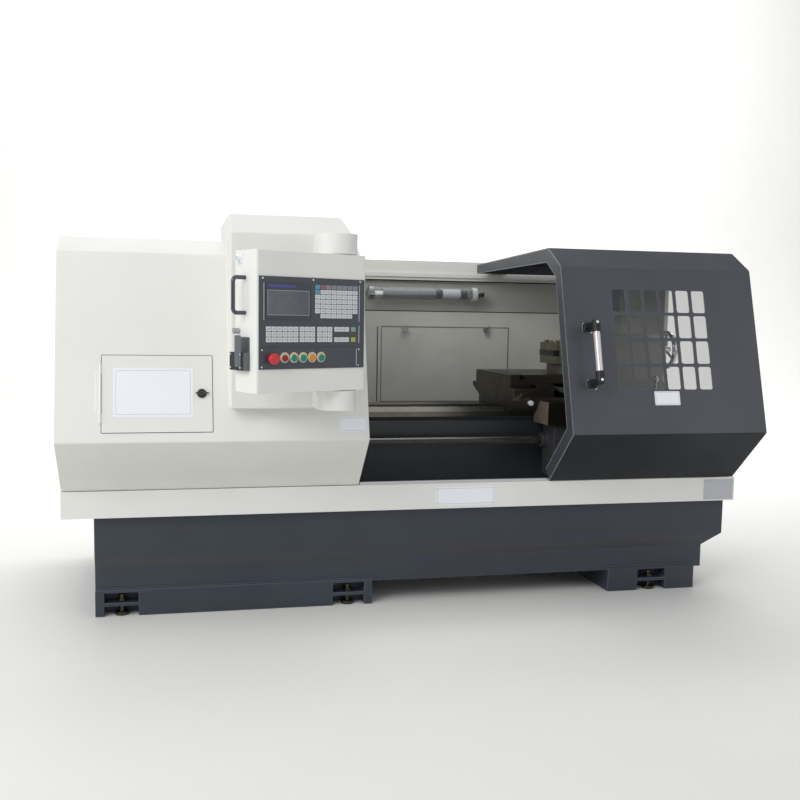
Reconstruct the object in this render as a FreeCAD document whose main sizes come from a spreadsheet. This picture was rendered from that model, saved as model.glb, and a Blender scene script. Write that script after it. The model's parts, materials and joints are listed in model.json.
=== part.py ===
"""Flat-bed turning lathe with a semi-enclosed guard, as a parametric document.

Millimetres. +X runs along the spindle axis towards the tailstock, +Y to the back of the machine,
+Z up. The origin lies on the floor under the middle of the machine.
"""
import FreeCAD, Part
import math
import os
import Sketcher

DRIVING_SIZES = [
    ("overrun", 5, "how far a cutting shape passes a face"),
    # chip tray: the datum of the enclosure
    ("tray_length", 2820, "left end to right end"),
    ("tray_front_y", -275, "front face"),
    ("machine_back_y", 860, "back face of tray and guards"),
    ("tray_bottom_z", 399, "underside, on the base"),
    ("tray_height", 104, "front wall"),
    ("tray_wall", 4, "sheet of the tray"),
    ("tray_rim", 25, "folded rim"),
    # base casting
    ("base_left_x", -1293, "left end"),
    ("base_right_x", 1386, "right end under the tray"),
    ("base_front_y", -233, "front face"),
    ("base_back_y", 800, "back face"),
    ("base_break_z", 245, "where the sides start to taper"),
    ("base_waist_z", 190, "where the taper ends"),
    ("base_wall", 24, "walls of the casting"),
    ("base_setback", 23, "taper at front and back"),
    ("base_end_setback", 85, "taper at the right end"),
    ("foot_height", 92, "height of the feet"),
    ("foot_step", 13, "feet stand proud of the waist"),
    ("left_foot_length", 1096, "long foot below the headstock"),
    ("right_foot_x", 851, "left end of the right foot"),
    ("right_foot_length", 412, "foot below the tailstock"),
    ("foot_depth", 330, "depth of each foot"),
    ("pocket_width", 130, "levelling pocket"),
    ("pocket_depth", 62, "levelling pocket"),
    ("pocket_margin", 34, "pocket to the end of the foot"),
    ("flange_z", 40, "underside of the levelling flange"),
    ("flange_thickness", 14, "levelling flange"),
    ("leveller_radius", 10, "levelling bolt"),
    ("leveller_pad_radius", 26, "levelling pad"),
    ("leveller_pad_height", 12, "levelling pad"),
    ("leveller_length", 76, "levelling bolt above the middle of its pad"),
    ("leveller_fit", 0.3, "gap round a levelling bolt"),
    ("leveller_nut_radius", 19, "corners of the nut"),
    # bed and ways
    ("bed_left_x", -1030, "left end"),
    ("bed_length", 2350, "length of the casting"),
    ("bed_front_y", 15, "front edge of the ways"),
    ("bed_width", 400, "across the ways"),
    ("way_z", 770, "flat of the front way"),
    ("way_thickness", 22, "edge of the ways"),
    ("front_prism_height", 16, "prism that guides the saddle"),
    ("inner_prism_height", 12, "prism that guides the tailstock"),
    ("back_way_rise", 8, "back way above the front flat"),
    ("bed_wall_inset", 20, "side walls below the ways"),
    ("bed_recess", 25, "panel sunk into the front wall"),
    ("recess_top_z", 650, "upper edge of the sunk panel"),
    ("recess_rise", 25, "foot below the sunk panel"),
    ("front_prism_y", 40, "front prism from the bed's front edge"),
    ("inner_prism_y", 105, "inner prism from the bed's front edge"),
    ("back_way_y", 275, "back way from the bed's front edge"),
    ("prism_spread", 1.3, "half width of a prism for each unit of height"),
    ("window_y", 135, "chip window from the bed's front edge"),
    ("window_width", 126, "chip window"),
    ("window_corner", 20, "corner of a chip window"),
    ("window_length", 150, "chip window in the bed"),
    ("window_pitch", 190, "from window to window"),
    ("window_count", 8, "number of chip windows"),
    ("window_start_x", -270, "left edge of the first window"),
    ("way_clearance", 0.3, "running gap on the ways"),
    # spindle line
    ("spindle_y", 215, "spindle axis"),
    ("spindle_z", 1040, "spindle axis"),
    ("spindle_radius", 55, "spindle in its bearings"),
    ("spindle_bore_radius", 41, "through bore"),
    ("spindle_fit", 0.05, "radial clearance in the bearings"),
    ("headstock_left_x", -1027, "left face"),
    ("headstock_length", 675, "along the spindle"),
    ("headstock_width", 420, "across"),
    ("headstock_top_z", 1240, "top face"),
    ("headstock_corner", 45, "rounded long edges"),
    ("bearing_boss_radius", 105, "boss round the front bearing"),
    ("bearing_boss_length", 14, "boss round the front bearing"),
    ("nose_gap", 2, "spindle flange to boss"),
    ("nose_radius", 85, "spindle flange"),
    ("nose_length", 20, "spindle flange"),
    ("chuck_radius", 125, "three-jaw chuck"),
    ("chuck_length", 100, "three-jaw chuck"),
    ("chuck_edge", 4, "chamfer of the chuck"),
    ("chuck_bore_radius", 38, "hole of the chuck"),
    ("jaw_width", 32, "chuck jaw"),
    ("jaw_inner_radius", 40, "grip face of a jaw"),
    ("jaw_length", 76, "radial length of a jaw"),
    ("jaw_height", 54, "jaw in front of the chuck"),
    ("jaw_slot_depth", 15, "guide slot in the chuck"),
    ("jaw_clearance", 0.3, "jaw in its slot"),
    ("pulley_width", 64, "both belt pulleys"),
    ("pulley_gap", 14, "pulley to headstock"),
    ("spindle_overhang", 20, "spindle beyond its pulley"),
    ("spindle_pulley_radius", 110, "on the spindle"),
    ("motor_pulley_radius", 75, "on the motor shaft"),
    ("motor_y", 685, "motor axis"),
    ("motor_z", 560, "motor axis"),
    ("motor_radius", 120, "motor housing"),
    ("motor_length", 400, "motor housing"),
    ("motor_shaft_radius", 21, "motor shaft"),
    ("motor_shaft_depth", 40, "shaft inside the housing"),
    ("motor_foot_inset", 50, "foot from the ends of the housing"),
    ("terminal_box_length", 150, "terminal box on the motor"),
    ("terminal_box_width", 110, "terminal box on the motor"),
    ("terminal_box_rise", 40, "terminal box above the housing"),
    ("belt_inset", 4, "belt from the edge of a pulley"),
    ("belt_thickness", 8, "drive belt"),
    ("belt_gap", 0.3, "belt to pulley"),
    # carriage
    ("saddle_left_x", 453, "left end at rest"),
    ("saddle_length", 460, "along the ways"),
    ("saddle_top_z", 873, "top face"),
    ("saddle_front_y", -60, "front edge"),
    ("saddle_back_y", 515, "back edge"),
    ("saddle_edge", 52, "front edge of the plate"),
    ("saddle_skirt", 25, "front skirt before the bed"),
    ("saddle_lap", 4, "saddle below the flat of the front way"),
    ("saddle_heel", 44, "back underside above the ways, at the bed"),
    ("saddle_tail", 20, "back edge of the plate"),
    ("channel_width", 80, "trough of the cross screw"),
    ("channel_depth", 37, "trough below the top face"),
    ("end_wall_width", 120, "wall behind the trough"),
    ("end_wall_thickness", 25, "wall behind the trough"),
    ("end_wall_depth", 90, "wall below the top face"),
    ("end_wall_rise", 10, "wall above the top face"),
    ("oiler_radius", 7, "oil nipple"),
    ("oiler_height", 8, "oil nipple"),
    ("oiler_inset", 40, "oil nipple from the plate's ends"),
    ("apron_corner", 12, "rounded edges of the apron"),
    ("apron_gap", 4, "apron to bed"),
    ("nut_wall", 14, "ball nut round its screw"),
    ("nut_length", 24, "ball nut beside the apron"),
    ("wing_inset", 125, "front wing from the saddle's end"),
    ("wing_length", 250, "front wing"),
    ("wing_front_y", -155, "front wing"),
    ("wing_bottom_z", 723, "front wing"),
    ("wing_top_z", 822, "front wing"),
    ("apron_inset", 170, "apron from the saddle's end"),
    ("apron_length", 200, "apron"),
    ("apron_front_y", -125, "apron"),
    ("apron_bottom_z", 490, "apron"),
    ("rail_width", 230, "dovetail at its root"),
    ("rail_height", 20, "dovetail"),
    ("rail_flare", 12, "dovetail undercut"),
    ("slide_inset", 8, "cross slide from the saddle's end"),
    ("slide_front_y", 0, "front end at rest"),
    ("slide_length", 490, "front to back"),
    ("slide_thickness", 58, "cross slide"),
    ("slide_clearance", 0.3, "running gap of the dovetail"),
    ("slot_mouth", 12, "mouth of the T slots"),
    ("slot_foot", 24, "foot of the T slots"),
    ("slot_inset", 40, "T slot from the ends of the slide"),
    ("slot_depth", 20, "T slot"),
    ("slot_lip", 12, "T slot, above its foot"),
    ("slide_nut_y", 190, "nut from the slide's front end"),
    ("slide_nut_width", 60, "nut of the cross screw"),
    ("slide_nut_length", 70, "nut of the cross screw"),
    ("slide_nut_drop", 22, "nut below the cross screw"),
    ("turret_x", 765, "turret axis"),
    ("turret_y", 95, "turret axis at rest"),
    ("turret_size", 190, "square of the head"),
    ("turret_base_radius", 92, "round base"),
    ("turret_spigot_radius", 30, "spigot that the head turns on"),
    ("turret_spigot_height", 60, "spigot that the head turns on"),
    ("turret_drive_length", 60, "index drive beside the base"),
    ("turret_drive_width", 90, "index drive beside the base"),
    ("turret_hub_radius", 46, "hub on top of the head"),
    ("turret_hub_height", 12, "hub on top of the head"),
    ("turret_top_sink", 1, "hub and screws inside the head"),
    ("turret_drive_sink", 20, "index drive inside the base"),
    ("clamp_screw_radius", 7, "screws that hold the tools"),
    ("clamp_screw_height", 10, "screws that hold the tools"),
    ("clamp_screw_inset", 15, "screws from the edge"),
    ("clamp_screw_pitch", 64, "between the screws"),
    ("tool_relief", 22, "ground flank of a tool"),
    ("tool_nose", 14, "ground flank of a tool"),
    ("turret_plate", 34, "lower and upper plate of the head"),
    ("turret_core", 132, "square core of the head"),
    ("tool_size", 26, "square tool shank"),
    ("tool_length", 190, "turning tool"),
    ("tool_overhang", 26, "tool beyond the head"),
    # long screw and cross screw
    ("long_screw_y", -20, "ball screw along the bed"),
    ("long_screw_z", 645, "ball screw along the bed"),
    ("long_screw_radius", 18, "ball screw along the bed"),
    ("screw_fit", 0.3, "radial gap of a screw in its nut"),
    ("bearing_fit", 0.05, "radial clearance of shafts in bearings"),
    ("bearing_length", 60, "screw bearing"),
    ("bearing_size", 92, "square of the screw bearing"),
    ("left_bearing_x", -410, "left screw bearing"),
    ("right_bearing_x", 1240, "right screw bearing"),
    ("bearing_corner", 12, "rounded edges of bearing and servo"),
    ("journal_share", 0.7, "screw journal over the screw's radius"),
    ("journal_reach", 30, "journal inside the servo motor"),
    ("journal_end", 8, "journal beyond the right bearing"),
    ("journal_gap", 2, "thread to bearing"),
    ("servo_gap", 1, "servo motor to bed"),
    ("servo_size", 130, "square of a servo motor"),
    ("servo_length", 190, "servo motor"),
    ("cross_screw_radius", 12, "ball screw of the cross slide"),
    ("cross_screw_z", 868, "ball screw of the cross slide"),
    ("cross_servo_size", 100, "square of the cross servo"),
    ("cross_servo_length", 165, "cross servo"),
    # tailstock
    ("tail_left_x", 1033, "left face at rest"),
    ("tail_length", 240, "along the bed"),
    ("tail_half_width", 150, "half of the foot"),
    ("tail_neck", 74, "half width of the neck"),
    ("barrel_radius", 78, "barrel round the quill"),
    ("barrel_nose", 14, "barrel before the body"),
    ("barrel_tail", 6, "barrel behind the body"),
    ("tail_lap", 2, "foot below the flat of the front way"),
    ("tail_foot_rise", 62, "height of the foot"),
    ("tail_neck_rise", 130, "start of the neck"),
    ("tail_back_wall", 22, "wall behind the quill"),
    ("lever_share", 0.62, "lever along the body"),
    ("lever_rise", 40, "lever above the ways"),
    ("lever_boss_radius", 24, "boss of the lever"),
    ("lever_boss_height", 8, "boss of the lever"),
    ("lever_hub_radius", 18, "hub of the lever"),
    ("lever_hub_length", 26, "hub of the lever"),
    ("lever_radius", 7, "lever"),
    ("lever_length", 100, "lever"),
    ("lever_ball_radius", 15, "ball of the lever"),
    ("lever_gap", 0.3, "lever to boss"),
    ("lever_pin_radius", 9, "shaft of the lever"),
    ("lever_pin_length", 40, "shaft of the lever inside the body"),
    ("quill_screw_radius", 14, "screw of the quill"),
    ("quill_seat_depth", 105, "seat of the live centre"),
    ("quill_screw_reach", 165, "screw inside the quill"),
    ("quill_radius", 37.5, "quill"),
    ("quill_fit", 0.05, "radial clearance of the quill"),
    ("quill_reach", 52, "quill out of the barrel"),
    ("quill_length", 250, "quill"),
    ("centre_shank", 15, "radius of the centre's shank"),
    ("centre_fit", 0.05, "radial clearance of the centre"),
    ("centre_radius", 26, "head of the live centre"),
    ("centre_length", 90, "live centre out of the quill"),
    ("centre_neck_share", 0.7, "neck over the head's radius"),
    ("centre_cone_share", 0.45, "cone over the centre's length"),
    ("centre_throat_share", 0.2, "neck over the centre's length"),
    ("centre_tip", 0.6, "radius of the point"),
    ("wheel_radius", 92, "hand wheel"),
    ("wheel_rim", 11, "half height of the rim's section"),
    ("rim_flat", 5, "half of each flat of the rim"),
    ("wheel_offset", 34, "wheel to barrel"),
    ("wheel_spokes", 3, "number of spokes"),
    ("wheel_hub_radius", 24, "hub of the hand wheel"),
    ("wheel_hub_taper", 0.8, "back of the hub over its front"),
    ("wheel_hub_front", 14, "hub before the rim's plane"),
    ("wheel_hub_back", 26, "hub behind the rim's plane"),
    ("wheel_spoke_radius", 8, "spoke"),
    # left guard
    ("guard_left_x", -1407, "left end"),
    ("guard_right_x", -269, "right end"),
    ("guard_toe_y", -268, "lower edge"),
    ("guard_belly_y", -479, "foremost fold"),
    ("guard_belly_z", 713, "foremost fold"),
    ("guard_brow_y", -290, "fold below the roof"),
    ("guard_brow_z", 1400, "fold below the roof"),
    ("guard_roof_y", -165, "front edge of the roof"),
    ("guard_roof_z", 1462, "roof"),
    ("guard_sheet", 2.5, "sheet of the guards"),
    ("seat_gap", 1, "guards above the tray rim"),
    # access door in the guard
    ("hatch_x", -1245, "left edge, the hinge side"),
    ("hatch_width", 392, "access door"),
    ("hatch_rise", 37, "lower edge above the fold, along the slope"),
    ("hatch_height", 284, "along the slope"),
    ("hatch_overlap", 14, "access door over the edge of its opening"),
    ("hatch_sheet", 2, "sheet of the access door"),
    ("latch_inset", 38, "latch from the free edge"),
    ("latch_radius", 8, "latch spindle"),
    ("latch_fit", 0.05, "radial clearance of the latch"),
    ("latch_gap", 0.3, "tongue behind the lip"),
    ("latch_collar_radius", 17, "collar of the latch"),
    ("latch_collar_height", 5, "collar of the latch"),
    ("latch_wing", 19, "half length of the wing"),
    ("latch_wing_height", 7, "wing on the collar"),
    ("latch_wing_share", 0.6, "half width of the wing over its half length"),
    ("latch_tongue_length", 31, "tongue beyond the stem"),
    ("latch_tongue", 18, "width of the tongue"),
    ("latch_tongue_thickness", 3, "tongue"),
    ("hatch_lip", 14, "folded lip of the access door"),
    ("hatch_play", 3, "lip inside the opening"),
    ("hatch_gap", 0.3, "access door to guard"),
    ("knuckle_radius", 4, "hinge knuckle"),
    ("knuckle_length", 34, "hinge knuckle"),
    ("knuckle_inset", 34, "hinge knuckle from the edge"),
    ("knuckle_gap", 0.3, "between hinge knuckles"),
    ("knuckle_offset", 1, "hinge knuckle beside the access door"),
    ("hinge_pin_radius", 2, "pin of the hinge"),
    ("hinge_leaf", 18, "leaf of the hinge on the guard"),
    ("hinge_leaf_thickness", 1.5, "leaf of the hinge on the guard"),
    ("throat_front_y", -105, "opening for chuck and bed"),
    ("throat_width", 575, "opening for chuck and bed"),
    ("throat_top_z", 1240, "opening for chuck and bed"),
    ("throat_corner", 60, "opening for chuck and bed"),
    # pillar and swivel
    ("pillar_left_x", -792, "left side"),
    ("pillar_width", 440, "across"),
    ("pillar_corner_run", 27, "slant of the right side below the top, across"),
    ("pillar_corner_drop", 59, "slant of the right side below the top, downwards"),
    ("pillar_front_y", -518, "front face"),
    ("pillar_bottom_z", 837, "lower edge"),
    ("pillar_brow_z", 1468, "front edge of the top slope"),
    ("pillar_top_y", -428, "back edge of the top slope"),
    ("pillar_top_z", 1542, "top"),
    ("pillar_back_y", 120, "back face on the roof"),
    ("swivel_x", -426, "swivel axis"),
    ("swivel_y", -635, "swivel axis"),
    ("bracket_radius", 70, "nose of a bracket"),
    ("bracket_height", 72, "bracket"),
    ("bracket_flare", 52, "wider root on the left"),
    ("flare_first", 0.55, "first step of the root over its flare"),
    ("flare_side", 0.15, "second step beside the nose, over the flare"),
    ("flare_second", 1.2, "second step before the pillar, over the flare"),
    ("flare_end", 1.6, "end of the root before the pillar, over the flare"),
    ("bracket_gap", 2, "bracket to control box"),
    ("pin_radius", 15, "swivel pin"),
    ("pin_fit", 0.05, "radial clearance of the pin"),
    ("pin_depth", 42, "pin inside the box"),
    ("pin_recess", 2, "pin short of its bore"),
    ("pin_boss_radius", 26, "boss round the pin"),
    # control box, measured from the swivel axis
    ("box_turn", 26, "degrees that the box is swung out"),
    ("box_left", 374, "left side from the axis"),
    ("box_width", 448, "control box"),
    ("box_front", 71, "front from the axis"),
    ("box_depth", 140, "control box"),
    ("box_bottom_z", 918, "control box"),
    ("box_height", 470, "control box"),
    ("box_sheet", 2, "sheet of the box"),
    ("box_edge", 10, "rounded upright edges"),
    ("facia_left", 9, "facia from the left side"),
    ("facia_width", 430, "facia"),
    ("facia_bottom", 79, "facia above the box's lower edge"),
    ("facia_height", 306, "facia"),
    ("facia_thickness", 3, "facia"),
    ("strip_height", 72, "button strip at the foot of the facia"),
    ("screen_left", 23, "screen from the facia's left edge"),
    ("screen_width", 178, "screen"),
    ("screen_bottom", 165, "screen above the facia's lower edge"),
    ("screen_height", 118, "screen"),
    ("screen_rise", 2, "screen above the facia"),
    ("key_gap", 2, "between keys"),
    ("key_rise", 1.2, "key above the facia"),
    ("entry_keys_u", 220, "entry keys from the facia's left edge"),
    ("entry_keys_z", 171, "entry keys above the facia's lower edge"),
    ("entry_pitch", 22.6, "entry keys, from key to key across"),
    ("entry_row", 16.3, "entry keys, from row to row"),
    ("mode_keys_u", 26, "mode keys from the facia's left edge"),
    ("lower_keys_z", 90, "lower key fields above the facia's lower edge"),
    ("lower_pitch", 21.4, "lower keys, from key to key across"),
    ("lower_row", 17.8, "lower keys, from row to row"),
    ("field_start", 158, "first short key field from the facia's left edge"),
    ("field_pitch", 71.5, "from one short key field to the next"),
    ("button_z", 36, "buttons above the facia's lower edge"),
    ("stop_u", 45, "emergency stop from the facia's left edge"),
    ("stop_radius", 19, "emergency stop"),
    ("button_start", 99, "first push button from the facia's left edge"),
    ("button_pitch", 36.8, "from button to button"),
    ("button_radius", 11, "push button"),
    ("button_rise", 7, "button above its bezel's foot"),
    ("bezel_radius", 14.5, "bezel"),
    ("bezel_height", 4, "bezel"),
    ("button_gap", 0.3, "button in its bezel"),
    ("handle_depth", 70, "side handle from the box's front"),
    ("handle_bottom", 264, "side handle above the box's lower edge"),
    ("handle_pitch", 116, "between the arms of the side handle"),
    ("handle_reach", 46, "side handle"),
    ("handle_rod", 7, "radius of the side handle"),
    ("facia_ledge", 12, "box wall behind the facia's edge"),
    ("seam_width", 2, "groove between facia and button strip"),
    ("seam_depth", 1, "groove between facia and button strip"),
    ("screen_corner", 4, "corner of the screen"),
    ("button_depth", 17, "button inside the box"),
    ("stop_head_height", 14, "head of the emergency stop"),
    ("stop_neck_height", 8, "neck of the emergency stop"),
    ("stop_travel_room", 8, "neck above the facia"),
    ("stop_head_share", 0.92, "front of the head over its radius"),
    ("stop_neck_share", 0.6, "neck over the head's radius"),
    ("hanger_bottom", 74, "hanger above the box's lower edge"),
    ("hanger_height", 60, "hanger"),
    ("hanger_depth", 40, "hanger from the box's front"),
    ("hanger_length", 92, "hanger"),
    ("hanger_reach", 24, "hanger"),
    ("hanger_wall", 6, "wall of the hanger"),
    ("hanger_plate_height", 110, "plate above the box's lower hanger edge"),
    ("hanger_plate_length", 58, "plate"),
    ("hanger_plate", 3, "plate"),
    ("knob_radius", 10, "clamping knob beside the hanger"),
    ("knob_length", 20, "clamping knob beside the hanger"),
    ("knob_depth", 112, "clamping knob from the box's front"),
    ("knob_rise", 204, "clamping knob above the box's lower edge"),
    ("socket_depth", 103, "socket from the box's front"),
    ("socket_rise", 442, "socket above the box's lower edge"),
    ("socket_plate", 30, "square of the socket"),
    ("socket_radius", 12, "socket"),
    ("socket_length", 14, "socket"),
    ("socket_wall", 2.5, "socket"),
    # rear guard
    ("header_front_y", 832, "front of header and rear wall"),
    ("header_bottom_z", 1370, "lower edge of the header"),
    ("header_top_z", 1468, "upper edge of the header"),
    ("recess_bottom_z", 1213, "ledge below the lamp recess"),
    ("panel_left_x", 41, "removable panel"),
    ("panel_width", 701, "removable panel"),
    ("panel_bottom_z", 745, "removable panel"),
    ("panel_height", 381, "removable panel"),
    ("panel_sheet", 2, "removable panel"),
    ("panel_overlap", 25, "panel over the edge of its opening"),
    ("knob_inset", 136, "knob from the panel's left edge"),
    ("knob_pitch", 432, "between the knobs"),
    ("knob_drop", 10, "knob below the panel's upper edge"),
    ("panel_knob_radius", 8, "stem of a knob"),
    ("panel_knob_length", 22, "stem of a knob"),
    ("panel_knob_head", 14, "head of a knob"),
    ("panel_knob_head_length", 10, "head of a knob"),
    ("rear_right_inset", 17, "rear guard from the tray's right end"),
    ("lamp_left_x", -22, "work lamp"),
    ("lamp_length", 570, "work lamp"),
    ("lamp_y", 790, "lamp axis"),
    ("lamp_z", 1300, "lamp axis"),
    ("lamp_radius", 31, "lamp tube"),
    ("lamp_wall", 3, "glass of the lamp"),
    ("collar_width", 26, "collar of the lamp"),
    ("collar_wall", 4, "collar of the lamp"),
    ("lamp_cap", 4, "closed ends of the lamp"),
    ("strap_height", 24, "strap from collar to wall"),
    ("gland_radius", 13, "gland of the lamp"),
    ("gland_length", 42, "gland of the lamp"),
    ("conduit_radius", 8, "conduit from lamp to wall"),
    ("conduit_inset", 8, "conduit from the gland's end"),
    # sliding door
    ("door_left_x", 541, "left edge at rest"),
    ("door_width", 852, "sliding door"),
    ("door_gap", 38, "door in front of the guard's fold"),
    ("door_belly_z", 725, "foremost fold"),
    ("door_brow_z", 1393, "fold below the roof"),
    ("door_roof_y", -196, "front edge of the roof"),
    ("door_roof_z", 1474, "front edge of the roof"),
    ("door_back_y", 763, "back edge of the roof"),
    ("door_back_z", 1452, "back edge of the roof"),
    ("door_drop", 45, "flange that hangs from the back edge"),
    ("door_toe_y", -282, "lower edge"),
    ("door_flange", 60, "return flange on the left edge"),
    ("grid_left", 212, "slots from the door's left edge"),
    ("grid_rise", 183, "slots above the fold, along the slope"),
    ("slot_hole_width", 56, "slot of the window grid"),
    ("slot_hole_height", 94, "slot of the window grid"),
    ("slot_hole_radius", 9, "corner of a slot"),
    ("slot_pitch_x", 71.4, "from slot to slot"),
    ("slot_pitch_z", 107.3, "from slot to slot, along the slope"),
    ("slot_columns", 6, "columns of slots"),
    ("slot_rows", 4, "rows of slots"),
    ("grid_margin", 30, "plain sheet round the slots"),
    ("pane_thickness", 4, "clear pane behind the slots"),
    ("grip_x", 92, "door handle from the door's left edge"),
    ("grip_rise", 203, "lower mount above the fold, along the slope"),
    ("grip_length", 231, "between the mounts"),
    ("grip_radius", 13, "door handle"),
    ("grip_standoff", 84, "door handle axis from the door"),
    ("mount_width", 34, "mount of the door handle"),
    ("rail_bar_height", 20, "upper rail of the door"),
    ("rail_bar_width", 12, "both rails of the door"),
    ("rail_top_z", 1405, "top of the upper rail"),
    ("glide_length", 90, "glide of the door"),
    ("glide_gap", 0.3, "glide on its rail"),
    ("glide_inset", 74, "glide from the door's edges"),
    ("glide_height", 24, "upper glide"),
    ("glide_back_gap", 2, "upper glide to header"),
    ("glide_lower_height", 34, "lower glide"),
    ("rail_inset", 5, "rails from the left guard"),
    ("rail_right_inset", 22, "rails from the tray's right end"),
    ("rail_setback", 4, "lower rail from the tray's front"),
    ("pane_margin", 9, "pane beyond the grid field"),
    ("pane_corner", 10, "corner of the pane"),
    ("mount_foot", 14, "foot of a handle mount"),
    ("mount_foot_share", 1.2, "foot height over half its width"),
    ("mount_post_share", 0.8, "post over half the mount's width"),
    ("mount_sleeve", 36, "sleeve of a mount"),
    ("mount_wall", 6, "closed end of a sleeve"),
    ("mount_corner", 8, "corner of a mount's foot"),
]

document = FreeCAD.newDocument("turning_lathe")
sheet = document.addObject("Spreadsheet::Sheet", "sizes")
for row, (alias, value, note) in enumerate(DRIVING_SIZES, start=1):
    sheet.set(f"A{row}", str(value))
    sheet.setAlias(f"A{row}", alias)
    sheet.set(f"B{row}", note)
document.recompute()

FINISHED = []
AXES = {
    "x": FreeCAD.Vector(1, 0, 0),
    "y": FreeCAD.Vector(0, 1, 0),
    "z": FreeCAD.Vector(0, 0, 1),
}
ALONG = {
    "x": FreeCAD.Rotation(FreeCAD.Vector(0, 1, 0), 90),
    "y": FreeCAD.Rotation(FreeCAD.Vector(1, 0, 0), -90),
    "z": FreeCAD.Rotation(),
}
PLANES = {
    "x": FreeCAD.Rotation(FreeCAD.Vector(1, 1, 1), 120),
    "y": FreeCAD.Rotation(FreeCAD.Vector(1, 0, 0), 90),
    "z": FreeCAD.Rotation(),
}
ORIGIN_PLANES = {"x": "YZ_Plane", "y": "XZ_Plane", "z": "XY_Plane"}


def number(expression):
    """Value of an expression on the sheet."""
    result = sheet.evalExpression(str(expression))
    return float(getattr(result, "Value", result))


def locate(thing, x="0", y="0", z="0"):
    """Bind the place of an object to the sheet."""
    for letter, expression in zip("xyz", (x, y, z)):
        thing.setExpression(f"Placement.Base.{letter}", str(expression))
    return thing


def turn(thing, axis, degrees):
    """Bind a turn of an object about one axis to the sheet."""
    base = thing.Placement.Base
    thing.Placement = FreeCAD.Placement(base, FreeCAD.Rotation(AXES[axis], number(degrees)))
    thing.setExpression("Placement.Rotation.Angle", str(degrees))
    return thing


def finish(label, thing):
    """Name a finished piece, which gives its file the same name."""
    thing.Label = label
    FINISHED.append(thing)
    return thing


def block(name, x, y, z, length, width, height):
    """Box with its lowest corner at x, y, z."""
    thing = document.addObject("Part::Box", name)
    thing.setExpression("Length", str(length))
    thing.setExpression("Width", str(width))
    thing.setExpression("Height", str(height))
    return locate(thing, x, y, z)


def rod(name, axis, x, y, z, radius, length):
    """Round bar that starts at x, y, z and runs along an axis."""
    thing = document.addObject("Part::Cylinder", name)
    thing.Placement = FreeCAD.Placement(FreeCAD.Vector(), ALONG[axis])
    thing.setExpression("Radius", str(radius))
    thing.setExpression("Height", str(length))
    return locate(thing, x, y, z)


def taper(name, axis, x, y, z, start_radius, end_radius, length):
    """Cone frustum that starts at x, y, z and runs along an axis."""
    thing = document.addObject("Part::Cone", name)
    thing.Placement = FreeCAD.Placement(FreeCAD.Vector(), ALONG[axis])
    thing.setExpression("Radius1", str(start_radius))
    thing.setExpression("Radius2", str(end_radius))
    thing.setExpression("Height", str(length))
    return locate(thing, x, y, z)


def joined(name, *parts):
    """Union of several parts."""
    thing = document.addObject("Part::MultiFuse", name)
    thing.Shapes = list(parts)
    thing.Refine = True
    return thing


def cut(name, base, *tools):
    """A part less one or more tools."""
    tool = tools[0] if len(tools) == 1 else joined(f"{name}_tools", *tools)
    thing = document.addObject("Part::Cut", name)
    thing.Base = base
    thing.Tool = tool
    thing.Refine = True
    return thing


def fix_point(sketch, edge, end, place, start):
    """Hold one end of a sketch line at a place given by two expressions."""
    for kind, expression, now in zip(("DistanceX", "DistanceY"), place, start):
        index = sketch.addConstraint(Sketcher.Constraint(kind, -1, 1, edge, end, now))
        sketch.setExpression(f"Constraints[{index}]", str(expression))


def draw_lines(sketch, points, closed=True):
    """Draw straight lines through points, each point bound to the sheet."""
    starts = [(number(across), number(up)) for across, up in points]
    count = len(points)
    lines = count if closed else count - 1
    for index in range(lines):
        first = FreeCAD.Vector(*starts[index], 0)
        second = FreeCAD.Vector(*starts[(index + 1) % count], 0)
        sketch.addGeometry(Part.LineSegment(first, second), False)
    for index in range(lines if closed else lines - 1):
        sketch.addConstraint(Sketcher.Constraint("Coincident", index, 2, (index + 1) % lines, 1))
    for index, (point, start) in enumerate(zip(points, starts)):
        edge, end = (index, 1) if index < lines else (lines - 1, 2)
        fix_point(sketch, edge, end, point, start)
    return sketch


def outline(name, axis, points, closed=True):
    """Free sketch on the plane that stands square to an axis."""
    sketch = document.addObject("Sketcher::SketchObject", name)
    draw_lines(sketch, points, closed)
    sketch.Placement = FreeCAD.Placement(FreeCAD.Vector(), PLANES[axis])
    return sketch


def extruded(name, sketch, axis, start, length):
    """Solid from a flat outline, from start along an axis."""
    thing = document.addObject("Part::Extrusion", name)
    thing.Base = sketch
    thing.DirMode = "Custom"
    thing.Dir = AXES[axis]
    thing.Solid = True
    thing.setExpression("LengthFwd", str(length))
    places = {"x": "0", "y": "0", "z": "0"}
    places[axis] = start
    return locate(thing, **places)


def prism(name, axis, points, start, length):
    """Straight prism: a closed outline of points, run along an axis."""
    return extruded(name, outline(f"{name}_outline", axis, points), axis, start, length)


def offset(name, sketch, distance, filled=False):
    """Outline set off sideways, or the strip between the two when filled."""
    thing = document.addObject("Part::Offset2D", name)
    thing.Source = sketch
    thing.setExpression("Value", str(distance))
    thing.Join = 2
    if filled:
        thing.Mode = "Skin"
        thing.Fill = True
    return thing


def origin_plane(body, axis):
    """Plane of a body's own origin that stands square to an axis."""
    return next(item for item in body.Origin.OriginFeatures if item.Role == ORIGIN_PLANES[axis])


def body_sketch(body, name, axis, rise="0"):
    """Sketch on an origin plane of its body, lifted along the plane's normal."""
    sketch = body.newObject("Sketcher::SketchObject", name)
    sketch.AttachmentSupport = [(origin_plane(body, axis), "")]
    sketch.MapMode = "FlatFace"
    sketch.setExpression("AttachmentOffset.Base.z", str(rise))
    return sketch


def pad(body, name, sketch, length):
    """Raise a sketch into a solid."""
    feature = body.newObject("PartDesign::Pad", name)
    feature.Profile = sketch
    feature.setExpression("Length", str(length))
    return feature


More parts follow.
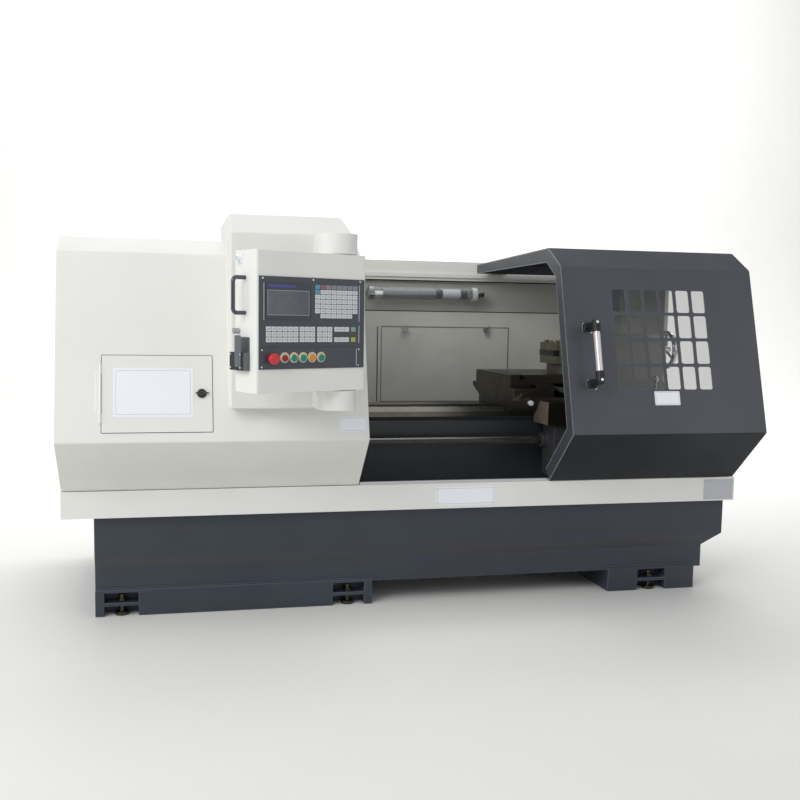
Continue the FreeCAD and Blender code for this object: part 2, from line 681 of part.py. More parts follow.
def pocket_through(body, name, sketch):
    """Cut a sketch through the whole body, both ways."""
    feature = body.newObject("PartDesign::Pocket", name)
    feature.Profile = sketch
    feature.Type = "ThroughAll"
    feature.Midplane = True
    return feature


def draw_circle(sketch, radius, across="0", up="0"):
    """Circle with its centre and radius bound to the sheet."""
    centre = FreeCAD.Vector(number(across), number(up), 0)
    edge = sketch.addGeometry(Part.Circle(centre, AXES["z"], number(radius)), False)
    fix_point(sketch, edge, 3, (across, up), (centre.x, centre.y))
    index = sketch.addConstraint(Sketcher.Constraint("Radius", edge, number(radius)))
    sketch.setExpression(f"Constraints[{index}]", str(radius))
    return sketch


def draw_rounded(sketch, left, bottom, width, height, radius):
    """Rectangle with round corners, bound to the sheet."""
    low_x, low_y, wide, high, bend = (number(item) for item in (left, bottom, width, height, radius))
    corners = [
        (low_x + bend, low_y + bend, 180),
        (low_x + wide - bend, low_y + bend, 270),
        (low_x + wide - bend, low_y + high - bend, 0),
        (low_x + bend, low_y + high - bend, 90),
    ]
    arcs = []
    for across, up, start in corners:
        circle = Part.Circle(FreeCAD.Vector(across, up, 0), AXES["z"], bend)
        arc = Part.ArcOfCircle(circle, math.radians(start), math.radians(start + 90))
        arcs.append(sketch.addGeometry(arc, False))
    lines = []
    for index in range(4):
        first = sketch.Geometry[arcs[index]].EndPoint
        second = sketch.Geometry[arcs[(index + 1) % 4]].StartPoint
        lines.append(sketch.addGeometry(Part.LineSegment(first, second), False))
    for index in range(4):
        sketch.addConstraint(Sketcher.Constraint("Tangent", arcs[index], 2, lines[index], 1))
        sketch.addConstraint(Sketcher.Constraint("Tangent", lines[index], 2, arcs[(index + 1) % 4], 1))
    for index in (1, 2, 3):
        sketch.addConstraint(Sketcher.Constraint("Equal", arcs[0], arcs[index]))
    sketch.addConstraint(Sketcher.Constraint("Horizontal", lines[0]))
    sketch.addConstraint(Sketcher.Constraint("Vertical", lines[1]))
    sketch.addConstraint(Sketcher.Constraint("Horizontal", lines[2]))
    index = sketch.addConstraint(Sketcher.Constraint("Radius", arcs[0], bend))
    sketch.setExpression(f"Constraints[{index}]", str(radius))
    near = (f"{left} + {radius}", f"{bottom} + {radius}")
    far = (f"{left} + {width} - {radius}", f"{bottom} + {height} - {radius}")
    fix_point(sketch, arcs[0], 3, near, corners[0][:2])
    fix_point(sketch, arcs[2], 3, far, corners[2][:2])
    return sketch


def rounded_prism(name, axis, left, bottom, width, height, radius, start, length):
    """Bar of rounded rectangular section, run along an axis."""
    sketch = document.addObject("Sketcher::SketchObject", f"{name}_outline")
    draw_rounded(sketch, left, bottom, width, height, radius)
    sketch.Placement = FreeCAD.Placement(FreeCAD.Vector(), PLANES[axis])
    return extruded(name, sketch, axis, start, length)


def linear_pattern(body, name, sketch, direction, pitch, count):
    """Row of copies; also one step of a two-way pattern."""
    feature = body.newObject("PartDesign::LinearPattern", name)
    feature.Direction = (sketch, [direction])
    feature.setExpression("Length", f"{pitch} * ({count} - 1)")
    feature.setExpression("Occurrences", str(count))
    return feature


# --- lengths that several pieces share -------------------------------------------------------------
TRAY_TOP = "(sizes.tray_bottom_z + sizes.tray_height)"
TRAY_FLOOR = "(sizes.tray_bottom_z + sizes.tray_wall)"
TRAY_LEFT = "(-sizes.tray_length / 2)"
TRAY_DEPTH = "(sizes.machine_back_y - sizes.tray_front_y)"
BED_BACK = "(sizes.bed_front_y + sizes.bed_width)"
LEAN = "atan((sizes.guard_brow_y - sizes.guard_belly_y) / (sizes.guard_brow_z - sizes.guard_belly_z))"
SLOPE = "((sizes.guard_brow_y - sizes.guard_belly_y) / (sizes.guard_brow_z - sizes.guard_belly_z))"
GUARD_TOE_Z = f"({TRAY_TOP} + sizes.seat_gap)"
DOOR_BELLY_Y = "(sizes.guard_belly_y - sizes.door_gap)"
DOOR_BROW_Y = f"({DOOR_BELLY_Y} + (sizes.door_brow_z - sizes.door_belly_z) * {SLOPE})"
GUARD_BELLY = ("sizes.guard_belly_y", "sizes.guard_belly_z")
DOOR_BELLY = (DOOR_BELLY_Y, "sizes.door_belly_z")
HINGE_X = "(-sizes.knuckle_radius - sizes.knuckle_offset)"
NOSE_X = "(sizes.headstock_left_x + sizes.headstock_length + sizes.bearing_boss_length + sizes.nose_gap)"
CHUCK_X = f"({NOSE_X} + sizes.nose_length)"
CHUCK_FACE = f"({CHUCK_X} + sizes.chuck_length)"
PULLEY_X = "(sizes.headstock_left_x - sizes.pulley_gap - sizes.pulley_width)"
SADDLE_MIDDLE = "(sizes.saddle_left_x + sizes.saddle_length / 2)"
SLIDE_BOTTOM = "(sizes.saddle_top_z + sizes.slide_clearance)"
SLIDE_TOP = f"({SLIDE_BOTTOM} + sizes.slide_thickness)"


def base_points(bottom_z):
    """Outline of the base casting seen from its end, drawn down to a height."""
    return [
        ("sizes.base_front_y", "sizes.tray_bottom_z"),
        ("sizes.base_front_y", "sizes.base_break_z"),
        ("sizes.base_front_y + sizes.base_setback", "sizes.base_waist_z"),
        ("sizes.base_front_y + sizes.base_setback", bottom_z),
        ("sizes.base_back_y - sizes.base_setback", bottom_z),
        ("sizes.base_back_y - sizes.base_setback", "sizes.base_waist_z"),
        ("sizes.base_back_y", "sizes.base_break_z"),
        ("sizes.base_back_y", "sizes.tray_bottom_z"),
    ]


def make_base():
    """Base casting: a hollow body on feet, open below, with levelling pockets in the feet."""
    length = "(sizes.base_right_x - sizes.base_left_x)"
    trunk = prism("base_trunk", "x", base_points("sizes.foot_height"), "sizes.base_left_x", length)
    end = "sizes.base_right_x"
    waist_end = "(sizes.base_right_x - sizes.base_end_setback)"
    margin = "sizes.base_end_setback"
    nose = [
        (end, "sizes.base_break_z"),
        (f"{end} + {margin}", "sizes.base_break_z"),
        (f"{end} + {margin}", "0"),
        (waist_end, "0"),
        (waist_end, "sizes.base_waist_z"),
    ]
    depth = "(sizes.base_back_y - sizes.base_front_y)"
    # the outline lies square to Y, so it is run towards -Y from the back face
    undercut = prism("base_undercut", "y", nose, "sizes.base_front_y", depth)
    foot_front = "(sizes.base_front_y + sizes.base_setback - sizes.foot_step)"
    foot_back = "(sizes.base_back_y - sizes.base_setback + sizes.foot_step - sizes.foot_depth)"
    feet = []
    pockets = []
    flanges = []
    pads = []
    spans = [
        ("left", "sizes.base_left_x", "sizes.left_foot_length"),
        ("right", "sizes.right_foot_x", "sizes.right_foot_length"),
    ]
    rows = [
        ("front", foot_front, foot_front),
        ("back", foot_back, f"({foot_back} + sizes.foot_depth - sizes.pocket_depth)"),
    ]
    for side, start, span in spans:
        first = f"({start} + sizes.pocket_margin)"
        last = f"({start} + {span} - sizes.pocket_margin - sizes.pocket_width)"
        middle = f"({start} + ({span} - sizes.pocket_width) / 2)"
        places = [first, last] if side == "left" else [middle]
        for row_name, foot_y, pocket_y in rows:
            name = f"{side}_{row_name}"
            feet.append(block(f"foot_{name}", start, foot_y, "0", span, "sizes.foot_depth",
                              "sizes.foot_height + sizes.foot_step"))
            for order, place in enumerate(places):
                tag = f"{name}_{order}"
                pockets.append(block(f"pocket_{tag}", place, pocket_y, "0", "sizes.pocket_width",
                                     "sizes.pocket_depth", "sizes.foot_height"))
                flanges.append(block(f"flange_{tag}", place, pocket_y, "sizes.flange_z",
                                     "sizes.pocket_width", "sizes.pocket_depth", "sizes.flange_thickness"))
                pads.append((tag, f"({place} + sizes.pocket_width / 2)",
                             f"({pocket_y} + sizes.pocket_depth / 2)"))
    holes = [
        rod(f"leveller_hole_{tag}", "z", x, y, "sizes.flange_z", "sizes.leveller_radius + sizes.leveller_fit",
            "sizes.flange_thickness")
        for tag, x, y in pads
    ]
    core_line = offset("base_core_line", outline("base_long_line", "x", base_points("0")),
                       "-sizes.base_wall")
    core = extruded("base_core", core_line, "x", "sizes.base_left_x + sizes.base_wall",
                    f"{waist_end} - sizes.base_left_x - 2 * sizes.base_wall")
    body = joined("base_body", cut("base_cut", trunk, undercut, core), *feet)
    body = joined("base_flanged", cut("base_pocketed", body, *pockets), *flanges)
    finish("base_casting", cut("base_casting", body, *holes))
    bolts = []
    for tag, x, y in pads:
        foot = rod(f"leveller_pad_{tag}", "z", x, y, "0", "sizes.leveller_pad_radius",
                   "sizes.leveller_pad_height")
        shank = rod(f"leveller_shank_{tag}", "z", x, y, "sizes.leveller_pad_height / 2",
                    "sizes.leveller_radius", "sizes.leveller_length")
        nut = document.addObject("Part::Prism", f"leveller_nut_{tag}")
        nut.Polygon = 6
        nut.setExpression("Circumradius", "sizes.leveller_nut_radius")
        nut.setExpression("Height", "sizes.leveller_radius")
        locate(nut, x, y, "sizes.flange_z + sizes.flange_thickness")
        bolts.append(joined(f"leveller_{tag}", foot, shank, nut))
    group = document.addObject("Part::Compound", "levelling_feet")
    group.Links = bolts
    finish("levelling_feet", group)


def make_tray():
    """Chip tray: an open pan with a folded rim along its front and ends."""
    outer = block("tray_outer", TRAY_LEFT, "sizes.tray_front_y", "sizes.tray_bottom_z",
                  "sizes.tray_length", TRAY_DEPTH, "sizes.tray_height")
    inner = block("tray_inner", f"{TRAY_LEFT} + sizes.tray_wall", "sizes.tray_front_y + sizes.tray_wall",
                  TRAY_FLOOR, "sizes.tray_length - 2 * sizes.tray_wall",
                  f"{TRAY_DEPTH} - 2 * sizes.tray_wall", "sizes.tray_height")
    rim = block("tray_rim_plate", TRAY_LEFT, "sizes.tray_front_y", f"{TRAY_TOP} - sizes.tray_wall",
                "sizes.tray_length", TRAY_DEPTH, "sizes.tray_wall")
    mouth = block("tray_mouth", f"{TRAY_LEFT} + sizes.tray_rim", "sizes.tray_front_y + sizes.tray_rim",
                  f"{TRAY_TOP} - 2 * sizes.tray_wall", "sizes.tray_length - 2 * sizes.tray_rim",
                  f"{TRAY_DEPTH} - 2 * sizes.tray_rim", "3 * sizes.tray_wall")
    pan = cut("tray_pan", outer, inner)
    finish("chip_tray", joined("chip_tray", pan, cut("tray_rim_ring", rim, mouth)))


def way_section():
    """Cross-section of the bed: prisms and flats on top, sunk panel in the front wall."""
    front = "sizes.bed_front_y"
    wall = "(sizes.bed_front_y + sizes.bed_wall_inset)"
    panel = "(sizes.bed_front_y + sizes.bed_wall_inset + sizes.bed_recess)"
    back_wall = f"({BED_BACK} - sizes.bed_wall_inset)"
    way = "sizes.way_z"
    edge = "(sizes.way_z - sizes.way_thickness)"
    cone = "(sizes.way_z - sizes.way_thickness - sizes.bed_wall_inset)"
    outer = "(sizes.bed_front_y + sizes.front_prism_y)"
    inner = "(sizes.bed_front_y + sizes.inner_prism_y)"
    rear = "(sizes.bed_front_y + sizes.back_way_y)"
    outer_half = "(sizes.front_prism_height * sizes.prism_spread)"
    inner_half = "(sizes.inner_prism_height * sizes.prism_spread)"
    rise = "(sizes.way_z + sizes.back_way_rise)"
    return [
        (wall, TRAY_FLOOR),
        (back_wall, TRAY_FLOOR),
        (back_wall, cone),
        (BED_BACK, edge),
        (BED_BACK, rise),
        (rear, rise),
        (rear, way),
        (f"{inner} + {inner_half}", way),
        (inner, "sizes.way_z + sizes.inner_prism_height"),
        (f"{inner} - {inner_half}", way),
        (f"{outer} + {outer_half}", way),
        (outer, "sizes.way_z + sizes.front_prism_height"),
        (f"{outer} - {outer_half}", way),
        (front, way),
        (front, edge),
        (wall, cone),
        (wall, "sizes.recess_top_z"),
        (panel, "sizes.recess_top_z - sizes.bed_recess"),
        (panel, f"{TRAY_FLOOR} + sizes.recess_rise + sizes.bed_recess"),
        (wall, f"{TRAY_FLOOR} + sizes.recess_rise"),
    ]


def make_bed():
    """Bed casting with its ways, and a row of chip windows between the cross ribs."""
    bed = document.addObject("PartDesign::Body", "bed")
    section = draw_lines(body_sketch(bed, "bed_section", "x"), way_section())
    pad(bed, "bed_pad", section, "sizes.bed_length")
    window = body_sketch(bed, "bed_window", "z", TRAY_FLOOR)
    start = "(sizes.window_start_x - sizes.bed_left_x)"
    draw_rounded(window, start, "(sizes.bed_front_y + sizes.window_y)", "sizes.window_length",
                 "sizes.window_width", "sizes.window_corner")
    feature = pocket_through(bed, "bed_window_pocket", window)
    document.recompute()
    row = linear_pattern(bed, "bed_windows", window, "H_Axis", "sizes.window_pitch", "sizes.window_count")
    row.Originals = [feature]
    bed.Tip = row
    locate(bed, "sizes.bed_left_x")
    finish("bed", bed)


def way_tool(name):
    """Space that a carriage on the ways keeps clear: the bed section grown by the running gap."""
    sketch = outline(f"{name}_section", "x", way_section())
    grown = offset(f"{name}_grown", sketch, "sizes.way_clearance")
    return extruded(name, grown, "x", "sizes.bed_left_x", "sizes.bed_length")


def make_headstock():
    """Headstock housing on the bed, with rounded edges and a boss round the front bearing."""
    front = "(sizes.spindle_y - sizes.headstock_width / 2)"
    height = "(sizes.headstock_top_z - sizes.way_z)"
    housing = rounded_prism("headstock_housing", "x", front, "sizes.way_z", "sizes.headstock_width", height,
                            "sizes.headstock_corner", "sizes.headstock_left_x", "sizes.headstock_length")
    foot = block("headstock_foot", "sizes.headstock_left_x", "sizes.bed_front_y", "sizes.way_z",
                 "sizes.headstock_length", "sizes.bed_width", "2 * sizes.headstock_corner")
    boss = rod("headstock_boss", "x", "sizes.headstock_left_x + sizes.headstock_length",
               "sizes.spindle_y", "sizes.spindle_z", "sizes.bearing_boss_radius", "sizes.bearing_boss_length")
    ways = extruded("headstock_ways", outline("headstock_way_outline", "x", way_section()), "x",
                    "sizes.bed_left_x", "sizes.bed_length")
    bore = rod("headstock_bore", "x", "sizes.headstock_left_x - sizes.overrun", "sizes.spindle_y",
               "sizes.spindle_z", "sizes.spindle_radius + sizes.spindle_fit",
               "sizes.headstock_length + sizes.bearing_boss_length + 2 * sizes.overrun")
    finish("headstock", cut("headstock", joined("headstock_solid", housing, foot, boss), ways, bore))


def make_spindle_line():
    """Spindle, chuck, jaws, pulleys, belt and main motor."""
    start = f"({PULLEY_X} - sizes.spindle_overhang)"
    shaft = rod("spindle_shaft", "x", start, "sizes.spindle_y", "sizes.spindle_z", "sizes.spindle_radius",
                f"{NOSE_X} - {start}")
    flange = rod("spindle_flange", "x", NOSE_X, "sizes.spindle_y", "sizes.spindle_z", "sizes.nose_radius",
                 "sizes.nose_length")
    hole = rod("spindle_hole", "x", f"{start} - sizes.overrun", "sizes.spindle_y", "sizes.spindle_z",
               "sizes.spindle_bore_radius", f"{CHUCK_X} - {start} + 2 * sizes.overrun")
    finish("spindle", cut("spindle", joined("spindle_solid", shaft, flange), hole))

    chuck = document.addObject("PartDesign::Body", "chuck_body")
    profile = body_sketch(chuck, "chuck_profile", "y")
    draw_lines(profile, [
        ("0", "sizes.chuck_bore_radius"),
        ("sizes.chuck_length", "sizes.chuck_bore_radius"),
        ("sizes.chuck_length", "sizes.chuck_radius - sizes.chuck_edge"),
        ("sizes.chuck_length - sizes.chuck_edge", "sizes.chuck_radius"),
        ("sizes.chuck_edge", "sizes.chuck_radius"),
        ("0", "sizes.chuck_radius - sizes.chuck_edge"),
    ])
    turned = chuck.newObject("PartDesign::Revolution", "chuck_turned")
    turned.Profile = profile
    turned.ReferenceAxis = (profile, ["H_Axis"])
    turned.Angle = 360
    slot = body_sketch(chuck, "chuck_slot", "x", "sizes.chuck_length")
    half = "(sizes.jaw_width / 2 + sizes.jaw_clearance)"
    draw_lines(slot, [
        (f"-{half}", "sizes.chuck_bore_radius / 2"),
        (half, "sizes.chuck_bore_radius / 2"),
        (half, "sizes.chuck_radius + sizes.overrun"),
        (f"-{half}", "sizes.chuck_radius + sizes.overrun"),
    ])
    groove = chuck.newObject("PartDesign::Pocket", "chuck_groove")
    groove.Profile = slot
    groove.setExpression("Length", "sizes.jaw_slot_depth")
    document.recompute()
    ring = chuck.newObject("PartDesign::PolarPattern", "chuck_grooves")
    ring.Axis = (slot, ["N_Axis"])
    ring.Angle = 360
    ring.Occurrences = 3
    ring.Originals = [groove]
    chuck.Tip = ring
    locate(chuck, CHUCK_X, "sizes.spindle_y", "sizes.spindle_z")
    finish("chuck_body", chuck)

    floor = "(sizes.chuck_length - sizes.jaw_slot_depth + sizes.jaw_clearance)"
    crown = "(sizes.chuck_length + sizes.jaw_height)"
    upper = "(sizes.chuck_length + sizes.jaw_height * 2 / 3)"
    lower = "(sizes.chuck_length + sizes.jaw_height / 3)"
    grip = "sizes.jaw_inner_radius"
    first = "(sizes.jaw_inner_radius + sizes.jaw_length / 3)"
    second = "(sizes.jaw_inner_radius + sizes.jaw_length * 2 / 3)"
    tail = "(sizes.jaw_inner_radius + sizes.jaw_length)"
    steps = [(floor, grip), (crown, grip), (crown, first), (upper, first), (upper, second), (lower, second),
             (lower, tail), (floor, tail)]
    for order in range(3):
        name = f"chuck_jaw_{order + 1}"
        # the outline lies square to Y; across is the spindle axis, up is the radius
        jaw = prism(f"{name}_solid", "y", steps, "-sizes.jaw_width / 2", "sizes.jaw_width")
        holder = document.addObject("Part::Compound", name)
        holder.Links = [jaw]
        turn(locate(holder, CHUCK_X, "sizes.spindle_y", "sizes.spindle_z"), "x", str(120 * order))
        finish(name, holder)

    pulley_rim = rod("spindle_pulley_rim", "x", PULLEY_X, "sizes.spindle_y", "sizes.spindle_z",
                     "sizes.spindle_pulley_radius", "sizes.pulley_width")
    pulley_bore = rod("spindle_pulley_bore", "x", f"{PULLEY_X} - sizes.overrun", "sizes.spindle_y",
                      "sizes.spindle_z", "sizes.spindle_radius", "sizes.pulley_width + 2 * sizes.overrun")
    finish("spindle_pulley", cut("spindle_pulley", pulley_rim, pulley_bore))

    motor_x = "sizes.headstock_left_x"
    small = rod("motor_pulley_rim", "x", PULLEY_X, "sizes.motor_y", "sizes.motor_z",
                "sizes.motor_pulley_radius", "sizes.pulley_width")
    shaft = rod("motor_shaft", "x", f"{PULLEY_X} - sizes.overrun", "sizes.motor_y", "sizes.motor_z",
                "sizes.motor_shaft_radius", f"{motor_x} - {PULLEY_X} + sizes.overrun + sizes.motor_shaft_depth")
    finish("motor_pulley", joined("motor_pulley", small, shaft))
    housing = rod("motor_housing", "x", motor_x, "sizes.motor_y", "sizes.motor_z", "sizes.motor_radius",
                  "sizes.motor_length")
    feet = block("motor_feet", f"{motor_x} + sizes.motor_foot_inset", "sizes.motor_y - sizes.motor_radius",
                 TRAY_FLOOR, "sizes.motor_length - 2 * sizes.motor_foot_inset", "2 * sizes.motor_radius",
                 f"sizes.motor_z - {TRAY_FLOOR}")
    lug = block("motor_box", f"{motor_x} + 2 * sizes.motor_foot_inset",
                "sizes.motor_y - sizes.terminal_box_width / 2", "sizes.motor_z",
                "sizes.terminal_box_length", "sizes.terminal_box_width",
                "sizes.motor_radius + sizes.terminal_box_rise")
    bore = rod("motor_bore", "x", f"{motor_x} - sizes.overrun", "sizes.motor_y", "sizes.motor_z",
               "sizes.motor_shaft_radius + sizes.bearing_fit", "sizes.motor_shaft_depth + 2 * sizes.overrun")
    finish("main_motor", cut("main_motor", joined("motor_solid", housing, feet, lug), bore))
    make_belt()


def make_belt():
    """Drive belt: the taut loop round the two pulleys."""
    first = FreeCAD.Vector(0, number("sizes.spindle_y"), number("sizes.spindle_z"))
    second = FreeCAD.Vector(0, number("sizes.motor_y"), number("sizes.motor_z"))
    gap = number("sizes.belt_gap")
    large = number("sizes.spindle_pulley_radius") + gap
    small = number("sizes.motor_pulley_radius") + gap
    inset = number("sizes.belt_inset")
    width = number("sizes.pulley_width") - 2 * inset
    start = number(PULLEY_X) + inset
    loops = []
    for extra in (number("sizes.belt_thickness"), 0):
        big = large + extra
        little = small + extra
        line = second - first
        heading = math.atan2(line.z, line.y)
        spread = math.acos((big - little) / line.Length)
        sides = [heading + spread, heading - spread]

        def rim(centre, radius, angle):
            return centre + FreeCAD.Vector(0, math.cos(angle), math.sin(angle)) * radius

        far_big = rim(first, big, heading + math.pi)
        far_small = rim(second, little, heading)
        edges = [
            Part.LineSegment(rim(first, big, sides[0]), rim(second, little, sides[0])).toShape(),
            Part.Arc(rim(second, little, sides[0]), far_small, rim(second, little, sides[1])).toShape(),
            Part.LineSegment(rim(second, little, sides[1]), rim(first, big, sides[1])).toShape(),
            Part.Arc(rim(first, big, sides[1]), far_big, rim(first, big, sides[0])).toShape(),
        ]
        loops.append(Part.Face(Part.Wire(edges)).extrude(FreeCAD.Vector(width, 0, 0)))
    belt = document.addObject("Part::Feature", "drive_belt")
    belt.Shape = loops[0].cut(loops[1])
    belt.Placement = FreeCAD.Placement(FreeCAD.Vector(start, 0, 0), FreeCAD.Rotation())
    finish("drive_belt", belt)


def make_saddle():
    """Saddle with its dovetail and cross-screw trough, and the apron that carries the long nut."""
    top = "sizes.saddle_top_z"
    half = "(sizes.rail_width / 2)"
    depth = "(sizes.saddle_back_y - sizes.saddle_front_y)"
    section = [
        ("sizes.saddle_front_y", top),
        ("sizes.saddle_front_y", f"{top} - sizes.saddle_edge"),
        ("sizes.bed_front_y - sizes.saddle_skirt", "sizes.way_z - sizes.saddle_lap"),
        (BED_BACK, "sizes.way_z - sizes.saddle_lap"),
        (BED_BACK, "sizes.way_z + sizes.saddle_heel"),
        ("sizes.saddle_back_y", f"{top} - sizes.saddle_tail"),
        ("sizes.saddle_back_y", top),
    ]
    plate = prism("saddle_plate", "x", section, "sizes.saddle_left_x", "sizes.saddle_length")
    wing = block("saddle_wing", "sizes.saddle_left_x + sizes.wing_inset", "sizes.wing_front_y",
                 "sizes.wing_bottom_z", "sizes.wing_length",
                 "sizes.bed_front_y - sizes.wing_front_y - sizes.apron_gap",
                 "sizes.wing_top_z - sizes.wing_bottom_z")
    dovetail = prism("saddle_dovetail", "y", [
        (f"{SADDLE_MIDDLE} - {half}", f"{top} - sizes.overrun"),
        (f"{SADDLE_MIDDLE} + {half}", f"{top} - sizes.overrun"),
        (f"{SADDLE_MIDDLE} + {half}", top),
        (f"{SADDLE_MIDDLE} + {half} + sizes.rail_flare", f"{top} + sizes.rail_height"),
        (f"{SADDLE_MIDDLE} - {half} - sizes.rail_flare", f"{top} + sizes.rail_height"),
        (f"{SADDLE_MIDDLE} - {half}", top),
    ], "sizes.saddle_front_y", depth)
    channel = block("saddle_channel", f"{SADDLE_MIDDLE} - sizes.channel_width / 2",
                    "sizes.saddle_front_y - sizes.overrun", f"{top} - sizes.channel_depth",
                    "sizes.channel_width", f"{depth} + 2 * sizes.overrun",
                    "sizes.channel_depth + sizes.rail_height + sizes.overrun")
    end_wall = block("saddle_end_wall", f"{SADDLE_MIDDLE} - sizes.end_wall_width / 2",
                     "sizes.saddle_back_y - sizes.end_wall_thickness", f"{top} - sizes.end_wall_depth",
                     "sizes.end_wall_width", "sizes.end_wall_thickness",
                     "sizes.end_wall_depth + sizes.end_wall_rise")
    thrust = rod("saddle_thrust_bore", "y", SADDLE_MIDDLE,
                 "sizes.saddle_back_y - sizes.end_wall_thickness - sizes.overrun", "sizes.cross_screw_z",
                 "sizes.cross_screw_radius + sizes.bearing_fit",
                 "sizes.end_wall_thickness + 2 * sizes.overrun")
    oilers = [
        rod(f"saddle_oiler_{side}", "y", place, "sizes.saddle_front_y - sizes.oiler_height",
            f"{top} - sizes.saddle_edge / 2", "sizes.oiler_radius", "sizes.oiler_height + 1")
        for side, place in (
            ("left", "sizes.saddle_left_x + sizes.oiler_inset"),
            ("right", "sizes.saddle_left_x + sizes.saddle_length - sizes.oiler_inset"),
        )
    ]
    blank = joined("saddle_blank", plate, wing, dovetail)
    body = joined("saddle_solid", cut("saddle_channelled", blank, channel), end_wall, *oilers)
    finish("saddle", cut("saddle", body, way_tool("saddle_ways"), thrust))

    apron_x = "(sizes.saddle_left_x + sizes.apron_inset)"
    apron_depth = "(sizes.bed_front_y - sizes.apron_front_y - sizes.apron_gap)"
    shell = rounded_prism("apron_shell", "x", "sizes.apron_front_y", "sizes.apron_bottom_z", apron_depth,
                          "(sizes.wing_bottom_z - sizes.apron_bottom_z)", "sizes.apron_corner", apron_x,
                          "sizes.apron_length")
    nut = rod("apron_nut", "x", f"{apron_x} - sizes.nut_length", "sizes.long_screw_y", "sizes.long_screw_z",
              "sizes.long_screw_radius + sizes.nut_wall", "sizes.nut_length + sizes.overrun")
    nut_bore = rod("apron_nut_bore", "x", f"{apron_x} - sizes.nut_length - sizes.overrun",
                   "sizes.long_screw_y", "sizes.long_screw_z", "sizes.long_screw_radius + sizes.screw_fit",
                   "sizes.nut_length + sizes.apron_length + 2 * sizes.overrun")
    finish("apron", cut("apron", joined("apron_solid", shell, nut), nut_bore))


def make_cross_slide():
    """Cross slide on the saddle's dovetail, its ball screw and its servo motor."""
    half = "(sizes.rail_width / 2 + 2 * sizes.slide_clearance)"
    slide_x = "(sizes.saddle_left_x + sizes.slide_inset)"
    slide_width = "(sizes.saddle_length - 2 * sizes.slide_inset)"
    over = "sizes.slide_front_y - sizes.overrun"
    run = "sizes.slide_length + 2 * sizes.overrun"
    plate = block("slide_plate", slide_x, "sizes.slide_front_y", SLIDE_BOTTOM, slide_width,
                  "sizes.slide_length", "sizes.slide_thickness")
    groove = prism("slide_groove", "y", [
        (f"{SADDLE_MIDDLE} - {half}", f"{SLIDE_BOTTOM} - sizes.overrun"),
        (f"{SADDLE_MIDDLE} + {half}", f"{SLIDE_BOTTOM} - sizes.overrun"),
        (f"{SADDLE_MIDDLE} + {half}", SLIDE_BOTTOM),
        (f"{SADDLE_MIDDLE} + {half} + sizes.rail_flare", f"{SLIDE_BOTTOM} + sizes.rail_height"),
        (f"{SADDLE_MIDDLE} - {half} - sizes.rail_flare", f"{SLIDE_BOTTOM} + sizes.rail_height"),
        (f"{SADDLE_MIDDLE} - {half}", SLIDE_BOTTOM),
    ], over, run)
    slots = []
    feet = [
        f"({slide_x} + sizes.slot_inset)",
        f"({slide_x} + {slide_width} - sizes.slot_inset - sizes.slot_foot)",
    ]
    for order, place in enumerate(feet):
        slots.append(block(f"slide_slot_{order}", f"{place} + (sizes.slot_foot - sizes.slot_mouth) / 2", over,
                           f"{SLIDE_TOP} - sizes.slot_depth", "sizes.slot_mouth", run,
                           "sizes.slot_depth + sizes.overrun"))
        slots.append(block(f"slide_tee_{order}", place, over, f"{SLIDE_TOP} - sizes.slot_depth",
                           "sizes.slot_foot", run, "sizes.slot_depth - sizes.slot_lip"))
    nut_y = "(sizes.slide_front_y + sizes.slide_nut_y)"
    nut_z = "(sizes.cross_screw_z - sizes.slide_nut_drop)"
    nut = block("slide_nut", f"{SADDLE_MIDDLE} - sizes.slide_nut_width / 2", nut_y, nut_z,
                "sizes.slide_nut_width", "sizes.slide_nut_length", f"{SLIDE_TOP} - sizes.slot_depth - {nut_z}")
    bore = rod("slide_nut_bore", "y", SADDLE_MIDDLE, f"{nut_y} - sizes.overrun", "sizes.cross_screw_z",
               "sizes.cross_screw_radius + sizes.screw_fit", "sizes.slide_nut_length + 2 * sizes.overrun")
    body = joined("slide_solid", cut("slide_grooved", plate, groove, *slots), nut)
    finish("cross_slide", cut("cross_slide", body, bore))

    screw = rod("cross_screw_shaft", "y", SADDLE_MIDDLE, "sizes.saddle_front_y + sizes.overrun",
                "sizes.cross_screw_z", "sizes.cross_screw_radius",
                "sizes.saddle_back_y - sizes.saddle_front_y + sizes.journal_reach / 2")
    finish("cross_ball_screw", screw)
    servo_half = "(sizes.cross_servo_size / 2)"
    servo = rounded_prism("cross_servo_body", "y", f"({SADDLE_MIDDLE} - {servo_half})",
                          f"(sizes.cross_screw_z - {servo_half})", "sizes.cross_servo_size",
                          "sizes.cross_servo_size", "sizes.bearing_corner", "sizes.saddle_back_y",
                          "sizes.cross_servo_length")
    room = rod("cross_servo_room", "y", SADDLE_MIDDLE, "sizes.saddle_back_y - sizes.overrun",
               "sizes.cross_screw_z", "sizes.cross_screw_radius + sizes.bearing_fit",
               "sizes.journal_reach + 2 * sizes.overrun")
    finish("cross_servo_motor", cut("cross_servo_motor", servo, room))


